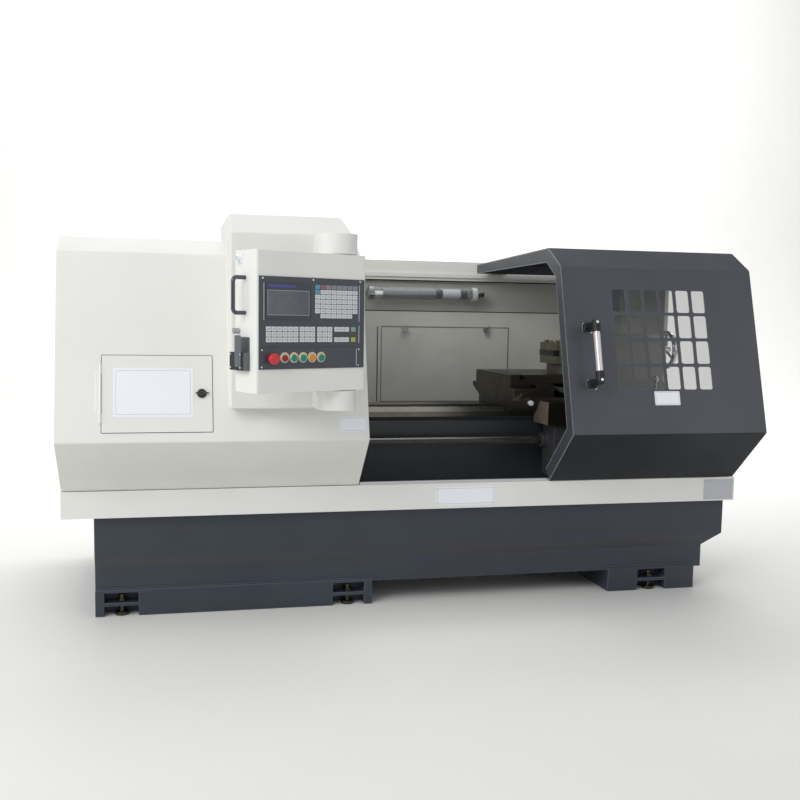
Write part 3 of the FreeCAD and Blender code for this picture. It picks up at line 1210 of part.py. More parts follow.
def make_turret():
    """Indexing tool turret: round base with its drive, square head, and two turning tools."""
    x = "sizes.turret_x"
    y = "sizes.turret_y"
    side = "sizes.turret_size"
    # the base is as high as it takes to bring the tool tips to the height of the spindle
    tool_z = "(sizes.spindle_z - sizes.tool_size)"
    head_z = f"({tool_z} - sizes.turret_plate)"
    base_height = f"({head_z} - sizes.slide_clearance - {SLIDE_TOP})"
    base = rod("turret_base_round", "z", x, y, SLIDE_TOP, "sizes.turret_base_radius", base_height)
    drive = block("turret_drive_box", f"{x} + sizes.turret_base_radius - sizes.turret_drive_sink",
                  f"{y} - sizes.turret_drive_width / 2", SLIDE_TOP, "sizes.turret_drive_length",
                  "sizes.turret_drive_width", f"{base_height} - sizes.overrun")
    spigot = rod("turret_spigot", "z", x, y, f"{head_z} - 1", "sizes.turret_spigot_radius",
                 "sizes.turret_spigot_height")
    finish("turret_base", joined("turret_base", base, drive, spigot))
    plates = [
        block(f"turret_plate_{order}", f"{x} - {side} / 2", f"{y} - {side} / 2",
              f"{head_z} + {order} * (sizes.turret_plate + sizes.tool_size)", side, side,
              "sizes.turret_plate")
        for order in range(2)
    ]
    core = "sizes.turret_core"
    middle = block("turret_middle", f"{x} - {core} / 2", f"{y} - {core} / 2", head_z, core, core,
                   "2 * sizes.turret_plate + sizes.tool_size")
    roof = f"({head_z} + 2 * sizes.turret_plate + sizes.tool_size)"
    hub = taper("turret_hub", "z", x, y, f"{roof} - sizes.turret_top_sink", "sizes.turret_hub_radius",
                "sizes.turret_hub_radius - sizes.turret_hub_height / 2",
                "sizes.turret_hub_height + sizes.turret_top_sink")
    screws = []
    across = f"({side} / 2 - sizes.clamp_screw_inset)"
    for order in range(3):
        along = f"({order - 1} * sizes.clamp_screw_pitch)"
        for sign in ("-", "+"):
            for name, place in (
                (f"turret_screw_x_{order}_{sign == '+'}", (f"{x} + {along}", f"{y} {sign} {across}")),
                (f"turret_screw_y_{order}_{sign == '+'}", (f"{x} {sign} {across}", f"{y} + {along}")),
            ):
                screws.append(rod(name, "z", *place, f"{roof} - sizes.turret_top_sink", "sizes.clamp_screw_radius",
                                  "sizes.clamp_screw_height + 1"))
    bore = rod("turret_bore", "z", x, y, f"{head_z} - sizes.overrun",
               "sizes.turret_spigot_radius + sizes.bearing_fit",
               "sizes.turret_spigot_height + 2 * sizes.overrun")
    finish("turret_head", cut("turret_head", joined("turret_solid", *plates, middle, hub, *screws), bore))
    tools = []
    reach = f"({side} / 2 + sizes.tool_overhang)"
    for order, (sign, back) in enumerate((("-", "+"), ("+", "-"))):
        outer = f"({x} {sign} {side} / 2)"
        tip = f"({y} {back} {reach})"
        start = f"({tip} - sizes.tool_length)" if order == 0 else tip
        left = outer if order == 0 else f"({outer} - sizes.tool_size)"
        shank = block(f"tool_shank_{order}", left, start, tool_z, "sizes.tool_size", "sizes.tool_length",
                      "sizes.tool_size")
        relief = prism(f"tool_relief_{order}", "z", [
            (f"{outer} {sign} 1", f"{tip} {sign} sizes.tool_relief"),
            (f"{outer} {back} sizes.tool_nose", f"{tip} {back} 1"),
            (f"{outer} {sign} 1", f"{tip} {back} 1"),
        ], f"{tool_z} - sizes.overrun", "sizes.tool_size + 2 * sizes.overrun")
        tools.append(cut(f"turning_tool_{order}", shank, relief))
    group = document.addObject("Part::Compound", "turning_tools")
    group.Links = tools
    finish("turning_tools", group)


def make_long_screw():
    """Long ball screw, its two bearings on the bed and its servo motor."""
    y = "sizes.long_screw_y"
    z = "sizes.long_screw_z"
    journal = "(sizes.long_screw_radius * sizes.journal_share)"
    start = "(sizes.left_bearing_x - sizes.journal_reach)"
    thread_x = "(sizes.left_bearing_x + sizes.bearing_length + sizes.journal_gap)"
    thread = rod("long_screw_thread", "x", thread_x, y, z, "sizes.long_screw_radius",
                 f"sizes.right_bearing_x - sizes.journal_gap - {thread_x}")
    shaft = rod("long_screw_journal", "x", start, y, z, journal,
                f"sizes.right_bearing_x + sizes.bearing_length + sizes.journal_end - {start}")
    finish("long_ball_screw", joined("long_ball_screw", thread, shaft))
    wall = "(sizes.bed_front_y + sizes.bed_wall_inset)"
    front = f"({y} - sizes.bearing_size / 2)"
    bearings = []
    for side, place in (("left", "sizes.left_bearing_x"), ("right", "sizes.right_bearing_x")):
        housing = rounded_prism(f"bearing_{side}_housing", "x", front, f"({z} - sizes.bearing_size / 2)",
                                f"({wall} - {front})", "sizes.bearing_size", "sizes.bearing_corner", place,
                                "sizes.bearing_length")
        bore = rod(f"bearing_{side}_bore", "x", f"{place} - sizes.overrun", y, z,
                   f"{journal} + sizes.bearing_fit", "sizes.bearing_length + 2 * sizes.overrun")
        bearings.append(cut(f"bearing_{side}", housing, bore))
    group = document.addObject("Part::Compound", "screw_bearings")
    group.Links = bearings
    finish("screw_bearings", group)
    servo_x = "(sizes.left_bearing_x - sizes.servo_length)"
    servo_y = f"({y} - sizes.servo_size / 2)"
    body = rounded_prism("long_servo_body", "x", servo_y, f"({z} - sizes.servo_size / 2)",
                         f"(sizes.bed_front_y - sizes.servo_gap - {servo_y})", "sizes.servo_size",
                         "sizes.bearing_corner", servo_x, "sizes.servo_length")
    room = rod("long_servo_room", "x", f"{start} - sizes.overrun", y, z, f"{journal} + sizes.bearing_fit",
               "sizes.journal_reach + 2 * sizes.overrun")
    finish("long_servo_motor", cut("long_servo_motor", body, room))


def make_tailstock():
    """Tailstock body on the inner prism and the back way, with its quill and live centre."""
    y = "sizes.spindle_y"
    z = "sizes.spindle_z"
    foot = "sizes.tail_half_width"
    neck = "sizes.tail_neck"
    low = "sizes.way_z - sizes.tail_lap"
    section = [
        (f"{y} - {foot}", low),
        (f"{y} + {foot}", low),
        (f"{y} + {foot}", "sizes.way_z + sizes.tail_foot_rise"),
        (f"{y} + {neck}", "sizes.way_z + sizes.tail_neck_rise"),
        (f"{y} + {neck}", z),
        (f"{y} - {neck}", z),
        (f"{y} - {neck}", "sizes.way_z + sizes.tail_neck_rise"),
        (f"{y} - {foot}", "sizes.way_z + sizes.tail_foot_rise"),
    ]
    frame = prism("tail_frame", "x", section, "sizes.tail_left_x", "sizes.tail_length")
    nose_x = "(sizes.tail_left_x - sizes.barrel_nose)"
    barrel_length = "(sizes.barrel_nose + sizes.tail_length + sizes.barrel_tail)"
    barrel = rod("tail_barrel", "x", nose_x, y, z, "sizes.barrel_radius", barrel_length)
    lever_x = "(sizes.tail_left_x + sizes.tail_length * sizes.lever_share)"
    lever_y = f"({y} - {foot} - sizes.lever_boss_height)"
    lever_z = "(sizes.way_z + sizes.lever_rise)"
    boss = rod("tail_lever_boss", "y", lever_x, lever_y, lever_z, "sizes.lever_boss_radius",
               "sizes.lever_boss_height + sizes.lever_boss_radius")
    bore = rod("tail_bore", "x", f"{nose_x} - sizes.overrun", y, z, "sizes.quill_radius + sizes.quill_fit",
               f"{barrel_length} + sizes.overrun - sizes.tail_back_wall")
    screw_bore = rod("tail_screw_bore", "x", "sizes.tail_left_x", y, z,
                     "sizes.quill_screw_radius + sizes.bearing_fit",
                     "sizes.tail_length + sizes.barrel_tail + sizes.overrun")
    lever_bore = rod("tail_lever_bore", "y", lever_x, f"{lever_y} - sizes.overrun", lever_z,
                     "sizes.lever_pin_radius + sizes.bearing_fit",
                     "sizes.lever_pin_length + 2 * sizes.overrun")
    finish("tailstock_body", cut("tailstock_body", joined("tail_solid", frame, barrel, boss),
                                 way_tool("tail_ways"), bore, screw_bore, lever_bore))

    quill_x = f"({nose_x} - sizes.quill_reach)"
    bar = rod("quill_bar", "x", quill_x, y, z, "sizes.quill_radius", "sizes.quill_length")
    seat = rod("quill_seat", "x", f"{quill_x} - sizes.overrun", y, z, "sizes.centre_shank + sizes.centre_fit",
               "sizes.quill_seat_depth + sizes.overrun")
    room = rod("quill_screw_room", "x", f"{quill_x} + sizes.quill_seat_depth", y, z,
               "sizes.quill_screw_radius + sizes.screw_fit", "sizes.quill_length")
    finish("tailstock_quill", cut("tailstock_quill", bar, seat, room))
    neck_radius = "(sizes.centre_radius * sizes.centre_neck_share)"
    tip_x = f"({quill_x} - sizes.centre_length)"
    cone = "(sizes.centre_length * sizes.centre_cone_share)"
    throat = "(sizes.centre_length * sizes.centre_throat_share)"
    gap = "sizes.slide_clearance"
    finish("live_centre", joined(
        "live_centre",
        taper("centre_point", "x", tip_x, y, z, "sizes.centre_tip", neck_radius, cone),
        rod("centre_neck", "x", f"{tip_x} + {cone}", y, z, neck_radius, throat),
        rod("centre_head", "x", f"{tip_x} + {cone} + {throat}", y, z, "sizes.centre_radius",
            f"sizes.centre_length - {cone} - {throat} - {gap}"),
        rod("centre_shank", "x", f"{quill_x} - 2 * {gap}", y, z, "sizes.centre_shank",
            f"sizes.quill_seat_depth - {gap}"),
    ))

    hub = rod("lever_hub", "y", lever_x, f"{lever_y} - sizes.lever_gap - sizes.lever_hub_length", lever_z,
              "sizes.lever_hub_radius", "sizes.lever_hub_length")
    arm_y = f"{lever_y} - sizes.lever_gap - sizes.lever_hub_length / 2"
    arm = rod("lever_arm", "z", lever_x, arm_y, lever_z, "sizes.lever_radius", "sizes.lever_length")
    ball = document.addObject("Part::Sphere", "lever_ball")
    ball.setExpression("Radius", "sizes.lever_ball_radius")
    locate(ball, lever_x, arm_y, f"{lever_z} + sizes.lever_length")
    pin = rod("lever_pin", "y", lever_x, f"{lever_y} - sizes.lever_gap - 1", lever_z,
              "sizes.lever_pin_radius", "sizes.lever_gap + 1 + sizes.lever_pin_length")
    finish("tailstock_lever", joined("tailstock_lever", hub, arm, ball, pin))


def make_handwheel():
    """Hand wheel of the tailstock with the screw that drives the quill: hub, spokes and rim."""
    wheel = document.addObject("PartDesign::Body", "tailstock_handwheel")
    profile = body_sketch(wheel, "wheel_hub_profile", "y")
    reach = "(sizes.wheel_offset + sizes.barrel_tail + sizes.quill_screw_reach)"
    draw_lines(profile, [
        (f"-{reach}", "0"),
        ("sizes.wheel_hub_back", "0"),
        ("sizes.wheel_hub_back", "sizes.wheel_hub_radius * sizes.wheel_hub_taper"),
        ("-sizes.wheel_hub_front", "sizes.wheel_hub_radius"),
        ("-sizes.wheel_hub_front", "sizes.quill_screw_radius"),
        (f"-{reach}", "sizes.quill_screw_radius"),
    ])
    hub = wheel.newObject("PartDesign::Revolution", "wheel_hub")
    hub.Profile = profile
    hub.ReferenceAxis = (profile, ["H_Axis"])
    hub.Angle = 360
    # the spoke starts inside the hub and ends inside the rim
    section = body_sketch(wheel, "wheel_spoke_section", "z", "sizes.wheel_hub_radius / 2")
    draw_circle(section, "sizes.wheel_spoke_radius", "sizes.wheel_rim", "0")
    spoke = pad(wheel, "wheel_spoke", section,
                "sizes.wheel_radius - sizes.wheel_rim - sizes.wheel_hub_radius / 2")
    document.recompute()
    spokes = wheel.newObject("PartDesign::PolarPattern", "wheel_spokes")
    spokes.Axis = (profile, ["H_Axis"])
    spokes.Angle = 360
    spokes.setExpression("Occurrences", "sizes.wheel_spokes")
    spokes.Originals = [spoke]
    wheel.Tip = spokes
    document.recompute()
    ring = body_sketch(wheel, "wheel_rim_section", "y")
    half = "sizes.wheel_rim"
    flat = "sizes.rim_flat"
    middle = f"(sizes.wheel_radius - {half})"
    draw_lines(ring, [
        ("0", f"{middle} - {flat}"),
        (f"{half} - {flat}", f"{middle} - {half}"),
        (f"{half} + {flat}", f"{middle} - {half}"),
        (f"2 * {half}", f"{middle} - {flat}"),
        (f"2 * {half}", f"{middle} + {flat}"),
        (f"{half} + {flat}", f"{middle} + {half}"),
        (f"{half} - {flat}", f"{middle} + {half}"),
        ("0", f"{middle} + {flat}"),
    ])
    rim = wheel.newObject("PartDesign::Revolution", "wheel_rim")
    rim.Profile = ring
    rim.ReferenceAxis = (ring, ["H_Axis"])
    rim.Angle = 360
    wheel.Tip = rim
    locate(wheel, "sizes.tail_left_x + sizes.tail_length + sizes.barrel_tail + sizes.wheel_offset",
           "sizes.spindle_y", "sizes.spindle_z")
    finish("tailstock_handwheel", wheel)


def guard_points(drop="0"):
    """Outer outline of the left guard seen from its end, its open foot drawn out by a drop."""
    run = f"((sizes.guard_toe_y - sizes.guard_belly_y) / (sizes.guard_belly_z - {GUARD_TOE_Z}))"
    return [
        (f"sizes.guard_toe_y + ({drop}) * {run}", f"{GUARD_TOE_Z} - ({drop})"),
        ("sizes.guard_belly_y", "sizes.guard_belly_z"),
        ("sizes.guard_brow_y", "sizes.guard_brow_z"),
        ("sizes.guard_roof_y", "sizes.guard_roof_z"),
        ("sizes.machine_back_y", "sizes.guard_roof_z"),
        ("sizes.machine_back_y", f"{GUARD_TOE_Z} - ({drop})"),
    ]


def on_slope(thing, belly, x, rise, outward="0"):
    """Seat a piece on a leaning front sheet; its own -Y points out of the sheet."""
    belly_y, belly_z = belly
    y = f"{belly_y} + ({rise}) * sin({LEAN}) - ({outward}) * cos({LEAN})"
    z = f"{belly_z} + ({rise}) * cos({LEAN}) + ({outward}) * sin({LEAN})"
    return turn(locate(thing, x, y, z), "x", f"-{LEAN}")


def make_guard():
    """Left guard: a sheet hood with a hatch in its front and a throat for chuck and bed."""
    length = "(sizes.guard_right_x - sizes.guard_left_x)"
    outer = prism("guard_outer", "x", guard_points(), "sizes.guard_left_x", length)
    line = offset("guard_inner_line", outline("guard_long_line", "x", guard_points("4 * sizes.overrun")),
                  "-sizes.guard_sheet")
    inner = extruded("guard_inner", line, "x", "sizes.guard_left_x + sizes.guard_sheet",
                     f"{length} - 2 * sizes.guard_sheet")
    lap = "sizes.hatch_overlap"
    hatch = block("hatch_opening", "0", "0", "0", f"sizes.hatch_width - 2 * {lap}", "4 * sizes.overrun",
                  f"sizes.hatch_height - 2 * {lap}")
    on_slope(hatch, GUARD_BELLY, f"sizes.hatch_x + {lap}", f"sizes.hatch_rise + {lap}", "sizes.overrun")
    throat = rounded_prism("guard_throat", "x", "sizes.throat_front_y", "sizes.tray_bottom_z",
                           "sizes.throat_width", "(sizes.throat_top_z - sizes.tray_bottom_z)",
                           "sizes.throat_corner", "sizes.guard_right_x - 2 * sizes.overrun",
                           "4 * sizes.overrun")
    shell = cut("guard_shell", outer, inner, hatch, throat)
    axis_y = "-(sizes.knuckle_radius + sizes.hatch_gap)"
    low = "(sizes.knuckle_inset + sizes.knuckle_length + sizes.knuckle_gap)"
    span = f"(sizes.hatch_height - 2 * {low})"
    hinge = joined(
        "guard_hinge",
        rod("hinge_knuckle", "z", HINGE_X, axis_y, low, "sizes.knuckle_radius", span),
        rod("hinge_pin", "z", HINGE_X, axis_y, "sizes.knuckle_inset", "sizes.hinge_pin_radius",
            "sizes.hatch_height - 2 * sizes.knuckle_inset"),
        block("hinge_leaf", f"{HINGE_X} - sizes.hinge_leaf", "-sizes.hinge_leaf_thickness", low,
              "sizes.hinge_leaf", "sizes.hinge_leaf_thickness + sizes.guard_sheet / 2", span),
    )
    on_slope(hinge, GUARD_BELLY, "sizes.hatch_x", "sizes.hatch_rise")
    finish("left_guard", joined("left_guard", shell, hinge))


def make_access_door():
    """Access door over the hatch of the guard, with its lip, hinge knuckles and latch."""
    skin_y = "-sizes.hatch_sheet"
    wall = "sizes.hatch_sheet"
    inset = "(sizes.hatch_overlap + sizes.hatch_play)"
    skin = block("hatch_skin", "0", skin_y, "0", "sizes.hatch_width", wall, "sizes.hatch_height")
    lip = block("hatch_lip", inset, "0", inset, f"sizes.hatch_width - 2 * {inset}", "sizes.hatch_lip",
                f"sizes.hatch_height - 2 * {inset}")
    hollow = block("hatch_hollow", f"{inset} + {wall}", "0", f"{inset} + {wall}",
                   f"sizes.hatch_width - 2 * ({inset} + {wall})", "sizes.hatch_lip + sizes.overrun",
                   f"sizes.hatch_height - 2 * ({inset} + {wall})")
    latch_x = "(sizes.hatch_width - sizes.latch_inset)"
    latch_z = "(sizes.hatch_height / 2)"
    hole = rod("hatch_latch_hole", "y", latch_x, f"{skin_y} - sizes.overrun", latch_z,
               "sizes.latch_radius + sizes.latch_fit", "4 * sizes.overrun")
    places = [
        "sizes.knuckle_inset",
        "sizes.hatch_height - sizes.knuckle_inset - sizes.knuckle_length",
    ]
    knuckles = []
    for order, place in enumerate(places):
        knuckles.append(rod(f"hatch_knuckle_{order}", "z", HINGE_X, "-sizes.knuckle_radius", place,
                            "sizes.knuckle_radius", "sizes.knuckle_length"))
        knuckles.append(block(f"hatch_tab_{order}", HINGE_X, skin_y, place, f"1 - {HINGE_X}", wall,
                              "sizes.knuckle_length"))
    pin_room = rod("hatch_pin_room", "z", HINGE_X, "-sizes.knuckle_radius", "0",
                   "sizes.hinge_pin_radius + sizes.bearing_fit", "sizes.hatch_height")
    frame = joined("hatch_frame", skin, cut("hatch_return", lip, hollow), *knuckles)
    door = cut("access_door", frame, hole, pin_room)
    on_slope(door, GUARD_BELLY, "sizes.hatch_x", "sizes.hatch_rise", "sizes.hatch_gap")
    finish("access_door", door)

    face = f"({skin_y} - sizes.hatch_gap)"
    tip = f"({face} - sizes.latch_collar_height)"
    collar = rod("latch_collar", "y", "0", tip, "0", "sizes.latch_collar_radius", "sizes.latch_collar_height")
    half = "sizes.latch_wing"
    wing = prism("latch_wing", "y", [
        (f"-{half}", "0"),
        ("0", f"-{half} * sizes.latch_wing_share"),
        (half, "0"),
        ("0", f"{half} * sizes.latch_wing_share"),
    ], f"{tip} - sizes.latch_wing_height", "sizes.latch_wing_height + sizes.latch_gap")
    lip_end = "(sizes.hatch_lip + sizes.latch_gap)"
    stem = rod("latch_stem", "y", "0", tip, "0", "sizes.latch_radius",
               f"{lip_end} + sizes.latch_tongue_thickness - {tip}")
    tongue = block("latch_tongue", "-sizes.latch_tongue / 2", lip_end, "-sizes.latch_tongue / 2",
                   "sizes.latch_tongue", "sizes.latch_tongue_thickness",
                   "sizes.latch_tongue / 2 + sizes.latch_tongue_length")
    latch = joined("access_latch", collar, wing, stem, tongue)
    on_slope(latch, GUARD_BELLY, f"sizes.hatch_x + {latch_x}", f"sizes.hatch_rise + {latch_z}",
             "sizes.hatch_gap")
    finish("access_latch", latch)


PILLAR_SLANT = "(sizes.pillar_corner_run / sizes.pillar_corner_drop)"


def make_pillar():
    """Pillar cover on the guard, the two swivel brackets and their pins."""
    section = [
        ("sizes.pillar_front_y", "sizes.pillar_bottom_z"),
        ("sizes.pillar_front_y", "sizes.pillar_brow_z"),
        ("sizes.pillar_top_y", "sizes.pillar_top_z"),
        ("sizes.pillar_back_y", "sizes.pillar_top_z"),
        ("sizes.pillar_back_y", "sizes.pillar_bottom_z"),
    ]
    shape = prism("pillar_blank", "x", section, "sizes.pillar_left_x", "sizes.pillar_width")
    mask = prism("pillar_mask", "x", guard_points(), "sizes.guard_left_x",
                 "sizes.guard_right_x - sizes.guard_left_x")
    line = offset("pillar_inner_line", outline("pillar_line", "x", section), "-sizes.guard_sheet")
    hollow = extruded("pillar_hollow", line, "x", "sizes.pillar_left_x + sizes.guard_sheet",
                      "sizes.pillar_width - 2 * sizes.guard_sheet")
    right = "(sizes.pillar_left_x + sizes.pillar_width)"
    slants = []
    for side, inset in (("outer", "0"), ("inner", "sizes.guard_sheet")):
        slants.append(prism(f"pillar_slant_{side}", "y", [
            (f"{right} - sizes.pillar_corner_run - {inset} - sizes.overrun * {PILLAR_SLANT}",
             "sizes.pillar_top_z + sizes.overrun"),
            (f"{right} + sizes.overrun", "sizes.pillar_top_z + sizes.overrun"),
            (f"{right} + sizes.overrun", "sizes.pillar_top_z - sizes.pillar_corner_drop"),
            (f"{right} - {inset}", "sizes.pillar_top_z - sizes.pillar_corner_drop"),
        ], "sizes.pillar_front_y - sizes.overrun",
            "sizes.pillar_back_y - sizes.pillar_front_y + 2 * sizes.overrun"))
    room = cut("pillar_room", hollow, slants[1])
    finish("pillar_cover", cut("pillar_cover", shape, mask, room, slants[0]))

    x = "sizes.swivel_x"
    y = "sizes.swivel_y"
    nose = "sizes.bracket_radius"
    flare = "sizes.bracket_flare"
    height = "sizes.bracket_height"
    low = f"(sizes.box_bottom_z - sizes.bracket_gap - {height})"
    high = "(sizes.box_bottom_z + sizes.box_height + sizes.bracket_gap)"
    brackets = []
    for side, bottom in (("lower", low), ("upper", high)):
        round_end = rod(f"bracket_{side}_nose", "z", x, y, bottom, nose, height)
        arm = block(f"bracket_{side}_arm", f"{x} - {nose}", y, bottom, f"2 * {nose}",
                    f"sizes.pillar_front_y - {y}", height)
        root = prism(f"bracket_{side}_root", "z", [
            (x, "sizes.pillar_front_y"),
            (f"{x} - {nose} - {flare}", "sizes.pillar_front_y"),
            (f"{x} - {nose} - {flare} * sizes.flare_first",
             f"sizes.pillar_front_y - {flare} * sizes.flare_first"),
            (f"{x} - {nose} - {flare} * sizes.flare_side",
             f"sizes.pillar_front_y - {flare} * sizes.flare_second"),
            (x, f"sizes.pillar_front_y - {flare} * sizes.flare_end"),
        ], bottom, height)
        bore = rod(f"bracket_{side}_bore", "z", x, y, f"{bottom} - sizes.overrun", "sizes.pin_radius",
                   f"{height} + 2 * sizes.overrun")
        brackets.append(cut(f"bracket_{side}", joined(f"bracket_{side}_solid", round_end, arm, root), bore))
    group = document.addObject("Part::Compound", "swivel_brackets")
    group.Links = brackets
    finish("swivel_brackets", group)
    inside = "(sizes.bracket_gap + sizes.pin_depth - sizes.pin_recess)"
    group = document.addObject("Part::Compound", "swivel_pins")
    group.Links = [
        rod("swivel_pin_lower", "z", x, y, low, "sizes.pin_radius", f"{height} + {inside}"),
        rod("swivel_pin_upper", "z", x, y, f"{high} - {inside}", "sizes.pin_radius", f"{height} + {inside}"),
    ]
    finish("swivel_pins", group)


def on_box(label, *things):
    """Finish pieces drawn square about the swivel axis, swung out with the control box."""
    group = document.addObject("Part::Compound", label)
    group.Links = list(things)
    locate(group, "sizes.swivel_x", "sizes.swivel_y", "sizes.box_bottom_z")
    return finish(label, turn(group, "z", "sizes.box_turn"))


BOX_LEFT = "(-sizes.box_left)"
BOX_FRONT = "(-sizes.box_front)"
FACIA_X = f"({BOX_LEFT} + sizes.facia_left)"
FACIA_FACE = f"({BOX_FRONT} - sizes.facia_thickness)"
BUTTON_Z = "(sizes.facia_bottom + sizes.button_z)"
STOP_X = f"({FACIA_X} + sizes.stop_u)"
BUTTON_NAMES = ["stop_button", "start_button", "hold_button", "power_button", "cycle_button"]
BUTTON_PLACES = [f"({FACIA_X} + sizes.button_start + {order} * sizes.button_pitch)" for order in range(5)]


def make_control_box():
    """Swinging control box: sheet housing with bosses for the pins, and its facia."""
    wall = "sizes.box_sheet"
    shell = rounded_prism("box_outer", "z", BOX_LEFT, BOX_FRONT, "sizes.box_width", "sizes.box_depth",
                          "sizes.box_edge", "0", "sizes.box_height")
    inner = rounded_prism("box_inner", "z", f"({BOX_LEFT} + {wall})", f"({BOX_FRONT} + {wall})",
                          f"(sizes.box_width - 2 * {wall})", f"(sizes.box_depth - 2 * {wall})",
                          f"(sizes.box_edge - {wall})", wall, f"sizes.box_height - 2 * {wall}")
    ledge = "sizes.facia_ledge"
    window = block("box_window", f"{FACIA_X} + {ledge}", f"{BOX_FRONT} - sizes.overrun",
                   f"sizes.facia_bottom + {ledge}", f"sizes.facia_width - 2 * {ledge}",
                   "3 * sizes.overrun", f"sizes.facia_height - 2 * {ledge}")
    bosses = [
        rod("box_boss_lower", "z", "0", "0", wall, "sizes.pin_boss_radius", "sizes.pin_depth"),
        rod("box_boss_upper", "z", "0", "0", f"sizes.box_height - {wall} - sizes.pin_depth",
            "sizes.pin_boss_radius", "sizes.pin_depth"),
    ]
    bore = rod("box_bore", "z", "0", "0", "-sizes.overrun", "sizes.pin_radius + sizes.pin_fit",
               "sizes.box_height + 2 * sizes.overrun")
    on_box("control_box", cut("box_bored", joined("box_solid", cut("box_shell", shell, inner, window),
                                                  *bosses), bore))

    plate = block("facia_plate", FACIA_X, FACIA_FACE, "sizes.facia_bottom", "sizes.facia_width",
                  "sizes.facia_thickness", "sizes.facia_height")
    seam = block("facia_seam", f"{FACIA_X} - 1", f"{FACIA_FACE} - 1",
                 "sizes.facia_bottom + sizes.strip_height", "sizes.facia_width + 2", "sizes.seam_depth + 1",
                 "sizes.seam_width")
    over = f"{FACIA_FACE} - sizes.overrun"
    reach = "sizes.facia_thickness + 2 * sizes.overrun"
    gap = "sizes.button_radius + sizes.button_gap"
    holes = [rod("facia_stop_hole", "y", STOP_X, over, BUTTON_Z, gap, reach)]
    for order, place in enumerate(BUTTON_PLACES):
        holes.append(rod(f"facia_hole_{order}", "y", place, over, BUTTON_Z, gap, reach))
    on_box("control_facia", cut("facia_drilled", plate, seam, *holes))


def key_grid(columns, rows):
    """Return the columns and rows of a full key field."""
    return [(column, row) for row in rows for column in range(columns)]


def make_controls():
    """Screen, keys, push buttons with bezels and the emergency stop on the facia."""
    on_box("screen_unit", rounded_prism(
        "screen_plate", "y", f"({FACIA_X} + sizes.screen_left)",
        "(sizes.facia_bottom + sizes.screen_bottom)", "sizes.screen_width", "sizes.screen_height",
        "sizes.screen_corner", f"{FACIA_FACE} - sizes.screen_rise", "sizes.screen_rise"))

    # the entry keys stand in a full grid over a short row; the short fields follow each other at one pitch
    all_rows = (0, 1, 2)
    outer_rows = (0, 2)
    entry = [(column, row) for row in range(7) for column in range(8) if row > 0 or 0 < column < 7]
    fields = [("entry", "sizes.entry_keys_u", entry), ("mode", "sizes.mode_keys_u", key_grid(6, all_rows))]
    for order, (field, columns, rows) in enumerate((
            ("axis", 3, all_rows), ("speed", 3, all_rows), ("spindle", 3, outer_rows), ("cycle", 1, outer_rows))):
        fields.append((field, f"(sizes.field_start + {order} * sizes.field_pitch)", key_grid(columns, rows)))
    keys = []
    for field, across, places in fields:
        kind = "entry" if field == "entry" else "lower"
        for column, row in places:
            keys.append(block(f"key_{field}_{column}_{row}",
                              f"{FACIA_X} + {across} + {column} * sizes.{kind}_pitch",
                              f"{FACIA_FACE} - sizes.key_rise",
                              f"sizes.facia_bottom + sizes.{kind}_keys_z + {row} * sizes.{kind}_row",
                              f"sizes.{kind}_pitch - sizes.key_gap", "sizes.key_rise",
                              f"sizes.{kind}_row - sizes.key_gap"))
    on_box("key_field", *keys)

    bezels = []
    for order, place in enumerate(BUTTON_PLACES):
        ring = rod(f"bezel_ring_{order}", "y", place, f"{FACIA_FACE} - sizes.bezel_height", BUTTON_Z,
                   "sizes.bezel_radius", "sizes.bezel_height")
        room = rod(f"bezel_room_{order}", "y", place, f"{FACIA_FACE} - sizes.bezel_height - sizes.overrun",
                   BUTTON_Z, "sizes.button_radius + sizes.button_gap",
                   "sizes.bezel_height + 2 * sizes.overrun")
        bezels.append(cut(f"bezel_{order}", ring, room))
    on_box("button_bezels", *bezels)
    for name, place in zip(BUTTON_NAMES, BUTTON_PLACES):
        on_box(name, rod(f"{name}_cap", "y", place, f"{FACIA_FACE} - sizes.button_rise", BUTTON_Z,
                         "sizes.button_radius",
                         "sizes.button_rise + sizes.facia_thickness + sizes.button_depth"))

    neck_y = f"({FACIA_FACE} - sizes.stop_travel_room - sizes.stop_neck_height)"
    head = taper("emergency_head", "y", STOP_X, f"{neck_y} - sizes.stop_head_height", BUTTON_Z,
                 "sizes.stop_radius * sizes.stop_head_share", "sizes.stop_radius", "sizes.stop_head_height")
    neck = taper("emergency_neck", "y", STOP_X, neck_y, BUTTON_Z, "sizes.stop_radius",
                 "sizes.stop_radius * sizes.stop_neck_share", "sizes.stop_neck_height")
    stem = rod("emergency_stem", "y", STOP_X, f"{neck_y} + 1", BUTTON_Z,
               "sizes.button_radius - sizes.button_gap",
               "sizes.stop_neck_height + sizes.stop_travel_room + sizes.facia_thickness + sizes.button_depth")
    on_box("emergency_stop", joined("emergency_solid", head, neck, stem))


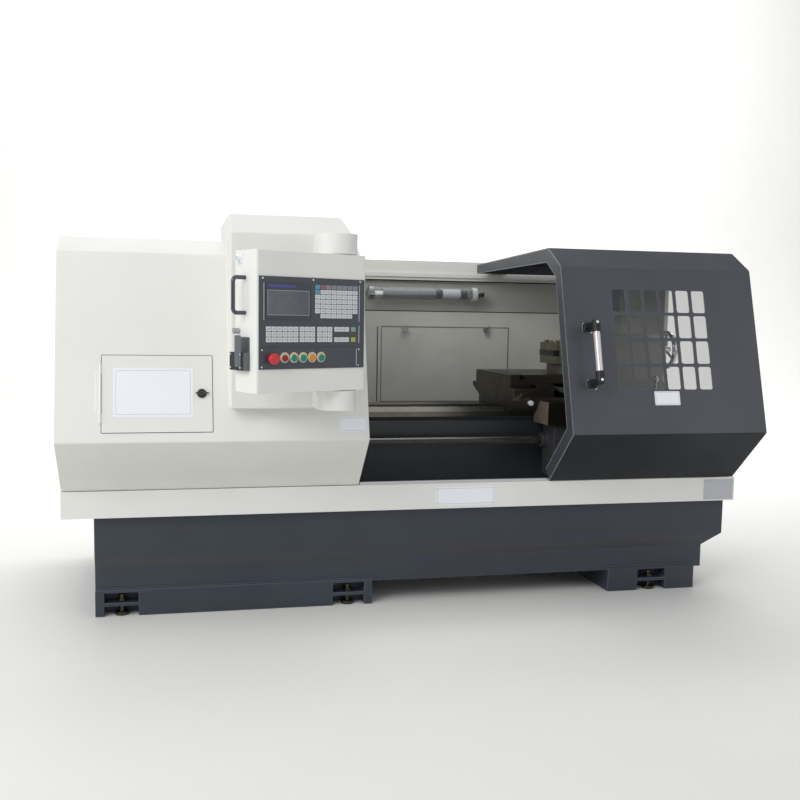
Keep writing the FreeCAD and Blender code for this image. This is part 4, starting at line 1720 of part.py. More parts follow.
def make_box_side():
    """Pieces on the left side of the control box: handle, hanger with knob, and socket."""
    outer = f"({BOX_LEFT} - sizes.handle_reach)"
    depth = "(sizes.handle_depth - sizes.box_front)"
    parts = [rod("handle_bar", "z", outer, depth, "sizes.handle_bottom", "sizes.handle_rod",
                 "sizes.handle_pitch")]
    for order in range(2):
        z = f"sizes.handle_bottom + {order} * sizes.handle_pitch"
        parts.append(rod(f"handle_arm_{order}", "x", outer, depth, z, "sizes.handle_rod",
                         "sizes.handle_reach"))
        elbow = document.addObject("Part::Sphere", f"handle_elbow_{order}")
        elbow.setExpression("Radius", "sizes.handle_rod")
        parts.append(locate(elbow, outer, depth, z))
    on_box("side_handle", joined("handle_solid", *parts))

    start = f"({BOX_FRONT} + sizes.hanger_depth)"
    wall = "sizes.hanger_wall"
    plate = block("hanger_plate", f"{BOX_LEFT} - sizes.hanger_plate", start, "sizes.hanger_bottom",
                  "sizes.hanger_plate", "sizes.hanger_plate_length", "sizes.hanger_plate_height")
    hook = block("hanger_hook", f"{BOX_LEFT} - sizes.hanger_reach", start, "sizes.hanger_bottom",
                 "sizes.hanger_reach", "sizes.hanger_length", "sizes.hanger_height")
    slot = block("hanger_slot", f"{BOX_LEFT} - sizes.hanger_reach + {wall}", f"{start} + {wall}",
                 f"sizes.hanger_bottom + {wall}", f"sizes.hanger_reach - {wall} - sizes.hanger_plate",
                 f"sizes.hanger_length - 2 * {wall}", "sizes.hanger_height")
    knob = rod("hanger_knob", "x", f"{BOX_LEFT} - sizes.knob_length", "sizes.knob_depth - sizes.box_front",
               "sizes.knob_rise", "sizes.knob_radius", "sizes.knob_length")
    on_box("side_hanger", joined("hanger_solid", cut("hanger_pocket", hook, slot), plate), knob)

    y = "(sizes.socket_depth - sizes.box_front)"
    z = "sizes.socket_rise"
    side = "sizes.socket_plate"
    plate = block("socket_plate_block", f"{BOX_LEFT} - sizes.hanger_plate", f"{y} - {side} / 2",
                  f"{z} - {side} / 2", "sizes.hanger_plate", side, side)
    ring = rod("socket_ring", "x", f"{BOX_LEFT} - sizes.socket_length", y, z, "sizes.socket_radius",
               "sizes.socket_length")
    room = rod("socket_room", "x", f"{BOX_LEFT} - sizes.socket_length - sizes.overrun", y, z,
               "sizes.socket_radius - sizes.socket_wall", "sizes.socket_length")
    on_box("side_socket", cut("socket_solid", joined("socket_blank", plate, ring), room))


def folded_sheet(name, points, thickness, start, length):
    """Sheet folded along an open line, on the inner side of the line."""
    line = outline(f"{name}_line", "x", points, closed=False)
    strip = offset(f"{name}_strip", line, thickness, filled=True)
    document.recompute()
    if strip.Shape.BoundBox.YMin < line.Shape.BoundBox.YMin - 0.1:
        strip.setExpression("Value", f"-({thickness})")
    return extruded(name, strip, "x", start, length)


def make_rear_guard():
    """Rear wall with header beam and lamp recess, and the removable panel in it."""
    start = "sizes.guard_right_x"
    length = f"(-{TRAY_LEFT} - sizes.rear_right_inset - {start})"
    front = "sizes.header_front_y"
    back = "(sizes.machine_back_y - sizes.guard_sheet)"
    wall = folded_sheet("rear_wall", [
        (back, "sizes.header_top_z"),
        (front, "sizes.header_top_z"),
        (front, "sizes.header_bottom_z"),
        (back, "sizes.header_bottom_z"),
        (back, "sizes.recess_bottom_z"),
        (front, "sizes.recess_bottom_z"),
        (front, GUARD_TOE_Z),
    ], "sizes.guard_sheet", start, length)
    lap = "sizes.panel_overlap"
    opening = block("rear_opening", f"sizes.panel_left_x + {lap}", f"{front} - sizes.overrun",
                    f"sizes.panel_bottom_z + {lap}", f"sizes.panel_width - 2 * {lap}",
                    "3 * sizes.overrun", f"sizes.panel_height - 2 * {lap}")
    finish("rear_guard", cut("rear_guard", wall, opening))
    face = f"({front} - sizes.panel_sheet)"
    parts = [block("rear_panel_sheet", "sizes.panel_left_x", face, "sizes.panel_bottom_z",
                   "sizes.panel_width", "sizes.panel_sheet", "sizes.panel_height")]
    z = "(sizes.panel_bottom_z + sizes.panel_height - sizes.knob_drop)"
    for order in range(2):
        x = f"(sizes.panel_left_x + sizes.knob_inset + {order} * sizes.knob_pitch)"
        parts.append(rod(f"panel_knob_{order}", "y", x, f"{face} - sizes.panel_knob_length", z,
                         "sizes.panel_knob_radius", "sizes.panel_knob_length + 1"))
        parts.append(rod(f"panel_knob_head_{order}", "y", x,
                         f"{face} - sizes.panel_knob_length - sizes.panel_knob_head_length", z,
                         "sizes.panel_knob_head", "sizes.panel_knob_head_length + 1"))
    finish("rear_panel", joined("rear_panel", *parts))


def make_lamp():
    """Tubular work lamp in the recess of the rear wall, with its collars and conduit."""
    x = "sizes.lamp_left_x"
    y = "sizes.lamp_y"
    z = "sizes.lamp_z"
    back = "(sizes.machine_back_y - sizes.guard_sheet)"
    tube = rod("lamp_glass", "x", x, y, z, "sizes.lamp_radius", "sizes.lamp_length")
    room = rod("lamp_room", "x", f"{x} + sizes.lamp_cap", y, z, "sizes.lamp_radius - sizes.lamp_wall",
               "sizes.lamp_length - 2 * sizes.lamp_cap")
    finish("lamp_tube", cut("lamp_tube", tube, room))
    holders = []
    for order in range(2):
        place = f"({x} + {order} * (sizes.lamp_length - sizes.collar_width))"
        ring = rod(f"collar_ring_{order}", "x", place, y, z, "sizes.lamp_radius + sizes.collar_wall",
                   "sizes.collar_width")
        strap = block(f"collar_strap_{order}", place, y, f"{z} - sizes.strap_height / 2",
                      "sizes.collar_width", f"{back} - {y}", "sizes.strap_height")
        bore = rod(f"collar_bore_{order}", "x", f"{place} - sizes.overrun", y, z, "sizes.lamp_radius",
                   "sizes.collar_width + 2 * sizes.overrun")
        holders.append(cut(f"collar_{order}", joined(f"collar_solid_{order}", ring, strap), bore))
    gland_x = f"({x} + sizes.lamp_length)"
    gland = rod("lamp_gland", "x", gland_x, y, z, "sizes.gland_radius", "sizes.gland_length")
    conduit = rod("lamp_conduit", "y", f"{gland_x} + sizes.gland_length - sizes.conduit_inset", y, z,
                  "sizes.conduit_radius", f"{back} - {y}")
    holders.append(joined("lamp_lead", gland, conduit))
    group = document.addObject("Part::Compound", "lamp_holders")
    group.Links = holders
    finish("lamp_holders", group)


GRID_WIDTH = "(sizes.slot_pitch_x * (sizes.slot_columns - 1) + sizes.slot_hole_width)"
GRID_HEIGHT = "(sizes.slot_pitch_z * (sizes.slot_rows - 1) + sizes.slot_hole_height)"
FIELD_WIDTH = f"({GRID_WIDTH} + 2 * sizes.grid_margin)"
FIELD_HEIGHT = f"({GRID_HEIGHT} + 2 * sizes.grid_margin)"
FIELD_X = "(sizes.door_left_x + sizes.grid_left - sizes.grid_margin)"
FIELD_RISE = "(sizes.grid_rise - sizes.grid_margin)"
DOOR_TOE_Z = f"({TRAY_TOP} + 2 * sizes.seat_gap)"


def make_door():
    """Sliding front door: folded sheet with a return flange and a two-way grid of slots."""
    points = [
        ("sizes.door_back_y", "sizes.door_back_z - sizes.door_drop"),
        ("sizes.door_back_y", "sizes.door_back_z"),
        ("sizes.door_roof_y", "sizes.door_roof_z"),
        (DOOR_BROW_Y, "sizes.door_brow_z"),
        (DOOR_BELLY_Y, "sizes.door_belly_z"),
        ("sizes.door_toe_y", DOOR_TOE_Z),
    ]
    skin = folded_sheet("door_skin", points, "sizes.guard_sheet", "sizes.door_left_x", "sizes.door_width")
    flange = folded_sheet("door_flange_plate", points, "sizes.door_flange", "sizes.door_left_x",
                          "sizes.guard_sheet")
    field = block("door_field", "0", "0", "0", FIELD_WIDTH, "3 * sizes.overrun", FIELD_HEIGHT)
    on_slope(field, DOOR_BELLY, FIELD_X, FIELD_RISE, "sizes.overrun")

    grid = document.addObject("PartDesign::Body", "door_grid")
    frame = draw_lines(body_sketch(grid, "grid_frame", "y"), [
        ("0", "0"), (FIELD_WIDTH, "0"), (FIELD_WIDTH, FIELD_HEIGHT), ("0", FIELD_HEIGHT),
    ])
    plate = pad(grid, "grid_plate", frame, "sizes.guard_sheet")
    plate.Reversed = True
    slot = body_sketch(grid, "grid_slot", "y")
    draw_rounded(slot, "sizes.grid_margin", "sizes.grid_margin", "sizes.slot_hole_width",
                 "sizes.slot_hole_height", "sizes.slot_hole_radius")
    hole = pocket_through(grid, "grid_hole", slot)
    document.recompute()
    both = grid.newObject("PartDesign::MultiTransform", "grid_holes")
    columns = linear_pattern(grid, "grid_columns", slot, "H_Axis", "sizes.slot_pitch_x", "sizes.slot_columns")
    rows = linear_pattern(grid, "grid_rows", slot, "V_Axis", "sizes.slot_pitch_z", "sizes.slot_rows")
    both.Originals = [hole]
    both.Transformations = [columns, rows]
    grid.Tip = both
    on_slope(grid, DOOR_BELLY, FIELD_X, FIELD_RISE)
    open_skin = cut("door_open", joined("door_folded", skin, flange), field)
    finish("sliding_door", joined("sliding_door", open_skin, grid))

    margin = "sizes.pane_margin"
    pane = rounded_prism("pane_plate", "y", f"(-{margin})", f"(-{margin})", f"({FIELD_WIDTH} + 2 * {margin})",
                         f"({FIELD_HEIGHT} + 2 * {margin})", "sizes.pane_corner", "sizes.guard_sheet",
                         "sizes.pane_thickness")
    group = document.addObject("Part::Compound", "window_pane")
    group.Links = [pane]
    finish("window_pane", on_slope(group, DOOR_BELLY, FIELD_X, FIELD_RISE))


def make_door_handle():
    """Round bar handle of the door in two cast mounts."""
    half = "(sizes.mount_width / 2)"
    stand = "sizes.grip_standoff"
    foot_half = f"({half} * sizes.mount_foot_share)"
    bore_length = "sizes.mount_sleeve - sizes.mount_wall"
    mounts = []
    for order in range(2):
        rise = f"({order} * sizes.grip_length)"
        low = rise if order == 0 else f"({rise} - sizes.mount_sleeve)"
        foot = rounded_prism(f"mount_foot_{order}", "y", f"(-{half})", f"({rise} - {foot_half})",
                             "sizes.mount_width", f"(2 * {foot_half})", "sizes.mount_corner",
                             "-sizes.mount_foot", "sizes.mount_foot")
        post = rod(f"mount_post_{order}", "y", "0", f"-{stand}", rise, f"{half} * sizes.mount_post_share",
                   stand)
        sleeve = rod(f"mount_sleeve_{order}", "z", "0", f"-{stand}", low, half, "sizes.mount_sleeve")
        crown = document.addObject("Part::Sphere", f"mount_crown_{order}")
        crown.setExpression("Radius", half)
        locate(crown, "0", f"-{stand}", rise)
        bore_z = f"{rise} + sizes.mount_wall" if order == 0 else f"{rise} - sizes.mount_sleeve"
        bore = rod(f"mount_bore_{order}", "z", "0", f"-{stand}", bore_z, "sizes.grip_radius", bore_length)
        mounts.append(cut(f"mount_{order}", joined(f"mount_solid_{order}", foot, post, sleeve, crown), bore))
    place = ("sizes.door_left_x + sizes.grip_x", "sizes.grip_rise")
    group = document.addObject("Part::Compound", "handle_mounts")
    group.Links = mounts
    finish("handle_mounts", on_slope(group, DOOR_BELLY, *place))
    grip = rod("grip_bar", "z", "0", f"-{stand}", "sizes.mount_wall", "sizes.grip_radius",
               "sizes.grip_length - 2 * sizes.mount_wall")
    group = document.addObject("Part::Compound", "handle_grip")
    group.Links = [grip]
    finish("handle_grip", on_slope(group, DOOR_BELLY, *place))


def make_door_guides():
    """Rails on the header and on the tray rim, and the plain glides that run on them."""
    bar = "sizes.rail_bar_width"
    start = "(sizes.guard_right_x + sizes.rail_inset)"
    length = f"(-{TRAY_LEFT} - sizes.rail_right_inset - {start})"
    lower_y = "(sizes.tray_front_y + sizes.rail_setback)"
    group = document.addObject("Part::Compound", "door_rails")
    group.Links = [
        block("rail_upper", start, f"sizes.header_front_y - {bar}",
              "sizes.rail_top_z - sizes.rail_bar_height", length, bar, "sizes.rail_bar_height"),
        block("rail_lower", start, lower_y, TRAY_TOP, length, bar, bar),
    ]
    finish("door_rails", group)
    low_z = f"({TRAY_TOP} + {bar} + sizes.glide_gap)"
    high_z = f"({low_z} + sizes.glide_lower_height)"
    slope = f"(({DOOR_BELLY_Y} - sizes.door_toe_y) / (sizes.door_belly_z - {DOOR_TOE_Z}))"
    inside = f"(sizes.door_toe_y + sizes.guard_sheet * sqrt(1 + {slope}^2))"
    glides = []
    places = [
        "(sizes.door_left_x + sizes.glide_inset)",
        "(sizes.door_left_x + sizes.door_width - sizes.glide_inset - sizes.glide_length)",
    ]
    for order, place in enumerate(places):
        glides.append(block(f"glide_upper_{order}", place, "sizes.door_back_y",
                            "sizes.rail_top_z + sizes.glide_gap", "sizes.glide_length",
                            "sizes.header_front_y - sizes.door_back_y - sizes.glide_back_gap",
                            "sizes.glide_height"))
        glides.append(prism(f"glide_lower_{order}", "x", [
            (f"{inside} + ({low_z} - {DOOR_TOE_Z}) * {slope}", low_z),
            (f"{lower_y} + {bar}", low_z),
            (f"{lower_y} + {bar}", high_z),
            (f"{inside} + ({high_z} - {DOOR_TOE_Z}) * {slope}", high_z),
        ], place, "sizes.glide_length"))
    group = document.addObject("Part::Compound", "door_glides")
    group.Links = glides
    finish("door_glides", group)


def check_and_export():
    """Stop on any failed object, then write one file for each finished piece."""
    document.recompute()
    for item in document.Objects:
        if "Invalid" in item.State or "Error" in item.State:
            raise RuntimeError(f"{item.Label} failed: {item.State}")
    for piece in FINISHED:
        if piece.Shape.isNull() or not piece.Shape.isValid():
            raise RuntimeError(f"{piece.Label} has no valid shape")
    os.makedirs("parts", exist_ok=True)
    for piece in FINISHED:
        piece.Shape.exportStep(f"parts/{piece.Label}.step")
        box = piece.Shape.BoundBox
        print(f"{piece.Label:20s} solids {len(piece.Shape.Solids):3d} litres {piece.Shape.Volume / 1e6:9.3f} "
              f"x {box.XMin:8.1f} {box.XMax:8.1f} y {box.YMin:7.1f} {box.YMax:7.1f} "
              f"z {box.ZMin:7.1f} {box.ZMax:7.1f}")
    print(len(FINISHED), "pieces")


make_base()
make_tray()
make_bed()
make_headstock()
make_spindle_line()
make_saddle()
make_cross_slide()
make_turret()
make_long_screw()
make_tailstock()
make_handwheel()
make_guard()
make_access_door()
make_pillar()
make_control_box()
make_controls()
make_box_side()
make_rear_guard()
make_lamp()
make_door()
make_door_handle()
make_door_guides()
check_and_export()
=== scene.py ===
"""Looks of the turning lathe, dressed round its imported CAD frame.

All lengths are metres unless a name or a comment says mm.
"""

import json
import logging
import math
from dataclasses import dataclass
from enum import Enum
from itertools import product
from typing import Callable, Sequence

import bmesh
import bpy
from mathutils import Matrix, Vector

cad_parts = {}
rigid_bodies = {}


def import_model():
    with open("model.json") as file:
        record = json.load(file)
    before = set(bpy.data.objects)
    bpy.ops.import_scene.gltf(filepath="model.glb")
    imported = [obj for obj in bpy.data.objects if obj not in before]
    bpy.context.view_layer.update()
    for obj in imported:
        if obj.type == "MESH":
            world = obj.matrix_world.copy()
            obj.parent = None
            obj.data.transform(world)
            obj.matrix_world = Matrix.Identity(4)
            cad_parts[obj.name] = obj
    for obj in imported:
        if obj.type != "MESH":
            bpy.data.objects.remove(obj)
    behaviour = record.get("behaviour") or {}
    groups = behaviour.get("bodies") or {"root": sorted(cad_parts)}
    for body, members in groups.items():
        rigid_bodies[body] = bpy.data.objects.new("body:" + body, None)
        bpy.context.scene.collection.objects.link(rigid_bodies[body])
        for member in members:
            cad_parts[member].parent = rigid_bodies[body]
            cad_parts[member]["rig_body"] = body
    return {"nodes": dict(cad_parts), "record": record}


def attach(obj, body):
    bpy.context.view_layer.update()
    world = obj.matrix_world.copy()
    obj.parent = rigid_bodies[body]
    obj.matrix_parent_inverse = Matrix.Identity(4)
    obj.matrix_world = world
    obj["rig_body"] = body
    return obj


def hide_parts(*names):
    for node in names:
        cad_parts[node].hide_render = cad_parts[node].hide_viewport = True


log = logging.getLogger("lathe")
MM = 0.001
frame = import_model()
NODES = frame["nodes"]
SLOT_OF = {part["node"]: part["material_slot"] for part in frame["record"]["subparts"]}
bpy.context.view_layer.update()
Test = Callable[[Vector, Vector], bool]
Row = tuple[float, ...]


# ---------------------------------------------------------------- finishes


class Surface(Enum):
    """How a surface was made, which decides its pattern."""

    POWDER = "powder coat, a soft orange peel"
    CASTING = "enamel brushed over a sand casting"
    GROUND = "ground in long fine lines"
    TURNED = "turned on a lathe, rings round one axis"
    MOULDED = "moulded against a spark-eroded tool"
    FILM = "printed polyester film"
    CLEAR = "clear sheet"
    GLOWING = "lit from inside"
    PUNCHED = "sheet punched with rows of round holes"


def linear(code: str) -> tuple[float, float, float, float]:
    """Turns an sRGB hex colour into linear light.

    Args:
        code: six hex digits.

    Returns:
        Red, green, blue and an alpha of 1.
    """
    parts = [int(code[i : i + 2], 16) / 255 for i in (0, 2, 4)]
    return tuple(c / 12.92 if c <= 0.04045 else ((c + 0.055) / 1.055) ** 2.4 for c in parts) + (1.0,)


def add_node(tree: bpy.types.NodeTree, kind: str, settings: dict | None = None,
             **links: bpy.types.NodeSocket) -> bpy.types.Node:
    """Adds one shader node with its settings and links.

    Args:
        tree: the material's node tree.
        kind: Blender's name of the node.
        settings: values by socket name, or by property name where no socket has it.
        links: output sockets by input name, with _ for a space, or inN for input number N.

    Returns:
        The new node.
    """
    node = tree.nodes.new(kind)
    for name, value in (settings or {}).items():
        if not hasattr(node, name) and name in node.inputs:
            node.inputs[name].default_value = value
        else:
            setattr(node, name, value)
    for name, source in links.items():
        place = int(name[2:]) if name[:2] == "in" and name[2:].isdigit() else name.replace("_", " ")
        tree.links.new(source, node.inputs[place])
    return node


@dataclass(frozen=True)
class Finish:
    """One real finish and the sizes of what the eye sees in it.

    Args:
        name: common name of the material and of how its surface was made.
        colour: main colour, sRGB hex.
        second: colour of the clouds and dull patches, sRGB hex.
        surface: how it was made.
        rough: middle roughness.
        spread: how far the roughness wanders.
        metallic: 1 for bare metal.
        grain: size of the fine pattern in mm.
        relief: depth of the fine pattern in mm.
        cloud: size of the large clouds in mm.
        contrast: how far the clouds reach, from 0 to 1.
        axis: direction of grinding lines or of the turning axis, 0 to 2.
        alpha: 1 is opaque.
        glow: strength of its own light.
        painted_light: lowest and highest z of a band of painted light, darker or lighter than the paint, and
            its colour, sRGB hex.
        oil: x where a painted darkening along X starts, x where it is full, and its colour, sRGB hex.
        rim: how much denser clear sheet looks where it is seen edge on.
        gloss: the specular level, 0.5 for plain paint.
    """

    name: str
    colour: str
    second: str
    surface: Surface = Surface.POWDER
    rough: float = 0.45
    spread: float = 0.1
    metallic: float = 0.0
    grain: float = 3.0
    relief: float = 0.03
    cloud: float = 260.0
    contrast: float = 0.5
    axis: int = 0
    alpha: float = 1.0
    glow: float = 0.0
    painted_light: tuple[float, float, str] | None = None
    oil: tuple[float, float, str] | None = None
    rim: float = 0.0
    gloss: float = 0.5

    def material(self) -> bpy.types.Material:
        """Makes this finish as a procedural material, once.

        Returns:
            The material, or the one of this name that is there already.
        """
        known = bpy.data.materials.get(self.name)
        if known:
            return known
        made = bpy.data.materials.new(self.name)
        made.use_nodes = True
        tree = made.node_tree
        tree.nodes.clear()
        place = add_node(tree, "ShaderNodeTexCoord").outputs["Object"]
        slow = {"Scale": 1000 / self.cloud, "Detail": 5.0, "Roughness": 0.6}
        cloud = add_node(tree, "ShaderNodeTexNoise", slow, Vector=place).outputs[0]
        fine = self._pattern(tree, place)
        # The second colour comes in with the clouds, or inside punched holes.
        holes = self.surface is Surface.PUNCHED
        reach = {"From Min": 0.34, "From Max": 0.3} if holes else {"From Min": 0.3, "From Max": 0.75}
        share = add_node(tree, "ShaderNodeMapRange", {**reach, "To Max": self.contrast},
                         Value=fine if holes else cloud).outputs[0]
        mix = add_node(tree, "ShaderNodeMix", {"data_type": "RGBA"}, in0=share)
        mix.inputs[6].default_value = linear(self.colour)
        mix.inputs[7].default_value = linear(self.second)
        colour = mix.outputs[2]
        # A band of heights takes painted light: shade on the cream sheets, the floor's reflection on the
        # slate base.
        if self.painted_light:
            colour = self._lay_painted_light(tree, place, cloud, colour)
        if self.oil:
            colour = self._darken_along_x(tree, place, colour)
        span = {"To Min": self.rough - self.spread, "To Max": self.rough + self.spread}
        rough = add_node(tree, "ShaderNodeMapRange", span, Value=cloud).outputs[0]
        plain = {"Metallic": self.metallic, "Alpha": self.alpha, "Specular IOR Level": self.gloss}
        shader = add_node(tree, "ShaderNodeBsdfPrincipled", plain, Base_Color=colour, Roughness=rough)
        if self.relief:
            depth = {"Strength": 0.6, "Distance": self.relief * MM}
            bump = add_node(tree, "ShaderNodeBump", depth, Height=fine)
            tree.links.new(bump.outputs[0], shader.inputs["Normal"])
        if self.surface is Surface.GLOWING:
            shader.inputs["Emission Color"].default_value = linear(self.colour)
            shader.inputs["Emission Strength"].default_value = self.glow
        if self.surface is Surface.CLEAR:
            made.surface_render_method = "BLENDED"
        if self.rim:
            edge = add_node(tree, "ShaderNodeLayerWeight", {"Blend": 0.35}).outputs["Facing"]
            span = {"To Min": self.alpha, "To Max": self.alpha + self.rim}
            alpha = add_node(tree, "ShaderNodeMapRange", span, Value=edge).outputs[0]
            tree.links.new(alpha, shader.inputs["Alpha"])
        add_node(tree, "ShaderNodeOutputMaterial", None, Surface=shader.outputs[0])
        return made

    def _pattern(self, tree: bpy.types.NodeTree, place: bpy.types.NodeSocket) -> bpy.types.NodeSocket:
        """Adds the fine pattern.

        Args:
            tree: the material's node tree.
            place: object coordinates.

        Returns:
            The height of the pattern.
        """
        scale = 1000 / self.grain
        if self.surface is Surface.GROUND:
            # Grinding lines are 40 times as long as they are wide.
            stretch = [scale] * 3
            stretch[self.axis] = scale / 40
            place = add_node(tree, "ShaderNodeMapping", {"Scale": stretch}, Vector=place).outputs[0]
            scale = 1.0
        if self.surface is Surface.TURNED:
            keep = [0.0] * 3
            keep[self.axis] = scale
            place = add_node(tree, "ShaderNodeMapping", {"Scale": keep}, Vector=place).outputs[0]
            scale = 1.0
        if self.surface is Surface.PUNCHED:
            rows = {"Scale": scale, "Randomness": 0.0}
            return add_node(tree, "ShaderNodeTexVoronoi", rows, Vector=place).outputs["Distance"]
        if self.surface is Surface.CASTING:
            pits = {"feature": "SMOOTH_F1", "Scale": scale, "Smoothness": 1.0}
            return add_node(tree, "ShaderNodeTexVoronoi", pits, Vector=place).outputs["Distance"]
        return add_node(tree, "ShaderNodeTexNoise", {"Scale": scale, "Detail": 3.0}, Vector=place).outputs[0]

    def _lay_painted_light(self, tree: bpy.types.NodeTree, place: bpy.types.NodeSocket, cloud: bpy.types.NodeSocket,
               colour: bpy.types.NodeSocket) -> bpy.types.NodeSocket:
        """Lays painted light in a band of heights: shade on the cream sheets, the floor's reflection on the
        base.

        Args:
            tree: the material's node tree.
            place: object coordinates.
            cloud: the slow noise, which breaks the band up.
            colour: the colour without the painted light.

        Returns:
            The colour with the painted light on it.
        """
        low, high, code = self.painted_light
        height = add_node(tree, "ShaderNodeSeparateXYZ", None, Vector=place).outputs["Z"]
        ease = {"interpolation_type": "SMOOTHSTEP", "From Min": low, "From Max": high}
        ramp = add_node(tree, "ShaderNodeMapRange", ease, Value=height).outputs[0]
        hump = add_node(tree, "ShaderNodeMath", {"operation": "PINGPONG"}, in0=ramp)
        hump.inputs[1].default_value = 0.5
        patch = add_node(tree, "ShaderNodeMath", {"operation": "MULTIPLY"}, in0=hump.outputs[0], in1=cloud)
        mix = add_node(tree, "ShaderNodeMix", {"data_type": "RGBA"}, in0=patch.outputs[0], in6=colour)
        mix.inputs[7].default_value = linear(code)
        return mix.outputs[2]

    def _darken_along_x(self, tree: bpy.types.NodeTree, place: bpy.types.NodeSocket,
               colour: bpy.types.NodeSocket) -> bpy.types.NodeSocket:
        """Darkens the colour along X: a painted reflection of dark parts that the surface mirrors.

        Args:
            tree: the material's node tree.
            place: object coordinates.
            colour: the colour before the darkening.

        Returns:
            The darkened colour.
        """
        start, full, code = self.oil
        along = add_node(tree, "ShaderNodeSeparateXYZ", None, Vector=place).outputs["X"]
        ease = {"interpolation_type": "SMOOTHSTEP", "From Min": start, "From Max": full}
        # film holds how far the painted reflection has darkened the colour.
        film = add_node(tree, "ShaderNodeMapRange", ease, Value=along).outputs[0]
        mix = add_node(tree, "ShaderNodeMix", {"data_type": "RGBA"}, in0=film, in6=colour)
        mix.inputs[7].default_value = linear(code)
        return mix.outputs[2]


# Orange peel, grinding lines, turned rings and moulding grit are finer than their grain here on the real
# machine. They are drawn as coarse as they need to show.

# Sprayed and baked: a soft orange peel, half dull. A darker band low on the cream sheets is painted shade,
# where the guard's lower slope faces the floor.
CREAM = Finish("cream_powder_coat_on_sheet_steel", "E5E5E0", "DCDCD6", grain=2.6, relief=0.02, rough=0.5,
               painted_light=(0.40, 0.74, "CDCDC8"))
# Hands and tools rub the folds lighter and shinier.
WORN_CREAM = Finish("cream_powder_coat_rubbed_at_an_edge", "F1F1ED", "DADAD4", grain=2.6, rough=0.34)
# Coolant leaves the inner sheets duller, in wide yellowish clouds.
INNER = Finish("cream_powder_coat_dulled_by_coolant", "E4E4DC", "D2D1C7", cloud=180, contrast=0.8,
               rough=0.4)
# A thin film of dust lifts the dark coat and softens its highlights.
CHARCOAL = Finish("charcoal_powder_coat_with_a_dust_film", "44474D", "3B3E44", grain=2.2, relief=0.03,
                  rough=0.4)
# Faces turned down take a much darker copy of the coat: painted shade.
DOWNWARD_SHADE_CHARCOAL = Finish("charcoal_powder_coat_painted_darker_as_shade_below", "25282C", "1F2226", grain=2.2, relief=0.03,
                        rough=0.5, gloss=0.2)
# Seen at a low angle the dust kills the mirror of the coat.
ROOF_CHARCOAL = Finish("charcoal_powder_coat_matt_with_dust", "41444A", "393C42", grain=2.2, relief=0.03,
                       rough=0.6, gloss=0.1)
# Rubbed edges show as thin grey lines; on the door's folds their pale colour is also a painted highlight.
RUBBED_AND_HIGHLIT_CHARCOAL = Finish("charcoal_powder_coat_rubbed_and_painted_highlit_at_an_edge", "80848A", "5F636A", grain=2.2, rough=0.3)
# Brushed on thickly: pits and pooled gloss. The brown band above the feet is a painted reflection of the
# floor on the base's downward slope.
SLATE = Finish("slate_enamel_on_a_welded_base", "333A45", "2B313A", Surface.CASTING, grain=9, relief=0.06,
               rough=0.42, cloud=340, contrast=0.8, painted_light=(0.165, 0.262, "54473A"))
# Chipped and rubbed edges are lighter and smoother.
WORN_SLATE = Finish("slate_enamel_rubbed_at_an_edge", "4A525E", "39414C", grain=4, rough=0.35)
# The bed's sides: pitted and dark, with a dull gloss.
SHADE = Finish("dark_enamel_on_cast_iron", "2A2E33", "23262B", Surface.CASTING, grain=7, relief=0.08,
               rough=0.4, contrast=0.8)
# Pitted and oily, a shade lighter than the bed.
DARK_IRON = Finish("dark_grey_enamel_on_cast_iron", "45464A", "393A3D", Surface.CASTING, grain=6,
                   relief=0.06, rough=0.42, contrast=0.8)
# Old red-grey enamel, mottled by oil.
RED_IRON = Finish("oily_red_grey_enamel_on_cast_iron", "75685F", "5F554D", Surface.CASTING, grain=6,
                  relief=0.05, rough=0.4, contrast=0.9, cloud=80)
# Yellowed light enamel over pits.
IRON = Finish("pale_enamel_on_cast_iron", "A9A697", "8E8B7C", Surface.CASTING, grain=7, relief=0.08,
              rough=0.45)
# Long fine lines along the bed. Towards the tailstock they darken: a painted reflection of the dark saddle
# that the ways mirror.
WAYS = Finish("hardened_iron_ground_along_the_bed", "7A766D", "625E56", Surface.GROUND, metallic=1.0,
              rough=0.42, grain=2.0, relief=0.02, cloud=120, contrast=0.8, oil=(0.10, 0.32, "35342F"))
# Oil fills the pits and darkens them to olive.
OILY_IRON = Finish("cast_iron_under_an_olive_oil_film", "45433A", "3A3830", Surface.CASTING, grain=5,
                   relief=0.05, rough=0.4, cloud=90)
# Ground lines that oil has turned yellowish.
TOOL_POST = Finish("ground_steel_with_an_oil_film", "8B876F", "716D58", Surface.GROUND, metallic=1.0,
                   rough=0.36, grain=1.6, cloud=60, contrast=0.8)
# Bright, with long fine lines.
STEEL = Finish("ground_steel", "A6A6A6", "8D8D8E", Surface.GROUND, metallic=1.0, rough=0.28, grain=1.6,
               cloud=60)
# Bright rings round the axis, which stretch the highlights.
TURNED = Finish("turned_steel", "AFAFAE", "969696", Surface.TURNED, metallic=1.0, rough=0.26, grain=1.2,
                cloud=60)
# Dark oil with a sharp, narrow highlight.
THREAD = Finish("oiled_crest_of_the_ball_screw", "6E6E69", "5C5C57", Surface.TURNED, metallic=0.5,
                rough=0.12, spread=0.03)
# Bright metal on the crest faces turned up and forward: a painted highlight.
PAINTED_HIGHLIGHT_CREST = Finish("ball_screw_crest_with_a_painted_highlight", "DCDCD8", "B4B4B0", Surface.TURNED, metallic=1.0,
                      rough=0.3)
# Old oil darkens the root; its near-black is also painted shade, for the dark parts round the screw that it
# mirrors.
SHADED_ROOT = Finish("oiled_and_shaded_root_of_the_ball_screw", "262623", "1E1E1B", Surface.TURNED, metallic=1.0, rough=0.3)
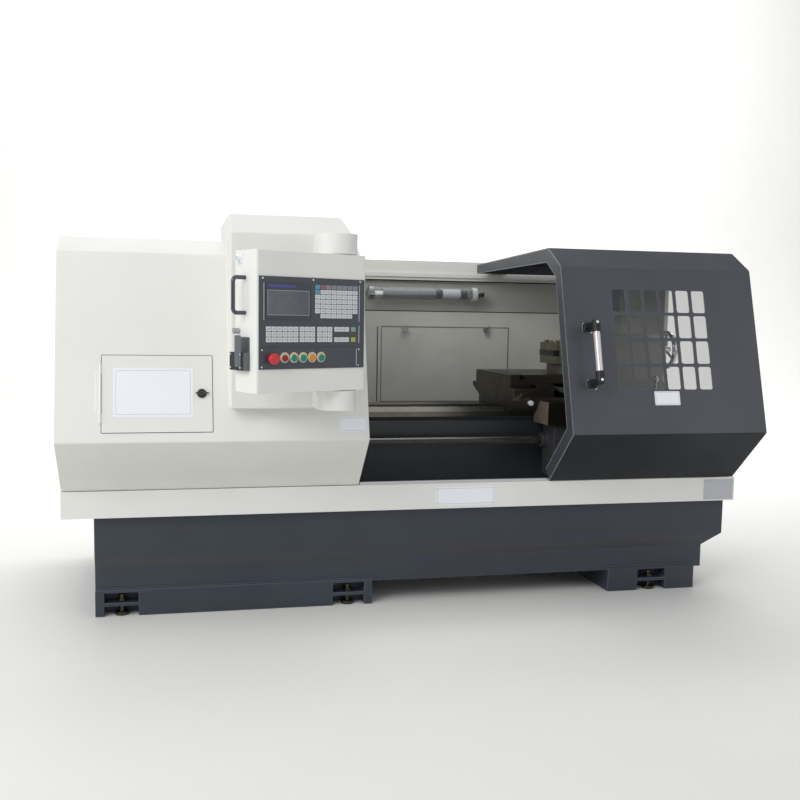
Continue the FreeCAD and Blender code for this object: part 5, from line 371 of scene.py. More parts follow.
# Brown oil over ground lines across the bed.
OILY = Finish("oiled_iron_of_the_slide", "575247", "474238", Surface.GROUND, metallic=1.0, rough=0.36,
              axis=1, grain=2.0, cloud=70, contrast=0.8)
# Blue-black, with a soft metal sheen.
BLUED = Finish("blued_tool_steel", "3A3B40", "2C2D31", Surface.GROUND, metallic=1.0, rough=0.35, axis=1,
               cloud=30)
# Pale grey, slightly cloudy, with small bright glints.
ZINC = Finish("bright_zinc_plate", "B9BABB", "A2A4A6", metallic=1.0, rough=0.3, grain=1.0, relief=0.01,
              cloud=20)
# Flat mid grey with little sheen.
STEEL_GREY = Finish("grey_phosphated_steel", "6C7075", "5E6267", metallic=0.6, rough=0.38, grain=1.4,
                    cloud=40)
# Smooth dark bar with one long highlight.
GREY_STEEL = Finish("dark_grey_lacquered_bar", "5C5E68", "50525C", rough=0.2, metallic=0.8, grain=1.2,
                    relief=0.01, cloud=25)
# Smooth brown-black with a soft highlight.
LATCH = Finish("black_lacquered_latch", "3A3733", "2E2B28", rough=0.3, grain=1.2, relief=0.01, cloud=25)
# A mirror with hardly any pattern.
CHROME = Finish("chrome_plate", "D6D7D8", "C6C8CA", metallic=1.0, rough=0.12, spread=0.04, grain=4,
                relief=0.0)
# White sheen with lines along the tube.
ALU = Finish("anodised_aluminium_tube", "E2DDDC", "D2CCCB", Surface.GROUND, metallic=0.55, rough=0.35,
             axis=2)
# Blue-grey and pitted.
MOTOR = Finish("dark_motor_enamel", "2F3640", "272D36", Surface.CASTING, grain=5, rough=0.45)
# Almost black, fine and dull.
SERVO = Finish("black_servo_enamel", "1B1C1E", "151617", Surface.POWDER, grain=1.5, rough=0.5)
# Fine spark grain, dull black.
BLACK = Finish("black_moulded_nylon", "191A1C", "121315", Surface.MOULDED, grain=1.0, relief=0.04,
               rough=0.5)
# Grey and matt, without highlights.
GREY_SEAL = Finish("grey_rubber_seal_dulled_by_coolant", "6A6A64", "5C5C56", Surface.MOULDED, grain=1.4,
                   rough=0.6)
# Matt black with a coarse grain.
RUBBER = Finish("moulded_belt_rubber", "1A1A1A", "222222", Surface.MOULDED, grain=1.4, relief=0.06,
                rough=0.7)
# Waxy yellowish white.
NYLON = Finish("natural_nylon", "C9C4B4", "BCB6A5", Surface.MOULDED, grain=1.2, rough=0.5)
# Flat and even, a weak sheen over all of it.
FACIA = Finish("anthracite_panel_film", "44484E", "3B3F45", Surface.FILM, grain=0.9, relief=0.01,
               rough=0.38)
# Pale and flat. Nothing is printed but a bare field on each key.
KEYS = Finish("light_grey_key_film", "D2D3D6", "C4C6CA", Surface.FILM, grain=0.9, relief=0.01, rough=0.42,
              cloud=30)
# Grey speckle where the keys' signs are left out.
KEY_PRINT = Finish("print_on_a_key", "A3A5AC", "B4B6BB", Surface.FILM, rough=0.45, grain=2.4, cloud=5,
                   contrast=1.0)
# Even printed colours without gloss.
KEY_LABEL = Finish("printed_band_above_the_keys", "85858A", "77777C", Surface.FILM, rough=0.42)
KEY_PINK = Finish("red_print_in_the_band", "8F6068", "80565E", Surface.FILM, rough=0.42)
KEY_GREEN = Finish("green_key_film", "7FA38C", "719580", Surface.FILM, rough=0.42)
KEY_YELLOW = Finish("yellow_green_key_film", "A9AE4B", "9A9F40", Surface.FILM, rough=0.42)
KEY_BLUE = Finish("blue_key_film", "5C93A8", "4F8498", Surface.FILM, rough=0.42)
# Dark with a fine grain.
BEZEL = Finish("dark_moulded_screen_bezel", "3F4249", "373A41", Surface.MOULDED, grain=0.8, rough=0.4)
# Switched off, under a smooth glass. Its lifted grey and pale clouds are painted reflections.
DISPLAY = Finish("display_behind_glass", "4C5058", "5A6068", Surface.FILM, rough=0.12, spread=0.04,
                 relief=0.0, cloud=38, contrast=1.0)
# Even blue, a little glossy.
STRIP_BLUE = Finish("blue_strip_above_the_display", "3B3E86", "4A4C96", Surface.FILM, rough=0.2, relief=0.0)
# Moulded caps: full colour with one clear highlight.
RED = Finish("red_moulded_button", "CC333B", "BC2B33", Surface.MOULDED, rough=0.28, grain=1.5, relief=0.01)
DEEP_RED = Finish("deep_red_moulded_button", "8E1A26", "7F1521", Surface.MOULDED, rough=0.28, relief=0.01)
GREEN = Finish("green_moulded_button", "17856A", "12765D", Surface.MOULDED, rough=0.28, relief=0.01)
ORANGE = Finish("orange_moulded_button", "E08A2E", "D37D24", Surface.MOULDED, rough=0.28, relief=0.01)
# Flat pale print without words.
LEGEND = Finish("pale_yellow_legend_ring", "D9C79B", "CDBA8C", Surface.FILM, rough=0.4)
# Bare plates: white or metal, flat, with a thin border.
PLATE = Finish("bare_white_plate", "EEF1F5", "E5E9EF", Surface.FILM, rough=0.35, grain=3, relief=0.005)
PLATE_LINE = Finish("grey_border_on_a_plate", "A9B2BC", "9AA4AF", Surface.FILM, rough=0.4)
SILVER_PLATE = Finish("bare_aluminium_plate", "BFC0C4", "AEB0B5", Surface.GROUND, rough=0.4, metallic=0.6,
                      grain=1.0)
# Darker, blotched cream: painted shade in the recess under the header.
RECESS_SHADE = Finish("cream_powder_coat_painted_darker_as_shade_under_the_header", "BCBCB5", "A8A8A1", cloud=220, contrast=0.7,
                rough=0.45)
# Pale grey strips along the door's left flange: painted highlights of its folded edges.
FLANGE_HIGHLIGHT = Finish("pale_strip_painted_as_flange_highlight", "91949C", "7D8089", Surface.MOULDED, rough=0.3, grain=1.2, relief=0.01)
# Satin rings.
NICKEL = Finish("satin_nickel_plate", "9EA0A2", "8B8D90", Surface.TURNED, metallic=1.0, rough=0.25,
                grain=1.0, cloud=30)
# Smooth white, waxy.
WHITE_NYLON = Finish("white_moulded_nylon", "D9DBDB", "CCCECE", Surface.MOULDED, rough=0.4, grain=1.0)
# Clear seen square on and pale along its rims.
GLASS = Finish("lamp_glass_tube", "B4B8BA", "AAAEB1", Surface.CLEAR, rough=0.08, spread=0.03, relief=0.0,
               alpha=0.1, rim=0.65)
# Slightly smoky, in wide soft clouds.
PANE = Finish("clear_polycarbonate_sheet", "3E4347", "363B3F", Surface.CLEAR, rough=0.1, spread=0.04,
              relief=0.0, alpha=0.3, cloud=420)
# Even white light.
TUBE = Finish("lamp_tube_lit_white", "F4F4F0", "F4F4F0", Surface.GLOWING, rough=0.4, glow=0.35, relief=0.0)
# Rows of small dark holes.
PERFORATED = Finish("perforated_aluminium_reflector", "A9ABAD", "4A4C4F", Surface.PUNCHED, rough=0.4,
                    metallic=0.4, grain=7, relief=0.3, contrast=1.0)
# Pale and nearly even, with wide soft clouds.
FLOOR = Finish("pale_sealed_concrete", "E9E8E5", "E3E2DF", rough=0.6, grain=12, relief=0.05, cloud=900)


# ---------------------------------------------------------------- modelling tools


def deselect() -> None:
    """Leaves object mode with nothing selected."""
    if bpy.context.object and bpy.context.object.mode != "OBJECT":
        bpy.ops.object.mode_set(mode="OBJECT")
    bpy.ops.object.select_all(action="DESELECT")


def hold(piece: bpy.types.Object) -> bpy.types.Object:
    """Makes one piece the only selected and the active one.

    Args:
        piece: the piece.

    Returns:
        The piece.
    """
    deselect()
    piece.select_set(True)
    bpy.context.view_layer.objects.active = piece
    return piece


def pick(piece: bpy.types.Object, test: Test | None = None, kind: str = "FACE") -> int:
    """Opens a piece in edit mode and selects faces or edges by their place and direction.

    Args:
        piece: the piece.
        test: takes a middle point and a normal, or an edge's direction. None selects all.
        kind: FACE or EDGE.

    Returns:
        How many were selected.
    """
    if piece.mode != "EDIT":
        hold(piece)
        bpy.ops.object.mode_set(mode="EDIT")
    bpy.ops.mesh.select_mode(type=kind)
    bpy.ops.mesh.select_all(action="DESELECT")
    mesh = bmesh.from_edit_mesh(piece.data)
    chosen = 0
    for item in mesh.faces if kind == "FACE" else mesh.edges:
        if kind == "FACE":
            point, way = item.calc_center_median(), item.normal
        else:
            first, last = (v.co for v in item.verts)
            point, way = (first + last) / 2, (last - first).normalized()
        if test is None or test(point, way):
            item.select_set(True)
            chosen += 1
    mesh.select_flush_mode()
    bmesh.update_edit_mesh(piece.data)
    return chosen


def modify(piece: bpy.types.Object, kind: str, **settings: object) -> bpy.types.Object:
    """Adds a modifier, applies it and returns the piece.

    Args:
        piece: the piece.
        kind: Blender's name of the modifier.
        settings: its properties.

    Returns:
        The piece.
    """
    hold(piece)
    modifier = piece.modifiers.new(kind.lower(), kind)
    for name, value in settings.items():
        setattr(modifier, name, value)
    bpy.ops.object.modifier_apply(modifier=modifier.name)
    return piece


def round_edges(piece: bpy.types.Object, width: float, segments: int = 2, wear_and_highlight: int = -1) -> bpy.types.Object:
    """Rounds every edge sharper than 35 degrees and returns the piece.

    Args:
        piece: the piece.
        width: width of the rounding in mm.
        segments: steps across it.
        wear_and_highlight: material slot that the rounded edges take, or -1.

    Returns:
        The piece.
    """
    return modify(piece, "BEVEL", width=width * MM, segments=segments, limit_method="ANGLE",
                  angle_limit=math.radians(35), use_clamp_overlap=False, material=wear_and_highlight,
                  miter_outer="MITER_ARC")


def cube(name: str, low: Sequence[float], high: Sequence[float]) -> bpy.types.Object:
    """Adds a block between two corners, as a start for shaping.

    Args:
        name: the piece's name.
        low: lowest corner.
        high: highest corner.

    Returns:
        The block.
    """
    deselect()
    a, b = Vector(low), Vector(high)
    bpy.ops.mesh.primitive_cube_add(size=1, location=(a + b) / 2, scale=b - a)
    bpy.ops.object.transform_apply(location=True, rotation=True, scale=True)
    bpy.context.object.name = name
    return bpy.context.object


def rod(name: str, start: Sequence[float], end: Sequence[float], radius: float, sides: int = 32,
        inner: float = 0.0) -> bpy.types.Object:
    """Adds a round bar or tube between two points, as a start for shaping.

    Args:
        name: the piece's name.
        start: middle of one end.
        end: middle of the other end.
        radius: its radius.
        sides: sides of its circle.
        inner: radius of the hole, 0 for a solid bar.

    Returns:
        The bar.
    """
    deselect()
    a, b = Vector(start), Vector(end)
    turn = (b - a).to_track_quat("Z", "Y").to_euler()
    bpy.ops.mesh.primitive_cylinder_add(vertices=sides, radius=radius, depth=(b - a).length,
                                        location=(a + b) / 2, rotation=turn)
    piece = bpy.context.object
    bpy.ops.object.transform_apply(location=True, rotation=True, scale=True)
    piece.name = name
    if inner:
        way = (b - a).normalized()
        pick(piece, lambda point, normal: abs(normal.dot(way)) > 0.9)
        bpy.ops.mesh.inset(thickness=radius - inner)
        bpy.ops.mesh.bridge_edge_loops()
        bpy.ops.object.mode_set(mode="OBJECT")
    return piece


def moved(piece: bpy.types.Object, matrix: Matrix) -> bpy.types.Object:
    """Moves a piece's mesh, so that its object stays at the origin.

    Args:
        piece: the piece.
        matrix: the move.

    Returns:
        The piece.
    """
    piece.data.transform(matrix)
    piece.data.update()
    return piece


def copies(piece: bpy.types.Object, matrices: Sequence[Matrix], name: str) -> bpy.types.Object:
    """Copies one modelled piece to many places and joins the copies.

    Args:
        piece: the piece, modelled once at the origin. It is used up.
        matrices: the places.
        name: name of the joined piece.

    Returns:
        The joined piece.
    """
    made = []
    for matrix in matrices:
        copy = piece.copy()
        copy.data = piece.data.copy()
        bpy.context.scene.collection.objects.link(copy)
        made.append(moved(copy, matrix))
    bpy.data.objects.remove(piece)
    return join(made, name)


def join(pieces: Sequence[bpy.types.Object], name: str) -> bpy.types.Object:
    """Joins pieces into one.

    Args:
        pieces: what to join.
        name: the new name.

    Returns:
        The joined piece.
    """
    deselect()
    for piece in pieces:
        piece.select_set(True)
    bpy.context.view_layer.objects.active = pieces[0]
    if len(pieces) > 1:
        bpy.ops.object.join()
    pieces[0].name = name
    return pieces[0]


def place_piece(piece: bpy.types.Object, finish: Finish | None, body: str, slot: str, *stands_for: str,
                angle: float = 35.0) -> bpy.types.Object:
    """Closes off a piece: outward faces, smooth shading, finish and body.

    Args:
        piece: the modelled piece.
        finish: its finish, or None where it has its finishes already.
        body: the CAD body that it rides on.
        slot: the record's material slot; not used.
        stands_for: CAD nodes that it replaces.
        angle: degrees below which edges are shaded smooth.

    Returns:
        The piece.
    """
    hold(piece)
    bpy.ops.object.transform_apply(location=True, rotation=True, scale=True)
    if not stands_for:
        pick(piece)
        bpy.ops.mesh.normals_make_consistent(inside=False)
        bpy.ops.object.mode_set(mode="OBJECT")
    bpy.ops.object.shade_smooth_by_angle(angle=math.radians(angle))
    modify(piece, "WEIGHTED_NORMAL", keep_sharp=True, mode="FACE_AREA", weight=50)
    if finish:
        piece.data.materials.clear()
        piece.data.materials.append(finish.material())
    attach(piece, body)
    if stands_for:
        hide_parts(*stands_for)
    log.info("%s rides on %s, %d faces", piece.name, body, len(piece.data.polygons))
    return piece


def paint(piece: bpy.types.Object, finish: Finish, test: Test) -> None:
    """Gives the faces that pass a test another finish.

    Args:
        piece: the piece, in object mode.
        finish: the finish.
        test: takes a face's middle and normal.
    """
    piece.data.materials.append(finish.material())
    index = len(piece.data.materials) - 1
    for face in piece.data.polygons:
        if test(face.center, face.normal):
            face.material_index = index


def soften(node: str, finish: Finish, width: float = 0.8, wear_and_highlight: Finish | None = None, fold: float = 0.0,
           segments: int = 2, zones: Sequence[tuple[Finish, Test]] = ()) -> bpy.types.Object:
    """Copies a CAD node, rounds its edges as the maker's tools leave them, and stands for it.

    Args:
        node: the CAD node.
        finish: its main finish.
        width: rounding of its edges in mm.
        wear_and_highlight: finish of the rounded edges, where hands and chips rub them, and on the door a
            painted highlight along its folds.
        fold: radius of the bends along X in folded sheet, in mm.
        segments: steps across a rounded edge.
        zones: finishes of some faces, each with its test.

    Returns:
        The rounded copy.
    """
    source = NODES[node]
    body, slot = source["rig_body"], SLOT_OF[node]
    piece = bpy.data.objects.new(f"{node}_finished", source.data.copy())
    bpy.context.scene.collection.objects.link(piece)
    pick(piece)
    bpy.ops.mesh.remove_doubles(threshold=0.00002)
    bpy.ops.mesh.dissolve_limited(angle_limit=math.radians(0.5), delimit={"NORMAL"})
    bpy.ops.object.mode_set(mode="OBJECT")
    if fold:
        round_folds(piece, fold)
    piece.data.materials.clear()
    piece.data.materials.append(finish.material())
    for face in piece.data.polygons:
        face.material_index = 0
    for zone, test in zones:
        paint(piece, zone, test)
    if wear_and_highlight:
        piece.data.materials.append(wear_and_highlight.material())
    if width:
        round_edges(piece, width, segments, len(piece.data.materials) - 1 if wear_and_highlight else -1)
    return place_piece(piece, None, body, slot, node, angle=30)


def round_folds(piece: bpy.types.Object, radius: float) -> None:
    """Rounds the long bends of folded sheet, which run along X.

    Args:
        piece: the sheet.
        radius: bend radius in mm.
    """
    hold(piece)
    bpy.ops.object.mode_set(mode="EDIT")
    bpy.ops.mesh.select_mode(type="EDGE")
    bpy.ops.mesh.select_all(action="DESELECT")
    mesh = bmesh.from_edit_mesh(piece.data)
    for edge in mesh.edges:
        run = edge.verts[1].co - edge.verts[0].co
        if len(edge.link_faces) == 2 and abs(run.x) > 0.3 and abs(run.x) > 0.999 * run.length:
            bend = math.degrees(edge.calc_face_angle(0))
            edge.select_set(8 < bend < 80)
    bmesh.update_edit_mesh(piece.data)
    bpy.ops.mesh.bevel(offset=radius * MM, segments=4, affect="EDGES", clamp_overlap=False)
    bpy.ops.object.mode_set(mode="OBJECT")


def dress(nodes: Sequence[str], finish: Finish) -> None:
    """Gives CAD nodes whose shape stays a finish.

    Args:
        nodes: their names.
        finish: the finish.
    """
    for node in nodes:
        piece = NODES[node]
        piece.data.materials.clear()
        piece.data.materials.append(finish.material())


def socket_screw(radius: float, height: float) -> bpy.types.Object:
    """Models one socket head screw at the origin, its head upwards along Z.

    Args:
        radius: radius of the head.
        height: height of the head.

    Returns:
        The screw head.
    """
    piece = rod("socket_screw", (0, 0, 0), (0, 0, height), radius, 20)
    pick(piece, lambda point, normal: normal.z > 0.9)
    bpy.ops.mesh.bevel(offset=radius * 0.12, segments=2, affect="EDGES")
    pick(piece, lambda point, normal: normal.z > 0.9 and point.z > height * 0.98)
    bpy.ops.mesh.inset(thickness=radius * 0.42)
    bpy.ops.mesh.extrude_region_move(TRANSFORM_OT_translate={"value": (0, 0, -height * 0.5)})
    bpy.ops.object.mode_set(mode="OBJECT")
    return piece


def pan_screw(radius: float, height: float) -> bpy.types.Object:
    """Models one domed cross-head screw at the origin, upwards along Z.

    Args:
        radius: radius of the head.
        height: height of the head.

    Returns:
        The screw head.
    """
    piece = rod("pan_screw", (0, 0, 0), (0, 0, height), radius, 16)
    pick(piece, lambda point, normal: normal.z > 0.9)
    bpy.ops.mesh.bevel(offset=min(radius, height) * 0.6, segments=3, affect="EDGES")
    bpy.ops.object.mode_set(mode="OBJECT")
    return piece


def facing(point: Sequence[float], way: Sequence[float]) -> Matrix:
    """Returns the place at a point with local Z along a direction."""
    return Matrix.Translation(Vector(point)) @ Vector(way).to_track_quat("Z", "Y").to_matrix().to_4x4()


@dataclass(frozen=True)
class Slope:
    """The leaning front of a guard, from its foremost fold upwards.

    Args:
        y: the fold's y.
        z: the fold's z.
        run: how far the slope goes back over its height.
        height: its height.
    """

    y: float
    z: float
    run: float = 0.189
    height: float = 0.687

    def at(self, x: float, rise: float, out: float = 0.0) -> Vector:
        """Finds a point on the slope or over it.

        Args:
            x: along the machine.
            rise: distance up the slope from the fold.
            out: distance out from it.

        Returns:
            The point.
        """
        length = math.hypot(self.run, self.height)
        back, up = self.run / length, self.height / length
        return Vector((x, self.y + rise * back - out * up, self.z + rise * up + out * back))

    def matrix(self, x: float, rise: float, out: float = 0.0) -> Matrix:
        """Finds the place whose X runs along the machine, Y up the slope and Z outwards.

        Args:
            x: along the machine.
            rise: distance up the slope from the fold.
            out: distance out from it.

        Returns:
            The place.
        """
        angle = math.atan2(self.height, self.run)
        return Matrix.Translation(self.at(x, rise, out)) @ Matrix.Rotation(angle, 4, "X")


GUARD_SLOPE = Slope(-0.479, 0.713)
DOOR_SLOPE = Slope(-0.517, 0.725)
SWIVEL = (-0.426, -0.635)
SHEET_SCREW = (0.007, 0.0035)
PANEL_SCREW = (0.0036, 0.002)


def slab(name: str, low: Sequence[float], high: Sequence[float], corner: float) -> bpy.types.Object:
    """Models a flat block whose upright corners are rounded.

    Args:
        name: the piece's name.
        low: lowest corner.
        high: highest corner.
        corner: radius of the upright corners.

    Returns:
        The block.
    """
    piece = cube(name, low, high)
    pick(piece, lambda point, way: abs(way.z) > 0.9, "EDGE")
    bpy.ops.mesh.bevel(offset=corner, segments=4, affect="EDGES")
    bpy.ops.object.mode_set(mode="OBJECT")
    return piece


def band(name: str, low: Sequence[float], high: Sequence[float], corner: float,
         line: float) -> bpy.types.Object:
    """Models a flat rectangular frame, such as a seal or a printed line.

    Args:
        name: the piece's name.
        low: lowest outer corner.
        high: highest outer corner.
        corner: radius of its outer corners.
        line: width of its sides.

    Returns:
        The frame.
    """
    piece = slab(name, low, high, corner)
    pick(piece, lambda point, normal: abs(normal.z) > 0.9)
    bpy.ops.mesh.inset(thickness=line)
    bpy.ops.mesh.bridge_edge_loops()
    bpy.ops.object.mode_set(mode="OBJECT")
    return piece


def plate(name: str, width: float, height: float, thick: float, corner: float, matrix: Matrix, finish: Finish,
          body: str, slot: str, border: float = 0.0) -> bpy.types.Object:
    """Models a thin bare plate with rounded corners, its lower left corner at the place's origin.

    Args:
        name: the piece's name.
        width: along the place's X.
        height: along its Y.
        thick: along its Z.
        corner: radius of its corners.
        matrix: the place.
        finish: its finish.
        body: the body it rides on.
        slot: the record's material slot.
        border: distance of a printed border line from the edge, 0 for none.

    Returns:
        The plate.
    """
    piece = slab(name, (0, 0, 0), (width, height, thick), corner)
    pick(piece, lambda point, normal: normal.z > 0.9)
    bpy.ops.mesh.bevel(offset=thick * 0.3, segments=1, affect="EDGES")
    bpy.ops.object.mode_set(mode="OBJECT")
    piece.data.materials.append(finish.material())
    if border:
        low, high = (border, border, thick * 0.5), (width - border, height - border, thick + 0.00005)
        line = band("line", low, high, corner, 0.0012)
        line.data.materials.append(PLATE_LINE.material())
        piece = join([piece, line], name)
    return place_piece(moved(piece, matrix), None, body, slot)


# ---------------------------------------------------------------- sub-assemblies


@dataclass
class Stand:
    """Base, feet and chip tray.

    Args:
        tray_front: y of the tray's front face.
        brand_plate: left edge, lower edge, width and height of the bare plate in the middle.
        type_plate: the same for the small plate at the right.
    """

    tray_front: float = -0.275
    brand_plate: tuple[float, float, float, float] = (0.053, 0.412, 0.252, 0.076)
    type_plate: tuple[float, float, float, float] = (1.262, 0.405, 0.140, 0.089)

    def build(self) -> None:
        """Dresses base, tray and feet and adds the bare plates and their rivets."""
        soften("base_casting", SLATE, 3.0, WORN_SLATE)
        soften("chip_tray", CREAM, 1.6, WORN_CREAM)
        soften("levelling_feet", OILY, 0.8)
        front = Matrix.Rotation(math.radians(90), 4, "X")
        rivets = []
        for name, box, finish in (("brand_plate_bare", self.brand_plate, PLATE),
                                  ("type_plate_bare", self.type_plate, SILVER_PLATE)):
            left, low, width, height = box
            place = Matrix.Translation((left, self.tray_front, low)) @ front
            plate(name, width, height, 0.0012, 0.004, place, finish, "frame", "cream_paint", 0.006)
            rivets += [facing((left + x, self.tray_front - 0.001, low + z), (0, -1, 0))
                       for x in (0.007, width - 0.007) for z in (0.007, height - 0.007)]
        place_piece(copies(pan_screw(0.0026, 0.0016), rivets, "plate_rivets"), ZINC, "frame", "bright_zinc")


@dataclass
class Guard:
    """Left guard with its access door, the pillar and the swivel brackets.

    Args:
        hatch_plate: left edge, rise, width and height of the bare plate on the access door.
        label: the same for the small bare plate near the guard's right edge.
        hatch_out: outer face of the access door from the guard's slope.
        latch: x and rise of the access door's latch.
        seam: left edge, rise, width and height of the gap round the access door.
        swivel: x and y of the brackets' swivel axis.
        nose: x where the brackets' round noses begin.
        roof: z of the guard's roof.
        end: x of the end sheet's outside.
        back: y of the back sheet's outside.
        roof_screws: x and y of the rows of screws on the roof.
        end_screws: y and z of those on the end sheet.
        back_screws: x and z of those on the back sheet.
    """

    hatch_plate: tuple[float, float, float, float] = (-1.205, 0.093, 0.283, 0.181)
    label: tuple[float, float, float, float] = (-0.386, 0.032, 0.112, 0.057)
    hatch_out: float = 0.0023
    latch: tuple[float, float] = (-0.8895, 0.1806)
    seam: tuple[float, float, float, float] = (-1.2472, 0.0348, 0.3965, 0.2885)
    swivel: tuple[float, float] = SWIVEL
    nose: float = -0.495
    roof: float = 1.4622
    end: float = -1.4072
    back: float = 0.8602
    roof_screws: tuple[Row, Row] = ((-1.36, -1.0, -0.86), (0.80, 0.45, 0.10))
    end_screws: tuple[Row, Row] = ((-0.16, 0.34, 0.82), (0.54, 1.42))
    back_screws: tuple[Row, Row] = ((-1.37, -0.84, -0.31), (0.54, 0.98, 1.42))

    def build(self) -> None:
        """Dresses the sheets and adds the latch's wing, the hatch's seam, bare plates and screws."""
        soften("left_guard", CREAM, 0.8, WORN_CREAM, fold=5)
        soften("access_door", CREAM, 0.6, WORN_CREAM)
        soften("access_latch", LATCH, 0.8)
        self.latch_wing()
        soften("pillar_cover", CREAM, 5.0, None, segments=3)
        self.brackets()
        left, rise, width, height = self.seam
        seam = band("hatch_seam", (0, 0, 0), (width, height, 0.0006), 0.003, 0.0022)
        place_piece(moved(seam, GUARD_SLOPE.matrix(left, rise)), RUBBER, "frame", "belt_rubber")
        dress(["swivel_pins"], STEEL)
        left, rise, width, height = self.hatch_plate
        plate("access_door_plate_bare", width, height, 0.0008, 0.006,
              GUARD_SLOPE.matrix(left, rise, self.hatch_out), PLATE, "hatch", "cream_paint", 0.009)
        left, rise, width, height = self.label
        plate("guard_plate_bare", width, height, 0.0008, 0.003, GUARD_SLOPE.matrix(left, rise), PLATE,
              "frame", "cream_paint", 0.004)
        self.fastenings()

    def latch_wing(self) -> None:
        """Models the tapering wing by which the latch is turned."""
        wing = cube("latch_wing", (-0.024, -0.0045, 0.004), (0.024, 0.0045, 0.017))
        pick(wing, lambda point, normal: abs(normal.x) > 0.9)
        bpy.ops.transform.resize(value=(1.0, 0.5, 0.5), center_override=(0, 0, 0.006))
        bpy.ops.object.mode_set(mode="OBJECT")
        round_edges(wing, 1.6, 3)
        place_piece(moved(wing, GUARD_SLOPE.matrix(*self.latch)), LATCH, "hatch_latch", "bright_zinc")

    def brackets(self) -> None:
        """Dresses the swivel brackets: round noses, cut flush beside the pillar."""
        x, y = self.swivel
        piece = soften("swivel_brackets", CREAM, 0.0)
        pick(piece)
        bpy.ops.mesh.bisect(plane_co=(self.nose, 0, 0), plane_no=(1, 0, 0), use_fill=True, clear_inner=True)
        pick(piece, lambda point, way: abs(way.z) > 0.95 and math.hypot(point.x - x, point.y - y) > 0.0705
             and -0.60 < point.y < -0.5185, "EDGE")
        bpy.ops.mesh.bevel(offset=0.014, segments=5, affect="EDGES", clamp_overlap=True)
        bpy.ops.object.mode_set(mode="OBJECT")
        round_edges(piece, 2.0, 3)
        bpy.ops.object.shade_smooth_by_angle(angle=math.radians(30))

    def fastenings(self) -> None:
        """Adds the seam screws of the roof, the end sheet and the back sheet."""
        places = [facing((x, y, self.roof), (0, 0, 1)) for x, y in product(*self.roof_screws)]
        places += [facing((self.end, y, z), (-1, 0, 0)) for y, z in product(*self.end_screws)]
        places += [facing((x, self.back, z), (0, 1, 0)) for x, z in product(*self.back_screws)]
        place_piece(copies(pan_screw(*SHEET_SCREW), places, "guard_screws"), ZINC, "frame", "bright_zinc")


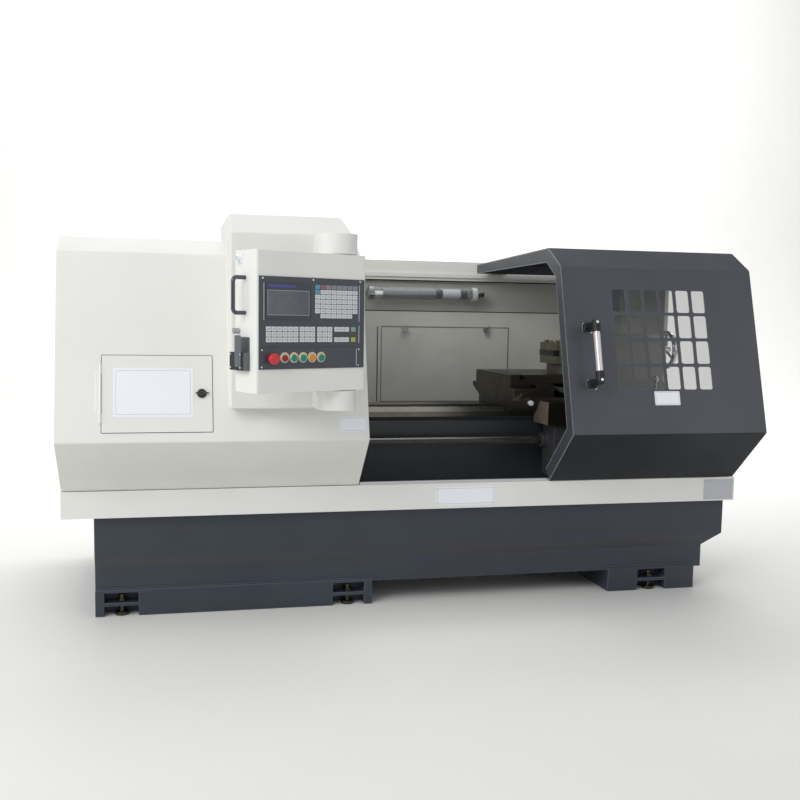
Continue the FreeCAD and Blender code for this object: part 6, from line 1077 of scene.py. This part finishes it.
@dataclass
class OperatorPanel:
    """The swinging control box with its facia, keys, buttons and side fittings.

    Args:
        axis: x and y of the swivel axis.
        turned: degrees that the box stands swung out.
        face: local v of the facia's front.
        facia: local left edge, lower z, width and height of the facia.
        bezel: left edge, lower edge, width and height of the screen unit.
        buttons_row: the first button, along and up, and the distance to the next.
        ring: outer and inner radius of a legend ring.
        display: left edge, lower edge, width and height of the display's glass.
        strip: the same for the blue strip over it.
        edges: along, up and height of the facia's bright edges.
        screws: along and up of its screws.
        handle_foot: the side handle's lower foot, along, up and out of the facia.
        handle_pitch: distance between the handle's two feet.
        handle_reach: how far the handle stands off the box.
        handle_radius: radius of its bar.
        handle_bend: radius of its two bends.
        hanger_face: the hanger's outer face, along the facia.
    """

    axis: tuple[float, float] = SWIVEL
    turned: float = 26.0
    face: float = -0.074
    facia: tuple[float, float, float, float] = (-0.365, 0.997, 0.430, 0.306)
    bezel: tuple[float, float, float, float] = (0.023, 0.165, 0.178, 0.118)
    buttons_row: tuple[float, float, float] = (0.099, 0.0385, 0.0368)
    ring: tuple[float, float] = (0.0178, 0.0125)
    display: tuple[float, float, float, float] = (0.030, 0.178, 0.166, 0.084)
    strip: tuple[float, float, float, float] = (0.032, 0.2705, 0.108, 0.009)
    edges: tuple[Row, ...] = ((0.016, 0.162, 0.122), (0.405, 0.160, 0.126), (0.405, 0.086, 0.060),
                              (0.395, 0.008, 0.058))
    screws: tuple[Row, ...] = ((0.013, 0.299), (0.212, 0.299), (0.411, 0.299), (0.011, 0.064),
                               (0.407, 0.064), (0.010, 0.008), (0.405, 0.008))
    handle_foot: tuple[float, float, float] = (-0.009, 0.185, -0.073)
    handle_pitch: float = 0.116
    handle_reach: float = 0.046
    handle_radius: float = 0.007
    handle_bend: float = 0.014
    hanger_face: float = -0.0335

    def matrix(self, along: float, up: float, out: float = 0.0) -> Matrix:
        """Finds the place whose X runs along the facia, Y up and Z out of it.

        Args:
            along: from the facia's left edge.
            up: from its lower edge.
            out: out of its front.

        Returns:
            The place.
        """
        turn = Matrix.Translation((*self.axis, 0)) @ Matrix.Rotation(math.radians(self.turned), 4, "Z")
        left, low, _, _ = self.facia
        return turn @ Matrix.Translation((left + along, self.face - out, low + up)) @ Matrix.Rotation(
            math.radians(90), 4, "X")

    def local(self, point: Vector) -> tuple[float, float, float]:
        """Returns a point's place along, up and out of the facia."""
        return tuple(self.matrix(0, 0).inverted() @ point)

    def build(self) -> None:
        """Dresses the box and adds the bare display, trim, screws, legend rings, handle and hanger."""
        soften("control_box", CREAM, 1.6, WORN_CREAM)
        soften("control_facia", FACIA, 0.5)
        self.screen()
        self.keys()
        self.trim()
        self.buttons()
        self.handle()
        self.side()

    def handle(self) -> None:
        """Bends the side handle from one round bar."""
        height, bend = self.handle_pitch, self.handle_bend
        straight = self.handle_reach - bend
        deselect()
        bpy.ops.mesh.primitive_circle_add(vertices=20, radius=self.handle_radius, fill_type="NGON",
                                          rotation=(0, math.pi / 2, 0))
        piece = bpy.context.object
        piece.name = "bent_side_handle"
        bpy.ops.object.transform_apply(location=True, rotation=True, scale=True)
        pick(piece)
        for run, middle in (((straight, 0, 0), (straight, 0, bend)),
                            ((0, 0, height - 2 * bend), (straight, 0, height - bend))):
            bpy.ops.mesh.extrude_region_move(TRANSFORM_OT_translate={"value": run})
            bpy.ops.mesh.spin(steps=7, angle=math.pi / 2, center=middle, axis=(0, 1, 0))
        bpy.ops.mesh.extrude_region_move(TRANSFORM_OT_translate={"value": (-straight, 0, 0)})
        bpy.ops.object.mode_set(mode="OBJECT")
        outwards = Matrix(((-1, 0, 0, 0), (0, 0, 1, 0), (0, 1, 0, 0), (0, 0, 0, 1)))
        place_piece(moved(piece, self.matrix(*self.handle_foot) @ outwards), GREY_STEEL, "control_box",
                    "bright_zinc", "side_handle")

    def side(self) -> None:
        """Dresses the hanger and the socket of the box's left side."""
        soften("side_hanger", BLACK, 1.0,
               zones=[(STEEL_GREY, lambda point, normal: self.local(point)[1] > 0.045),
                      (ZINC, lambda point, normal: point.z > 1.106)])
        sideways = Matrix.Rotation(math.radians(-90), 4, "Y")
        place = self.matrix(self.hanger_face, 0.006, -0.098) @ sideways
        plate("hanger_plate", 0.040, 0.105, 0.002, 0.004, place, STEEL_GREY, "control_box", "bright_zinc")
        soften("side_socket", PLATE, 0.6)
        spots = [self.matrix(self.hanger_face - 0.0005, up, -depth) @ sideways
                 for depth in (0.124, 0.062) for up in (0.004, 0.048)]
        place_piece(copies(pan_screw(*PANEL_SCREW), spots, "hanger_screws"), CHROME, "control_box",
                    "bright_zinc")

    def screen(self) -> None:
        """Models the screen unit: a moulded bezel with a sunk glass, and a bare blue strip over it."""
        left, low, width, height = self.bezel
        piece = slab("screen_bezel", (0, 0, 0), (width, height, 0.002), 0.005)
        pick(piece, lambda point, normal: normal.z > 0.9)
        bpy.ops.mesh.inset(thickness=0.0016)
        bpy.ops.mesh.extrude_region_move(TRANSFORM_OT_translate={"value": (0, 0, -0.0004)})
        bpy.ops.object.mode_set(mode="OBJECT")
        place_piece(moved(piece, self.matrix(left, low)), BEZEL, "control_box", "screen_face", "screen_unit")
        left, low, width, height = self.display
        plate("display_glass", width, height, 0.0004, 0.002, self.matrix(left, low, 0.0016), DISPLAY,
              "control_box", "screen_face", 0.0012)
        left, low, width, height = self.strip
        plate("blue_strip_bare", width, height, 0.0004, 0.001, self.matrix(left, low, 0.0016), STRIP_BLUE,
              "control_box", "screen_face")

    def keys(self) -> None:
        """Rounds the keys, prints a blank field on each and colours the odd ones."""
        piece = soften("key_field", KEYS, 0.0)
        out = self.matrix(0, 0).to_3x3() @ Vector((0, 0, 1))
        pick(piece, lambda point, normal: normal.dot(out) > 0.9)
        bpy.ops.mesh.bevel(offset=0.0003, segments=1, affect="EDGES")
        pick(piece, lambda point, normal: normal.dot(out) > 0.98)
        bpy.ops.mesh.inset(thickness=0.0048, use_individual=True)
        bpy.ops.object.mode_set(mode="OBJECT")
        chosen = {face.index for face in piece.data.polygons if face.select}
        # Each odd key by its finish, lowest and highest place along, and lowest and highest place up.
        zones = ((KEY_LABEL, 0.218, 0.402, 0.266, 0.286), (KEY_BLUE, 0.218, 0.242, 0.250, 0.286),
                 (KEY_PINK, 0.242, 0.264, 0.266, 0.286), (KEY_GREEN, 0.371, 0.394, 0.124, 0.144),
                 (KEY_YELLOW, 0.371, 0.394, 0.088, 0.108))
        for finish, low_u, high_u, low_w, high_w in zones:
            paint(piece, finish, lambda point, normal: low_u < self.local(point)[0] < high_u
                  and low_w < self.local(point)[1] < high_w)
        piece.data.materials.append(KEY_PRINT.material())
        for index in chosen:
            if piece.data.polygons[index].material_index == 0:
                piece.data.polygons[index].material_index = len(piece.data.materials) - 1

    def trim(self) -> None:
        """Adds the facia's bright upright edges and its screws."""
        made = []
        for along, up, height in self.edges:
            piece = cube("trim", (0, 0, 0), (0.003, height, 0.0022))
            pick(piece, lambda point, normal: normal.z > 0.9)
            bpy.ops.mesh.bevel(offset=0.0009, segments=2, affect="EDGES")
            bpy.ops.object.mode_set(mode="OBJECT")
            made.append(moved(piece, self.matrix(along, up)))
        place_piece(join(made, "facia_trim"), SILVER_PLATE, "control_box", "bright_zinc")
        screws = [self.matrix(along, up) for along, up in self.screws]
        place_piece(copies(pan_screw(*PANEL_SCREW), screws, "facia_screws"), CHROME, "control_box",
                    "bright_zinc")

    def buttons(self) -> None:
        """Dresses the buttons and lays a legend ring under each bezel."""
        along, up, pitch = self.buttons_row
        outer, inner = self.ring
        rings = []
        for order in range(5):
            ring = rod("ring", (0, 0, 0), (0, 0, 0.0008), outer, 32, inner)
            rings.append(moved(ring, self.matrix(along + pitch * order, up)))
        place_piece(join(rings, "legend_rings"), LEGEND, "control_box", "bright_zinc")
        soften("button_bezels", CHROME, 0.8, segments=3)
        soften("emergency_stop", RED, 3.0, segments=4)
        for node, finish in (("stop_button", DEEP_RED), ("start_button", GREEN), ("hold_button", GREEN),
                             ("power_button", ORANGE), ("cycle_button", GREEN)):
            soften(node, finish, 1.6, segments=3)


@dataclass
class RearWall:
    """Rear guard, its removable panel and the work lamp.

    Args:
        lamp: left end, y and z of the lamp's axis.
        end: x of the right end sheet's two faces.
        reach: y of its front edge and of the wall.
        ledge: y of the recess behind the lamp, and its lower and upper z.
        back: y of the outside.
        seal: left edge, lower edge, width and height of the removable panel's seal.
        knobs: x of the panel's two knobs.
        knob: y and z of their axes.
        screws: x and z of the rows of screws in the back.
        lit: start, end and radius of the lit tube, from the lamp's left end.
        shade: the same for the reflector, with its inner radius.
        ballast: the same for the white block.
        sockets: the same for the black sockets.
    """

    lamp: tuple[float, float, float] = (-0.022, 0.790, 1.300)
    end: tuple[float, float] = (1.3888, 1.3916)
    reach: tuple[float, float] = (0.338, 0.8312)
    ledge: tuple[float, float, float] = (0.8572, 1.213, 1.370)
    back: float = 0.8602
    seal: tuple[float, float, float, float] = (0.056, 0.743, 0.688, 0.389)
    knobs: tuple[float, float] = (0.167, 0.617)
    knob: tuple[float, float] = (0.805, 1.114)
    screws: tuple[Row, Row] = ((-0.20, 0.35, 0.90, 1.33), (0.55, 1.42))
    lit: tuple[float, float, float] = (0.034, 0.080, 0.010)
    shade: tuple[float, float, float, float] = (0.072, 0.352, 0.0235, 0.0223)
    ballast: tuple[float, float, float] = (0.386, 0.482, 0.0245)
    sockets: tuple[Row, ...] = ((0.006, 0.020, 0.0285), (0.350, 0.382, 0.0262), (0.486, 0.518, 0.0262))

    def build(self) -> None:
        """Dresses the wall and its panel, and adds a seam and two painted shadow lines, the lamp's inside,
        the end sheet and screws.
        """
        # The recess under the header takes a darker cream: painted shade.
        soften("rear_guard", CREAM, 0.8, WORN_CREAM, fold=3,
               zones=[(INNER, lambda point, normal: point.z < 1.2 and point.y < 0.857),
                      (RECESS_SHADE, lambda point, normal: 1.2 < point.z < 1.37 and normal.y < 0.5)])
        soften("rear_panel", INNER, 0.8, zones=[(ZINC, lambda point, normal: point.y < 0.826)])
        soften("lamp_tube", GLASS, 0.0)
        soften("lamp_holders", NICKEL, 0.8, zones=[(WHITE_NYLON, lambda point, normal: 0.5 < point.x < 0.56)])
        self.seams()
        self.lamp_inside()
        self.end_sheet()
        places = [facing((x, self.back, z), (0, 1, 0)) for x, z in product(*self.screws)]
        place_piece(copies(pan_screw(*SHEET_SCREW), places, "rear_screws"), ZINC, "frame", "bright_zinc")

    def end_sheet(self) -> None:
        """Folds the return sheet at the wall's right end, with a hem along its front edge."""
        inside, outside = self.end
        front, wall = self.reach
        behind, low, high = self.ledge
        sheet = cube("end_sheet", (inside, front, 0.507), (outside, wall, 1.400))
        pick(sheet, lambda point, normal: normal.y < -0.9)
        bpy.ops.mesh.extrude_region_move(TRANSFORM_OT_translate={"value": (0, -0.003, 0)})
        pick(sheet, lambda point, normal: normal.x < -0.9 and point.y < front)
        bpy.ops.mesh.extrude_region_move(TRANSFORM_OT_translate={"value": (-0.016, 0, 0)})
        bpy.ops.object.mode_set(mode="OBJECT")
        filler = cube("recess_end", (inside, wall - 0.0012, low), (outside, behind, high))
        place_piece(join([round_edges(sheet, 0.8), filler], "right_end_sheet"), INNER, "frame", "inner_paint")

    def seams(self) -> None:
        """Adds the panel's seal, the wall's upright seam and two painted shadow lines, and the wings of the
        panel's knobs.
        """
        front = Matrix.Rotation(math.radians(90), 4, "X")
        left, low, width, height = self.seal
        seal = band("panel_seal", (0, 0, 0), (width, height, 0.0035), 0.003, 0.003)
        place_piece(moved(seal, Matrix.Translation((left, 0.832, low)) @ front), GREY_SEAL, "frame",
                    "belt_rubber")
        # The black lines under the ledge and under the header are painted shadows; the upright one is the
        # panel's seam.
        seams_and_painted_shadows = [cube("joint", (-0.262, 0.8310, 1.2090), (1.386, 0.8316, 1.2135)),
                  cube("joint", (-0.262, 0.8310, 1.3640), (1.386, 0.8316, 1.3700)),
                  cube("joint", (0.036, 0.8290, 0.7450), (0.039, 0.8316, 1.1300))]
        place_piece(join(seams_and_painted_shadows, "wall_seams_and_painted_shadows"), RUBBER, "frame", "belt_rubber")
        wings = []
        for x in self.knobs:
            for turn in (20, 200):
                wing = cube("wing", (-0.0035, -0.004, 0.004), (0.0035, 0.004, 0.024))
                pick(wing, lambda point, normal: normal.z > 0.9)
                bpy.ops.transform.resize(value=(1.0, 2.0, 1.0), center_override=(0, 0, 0.024))
                bpy.ops.object.mode_set(mode="OBJECT")
                round_edges(wing, 1.6, 3)
                place = Matrix.Translation((x, *self.knob)) @ Matrix.Rotation(math.radians(turn), 4, "Y")
                wings.append(moved(wing, place))
        place_piece(join(wings, "panel_knob_wings"), ZINC, "frame", "bright_zinc")

    def lamp_inside(self) -> None:
        """Adds the lit tube, its reflector, sockets and ballast inside the glass."""
        x, y, z = self.lamp
        start, end, radius = self.lit
        lit = round_edges(rod("lamp_lit_tube", (x + start, y, z), (x + end, y, z), radius, 20), 2.0)
        place_piece(lit, TUBE, "frame", "lamp_glass")
        start, end, radius, inner = self.shade
        shade = rod("lamp_reflector", (x + start, y, z), (x + end, y, z), radius, 32, inner)
        place_piece(shade, PERFORATED, "frame", "bright_zinc")
        start, end, radius = self.ballast
        block = round_edges(rod("lamp_ballast", (x + start, y, z), (x + end, y, z), radius, 28), 2.0)
        place_piece(block, PLATE, "frame", "lamp_glass")
        ends = []
        for start, end, radius in self.sockets:
            ends.append(round_edges(rod("end", (x + start, y, z), (x + end, y, z), radius, 28), 1.2))
        place_piece(join(ends, "lamp_sockets"), BLACK, "frame", "black_plastic")


@dataclass
class SlidingDoor:
    """The sliding front door, its window, handle and rails.

    Args:
        left: x of its left edge.
        window: left edge, rise, width and height of the field of slots.
        grip: x and rise of the handle's lower mount.
        grip_length: between the mounts.
        grip_radius: radius of the grip's tube.
        mount: from the middle of a mount to the end of the tube.
        standoff: the handle's axis from the door.
        strip_back: the back of the clamping strips from the slope.
        plate: left edge, rise, width and height of the bare plate.
        edges: outer and inner line of the left flange, as y and z, where pale strips paint its highlights.
    """

    left: float = 0.541
    window: tuple[float, float, float, float] = (0.753, 0.183, 0.413, 0.416)
    grip: tuple[float, float] = (0.633, 0.203)
    grip_length: float = 0.231
    grip_radius: float = 0.013
    mount: float = 0.035
    standoff: float = 0.084
    strip_back: float = -0.0099
    plate: tuple[float, float, float, float] = (0.903, 0.118, 0.111, 0.057)
    edges: tuple[tuple[Row, ...], ...] = (
        ((-0.283, 0.509), (-0.513, 0.725), (-0.3305, 1.391), (-0.195, 1.4705), (0.760, 1.4485)),
        ((-0.244, 0.550), (-0.4515, 0.744), (-0.2840, 1.3545), (-0.1810, 1.4155), (0.758, 1.4085)),
    )

    def build(self) -> None:
        """Dresses the door and adds the flange's painted highlights, the grip, the pane's strips and the bare
        plate.
        """
        # The door's downward faces take the darker copy of the coat as painted shade.
        # The door's rounded edges are paler: wear, and a painted highlight along its folds.
        soften("sliding_door", CHARCOAL, 0.7, RUBBED_AND_HIGHLIT_CHARCOAL, fold=5,
               zones=[(DOWNWARD_SHADE_CHARCOAL, lambda point, normal: normal.z < -0.3),
                      (ROOF_CHARCOAL, lambda point, normal: normal.z > 0.7)])
        dress(["window_pane"], PANE)
        soften("handle_mounts", BLACK, 1.2, segments=3)
        self.handle()
        soften("door_rails", STEEL, 0.8, zones=[(CREAM, lambda point, normal: point.z > 1.0)])
        self.flange_highlights()
        soften("door_glides", NYLON, 0.8)
        left, rise, width, height = self.plate
        plate("door_plate_bare", width, height, 0.0008, 0.003, DOOR_SLOPE.matrix(left, rise), PLATE,
              "door", "cream_paint", 0.004)
        self.clips()

    def flange_highlights(self) -> None:
        """Lays two pale strips along the door's left flange: painted highlights of its folded edges."""
        strips = []
        for line in self.edges:
            for (y, z), (far_y, far_z) in zip(line, line[1:]):
                run = Vector((0, far_y - y, far_z - z))
                strip = cube("strip", (-0.001, 0, -0.0014), (run.length + 0.001, 0.0012, 0.0014))
                round_edges(strip, 0.5)
                along = run.normalized()
                out = Vector((-1, 0, 0))
                turn = Matrix((along, out, along.cross(out))).transposed().to_4x4()
                strips.append(moved(strip, Matrix.Translation((self.left, y, z)) @ turn))
        place_piece(join(strips, "door_flange_highlights"), FLANGE_HIGHLIGHT, "door", "door_paint")

    def handle(self) -> None:
        """Models the grip as a ribbed aluminium tube, with bolt caps and bright rims on its mounts."""
        x, rise = self.grip
        tube = self.grip_length - 2 * self.mount
        piece = rod("ribbed_grip", (0, 0, 0), (0, 0, tube), self.grip_radius, 36)
        # One side in four of the tube's 36 is sunk into a groove.
        pick(piece, lambda point, normal: abs(normal.z) < 0.5 and math.degrees(
            math.atan2(point.y, point.x)) % 40 < 10)
        bpy.ops.mesh.inset(thickness=0.0002, use_individual=False)
        bpy.ops.transform.resize(value=(0.93, 0.93, 1.0), center_override=(0, 0, 0))
        bpy.ops.object.mode_set(mode="OBJECT")
        low = DOOR_SLOPE.at(x, rise + self.mount, self.standoff)
        high = DOOR_SLOPE.at(x, rise + self.grip_length, self.standoff)
        place_piece(moved(piece, facing(low, high - low)), ALU, "door", "handle_plastic", "handle_grip")
        out = DOOR_SLOPE.at(0, 0, 1) - DOOR_SLOPE.at(0, 0, 0)
        spots = [facing(DOOR_SLOPE.at(x, rise + step, self.standoff + 0.0155), out)
                 for step in (0.0, self.grip_length)]
        place_piece(copies(pan_screw(0.0062, 0.003), spots, "handle_bolt_caps"), CHROME, "door",
                    "bright_zinc")
        rims = []
        for step in (0.0, self.grip_length):
            rim = band("rim", (-0.022, -0.021, 0), (0.022, 0.021, 0.003), 0.008, 0.0036)
            round_edges(rim, 0.8)
            rims.append(moved(rim, DOOR_SLOPE.matrix(x, rise + step)))
        place_piece(join(rims, "handle_foot_rims"), CHROME, "door", "bright_zinc")

    def clips(self) -> None:
        """Adds the clamping strips that hold the pane behind the slots."""
        left, rise, width, height = self.window
        strips = []
        for low in (rise - 0.034, rise + height + 0.010):
            piece = cube("strip", (0, 0, 0), (width + 0.048, 0.022, 0.003))
            round_edges(piece, 0.8)
            strips.append(moved(piece, DOOR_SLOPE.matrix(left - 0.024, low, self.strip_back)))
        place_piece(join(strips, "pane_strips"), ZINC, "door", "bright_zinc")


@dataclass
class Spindle:
    """Headstock, spindle, chuck, pulleys, belt and motors.

    Args:
        axis: y and z of the spindle.
        chuck: x of the chuck's back face, its length and radius.
        cap: x of the headstock's front bearing cap.
        circles: radius of the ring of screws on the chuck's face and on the bearing cap.
        motor: y and z of the main motor.
        fins: x of the fins' ends, and their inner and outer radius.
    """

    axis: tuple[float, float] = (0.215, 1.040)
    chuck: tuple[float, float, float] = (-0.316, 0.100, 0.125)
    cap: float = -0.338
    circles: tuple[float, float] = (0.062, 0.096)
    motor: tuple[float, float] = (0.685, 0.560)
    fins: tuple[float, float, float, float] = (-0.985, -0.690, 0.117, 0.131)

    def build(self) -> None:
        """Dresses the spindle line and adds the chuck's screws and sockets and the motor's fins."""
        soften("headstock", IRON, 4.0, segments=3)
        dress(["spindle"], TURNED)
        soften("chuck_body", TURNED, 1.0)
        for number in (1, 2, 3):
            soften(f"chuck_jaw_{number}", STEEL, 0.6)
        soften("spindle_pulley", BLUED, 1.0)
        soften("motor_pulley", BLUED, 1.0)
        dress(["drive_belt"], RUBBER)
        soften("main_motor", MOTOR, 2.0)
        soften("long_servo_motor", SERVO, 1.5)
        self.chuck_details()
        self.motor_fins()

    def ring(self, x: float, radius: float, start: float, count: int) -> list[Matrix]:
        """Spaces places evenly round the spindle axis, facing along X.

        Args:
            x: their x.
            radius: their distance from the axis.
            start: degrees of the first one from +Y.
            count: how many.

        Returns:
            The places.
        """
        y, z = self.axis
        turns = [math.radians(start + 360 * order / count) for order in range(count)]
        return [facing((x, y + radius * math.cos(turn), z + radius * math.sin(turn)), (1, 0, 0))
                for turn in turns]

    def chuck_details(self) -> None:
        """Adds the cap screws and key sockets of the chuck, and a ring of screws on the headstock."""
        back, length, radius = self.chuck
        y, z = self.axis
        face_circle, cap_circle = self.circles
        screws = self.ring(back + length - 0.001, face_circle, 30, 3)
        place_piece(copies(socket_screw(0.009, 0.003), screws, "chuck_screws"), BLUED, "spindle",
                    "blued_steel")
        sockets = []
        for turn in (30, 150, 270):
            way = Vector((0, math.cos(math.radians(turn)), math.sin(math.radians(turn))))
            spot = Vector((back + 0.045, y, z)) + way * (radius - 0.0022)
            sockets.append(facing(spot, way))
        place_piece(copies(socket_screw(0.013, 0.004), sockets, "chuck_key_sockets"), BLUED, "spindle",
                    "blued_steel")
        front = self.ring(self.cap, cap_circle, 0, 6)
        place_piece(copies(socket_screw(0.006, 0.006), front, "headstock_cap_screws"), BLUED, "frame",
                    "blued_steel")

    def motor_fins(self) -> None:
        """Adds cooling fins round the main motor's housing, apart from the terminal box on its top."""
        start, end, inner, outer = self.fins
        fins = []
        for turn in (*range(15, 70, 10), *range(115, 170, 10)):
            fin = cube("fin", (start, -0.0025, inner), (end, 0.0025, outer))
            pick(fin, lambda point, normal: normal.z > 0.9)
            bpy.ops.transform.resize(value=(1.0, 0.4, 1.0), center_override=(0, 0, 0))
            bpy.ops.object.mode_set(mode="OBJECT")
            place = Matrix.Translation((0, *self.motor)) @ Matrix.Rotation(math.radians(turn - 90), 4, "X")
            fins.append(moved(fin, place))
        place_piece(join(fins, "motor_fins"), MOTOR, "frame", "motor_paint")


@dataclass
class Carriage:
    """Bed, saddle, cross slide, turret and their drives.

    Args:
        screw: y, z and radius of the long ball screw.
        screw_ends: x of the thread's ends.
        pitch: lead of the ball screw.
        core: share of the radius that the core keeps between the threads.
        crest: where the thread's crest starts and ends and its foot ends, as shares of the lead.
        cap: x, y and z of the oil filler's cap on the saddle's front.
        wear_and_highlight: direction that the long screw's painted highlight faces.
    """

    screw: tuple[float, float, float] = (-0.020, 0.645, 0.018)
    screw_ends: tuple[float, float] = (-0.346, 1.236)
    pitch: float = 0.010
    core: float = 0.86
    crest: tuple[float, float, float] = (0.25, 0.62, 0.86)
    cap: tuple[float, float, float] = (0.530, -0.060, 0.813)
    wear_and_highlight: Vector = Vector((0, -0.55, 0.835))

    def build(self) -> None:
        """Dresses bed, slides and drives, and models the long screw's thread."""
        soften("bed", SHADE, 1.0, WAYS, zones=[(WAYS, lambda point, normal: point.z > 0.745 and (
            normal.z > 0.2 or point.y < 0.030))])
        self.saddle()
        soften("apron", DARK_IRON, 3.0, segments=3)
        soften("cross_slide", OILY, 0.8, WAYS)
        dress(["cross_ball_screw"], THREAD)
        soften("cross_servo_motor", SERVO, 1.5)
        soften("turret_base", OILY_IRON, 2.0)
        soften("turret_head", TOOL_POST, 0.8)
        soften("turning_tools", BLUED, 0.4)
        soften("screw_bearings", IRON, 2.0)
        self.thread()

    def saddle(self) -> None:
        """Dresses the saddle, whose front wing has a painted side, and adds the oil filler's cap, whose white
        is a painted highlight.
        """
        piece = soften("saddle", OILY, 0.0, zones=[(RED_IRON, lambda point, normal: normal.x < -0.9
                       and point.z < 0.80 and point.y < 0.0)])
        round_edges(piece, 1.5)
        x, y, z = self.cap
        # The cap is shiny; its white nylon is a painted highlight for the glint on it.
        cap = rod("saddle_oil_cap", (x, y, z), (x, y - 0.024, z), 0.011, 28)
        round_edges(cap, 4.0, 4)
        place_piece(cap, WHITE_NYLON, "carriage", "nylon")

    def thread(self) -> None:
        """Models the long ball screw: plain journals, and a helical thread swept round a thinner core."""
        y, z, radius = self.screw
        start, end = self.screw_ends
        # The core's near-black finish is old oil and painted shade.
        core = soften("long_ball_screw", SHADED_ROOT, 0.0)
        pick(core, lambda point, normal: abs(normal.x) < 0.5 and start < point.x < end and math.hypot(
            point.y - y, point.z - z) > radius * 0.85)
        bpy.ops.transform.resize(value=(1.0, self.core, self.core), center_override=(0, y, z))
        bpy.ops.object.mode_set(mode="OBJECT")
        bpy.ops.mesh.primitive_plane_add(size=1)
        rib = bpy.context.object
        # One turn of the thread in section: foot, crest, crest and foot. The feet sink into the core.
        pitch, low = self.pitch, radius * (self.core - 0.02)
        rise, fall, foot = (start + pitch * share for share in self.crest)
        places = ((start + 0.002, low), (rise, radius), (fall, radius), (foot, low))
        around = sorted(rib.data.vertices, key=lambda vertex: math.atan2(vertex.co.y, vertex.co.x))
        for vertex, (x, out) in zip(around, places):
            vertex.co = (x, 0, out)
        turns = int((end - start) / pitch) - 1
        modify(rib, "SCREW", axis="X", angle=2 * math.pi, screw_offset=pitch, iterations=turns, steps=14,
               render_steps=14, use_normal_calculate=True)
        rib.name = "long_screw_thread"
        piece = moved(rib, Matrix.Translation((0, y, z)))
        place_piece(piece, THREAD, "long_screw", "ground_steel")
        # Crest faces turned this way take bright metal: a painted highlight.
        paint(piece, PAINTED_HIGHLIGHT_CREST, lambda point, normal: normal.dot(self.wear_and_highlight) > 0.975)


@dataclass
class Tailstock:
    """Tailstock body, quill, centre, lever and hand wheel."""

    def build(self) -> None:
        """Dresses the tailstock."""
        soften("tailstock_body", IRON, 3.0, segments=3)
        dress(["tailstock_quill", "live_centre"], TURNED)
        soften("tailstock_lever", CHROME, 0.0)
        soften("tailstock_handwheel", CHROME, 1.2)


@dataclass
class Studio:
    """Floor, light and camera at the photograph's angle.

    Args:
        place: the camera's place.
        yaw: degrees to the right of +Y.
        pitch: degrees below the horizon.
        roll: degrees that the picture leans.
        pixels: focal length in pixels of the picture.
        shift: the picture's middle, as shares of its width.
        sensor: the camera's sensor width in mm.
        width: the picture's width in pixels.
        air: colour of the light from all round.
        haze: its strength.
        lamps: name, place, aim, size and watts of the soft lights.
    """

    place: tuple[float, float, float] = (-1.0134, -4.0471, 1.1693)
    yaw: float = 12.708
    pitch: float = 5.552
    roll: float = 0.848
    pixels: float = 971.0
    shift: tuple[float, float] = (0.01793, 0.01644)
    sensor: float = 36.0
    width: float = 800.0
    air: tuple[float, float, float, float] = (0.95, 0.97, 1.0, 1.0)
    haze: float = 0.5
    lamps: tuple[tuple[str, Row, Row, float, float], ...] = (
        ("key", (-4.6, -4.8, 4.4), (-0.3, 0, 0.9), 3.4, 176),
        ("left", (-6.0, -1.6, 2.4), (-0.7, -0.6, 1.1), 2.4, 72),
        ("top", (0.2, -0.6, 6.0), (0, 0, 0), 5.0, 45),
        ("fill", (4.5, -5.5, 2.6), (0.4, 0, 0.8), 3.5, 32),
        ("backdrop", (3.0, 6.0, 9.0), (3.0, 11.5, 3.0), 12.0, 1300),
    )

    def build(self) -> None:
        """Lays the floor, hangs the lights and sets the camera."""
        deselect()
        bpy.ops.mesh.primitive_plane_add(size=40, location=(0, 0, -0.001))
        floor = bpy.context.object
        floor.name = "studio_floor"
        pick(floor, lambda point, way: point.y > 1, "EDGE")
        bpy.ops.transform.translate(value=(0, -8, 0))
        bpy.ops.mesh.extrude_region_move(TRANSFORM_OT_translate={"value": (0, 2, 14)})
        pick(floor, lambda point, way: 1 < point.y < 13 and point.z < 1 and abs(way.x) > 0.9, "EDGE")
        bpy.ops.mesh.bevel(offset=3, segments=12, affect="EDGES")
        bpy.ops.object.mode_set(mode="OBJECT")
        bpy.ops.object.shade_smooth()
        floor.data.materials.append(FLOOR.material())
        world = bpy.data.worlds.new("studio_air")
        world.use_nodes = True
        world.node_tree.nodes["Background"].inputs[0].default_value = self.air
        world.node_tree.nodes["Background"].inputs[1].default_value = self.haze
        bpy.context.scene.world = world
        for name, spot, aim, size, power in self.lamps:
            lamp = bpy.data.lights.new(f"studio_{name}", "AREA")
            lamp.size, lamp.energy = size, power
            holder = bpy.data.objects.new(f"studio_{name}", lamp)
            bpy.context.scene.collection.objects.link(holder)
            holder.location = spot
            holder.rotation_euler = (Vector(aim) - Vector(spot)).to_track_quat("-Z", "Y").to_euler()
        self.camera()

    def camera(self) -> None:
        """Sets a plain pinhole camera."""
        data = bpy.data.cameras.new("studio_camera")
        camera = bpy.data.objects.new("studio_camera", data)
        bpy.context.scene.collection.objects.link(camera)
        data.sensor_width = self.sensor
        data.lens = self.pixels * self.sensor / self.width
        data.shift_x, data.shift_y = self.shift
        data.clip_end = 100
        turn = (Matrix.Rotation(math.radians(-self.yaw), 4, "Z") @ Matrix.Rotation(
            math.radians(90 - self.pitch), 4, "X") @ Matrix.Rotation(math.radians(self.roll), 4, "Z"))
        camera.matrix_world = Matrix.Translation(self.place) @ turn
        bpy.context.scene.camera = camera


def main() -> None:
    """Builds the looks of every sub-assembly and the studio."""
    logging.basicConfig(level=logging.INFO, format="%(name)s: %(message)s")
    bpy.context.scene.view_settings.view_transform = "Standard"
    for part in (Stand, Guard, OperatorPanel, RearWall, SlidingDoor, Spindle, Carriage, Tailstock, Studio):
        part().build()


if __name__ == "__main__":
    main()
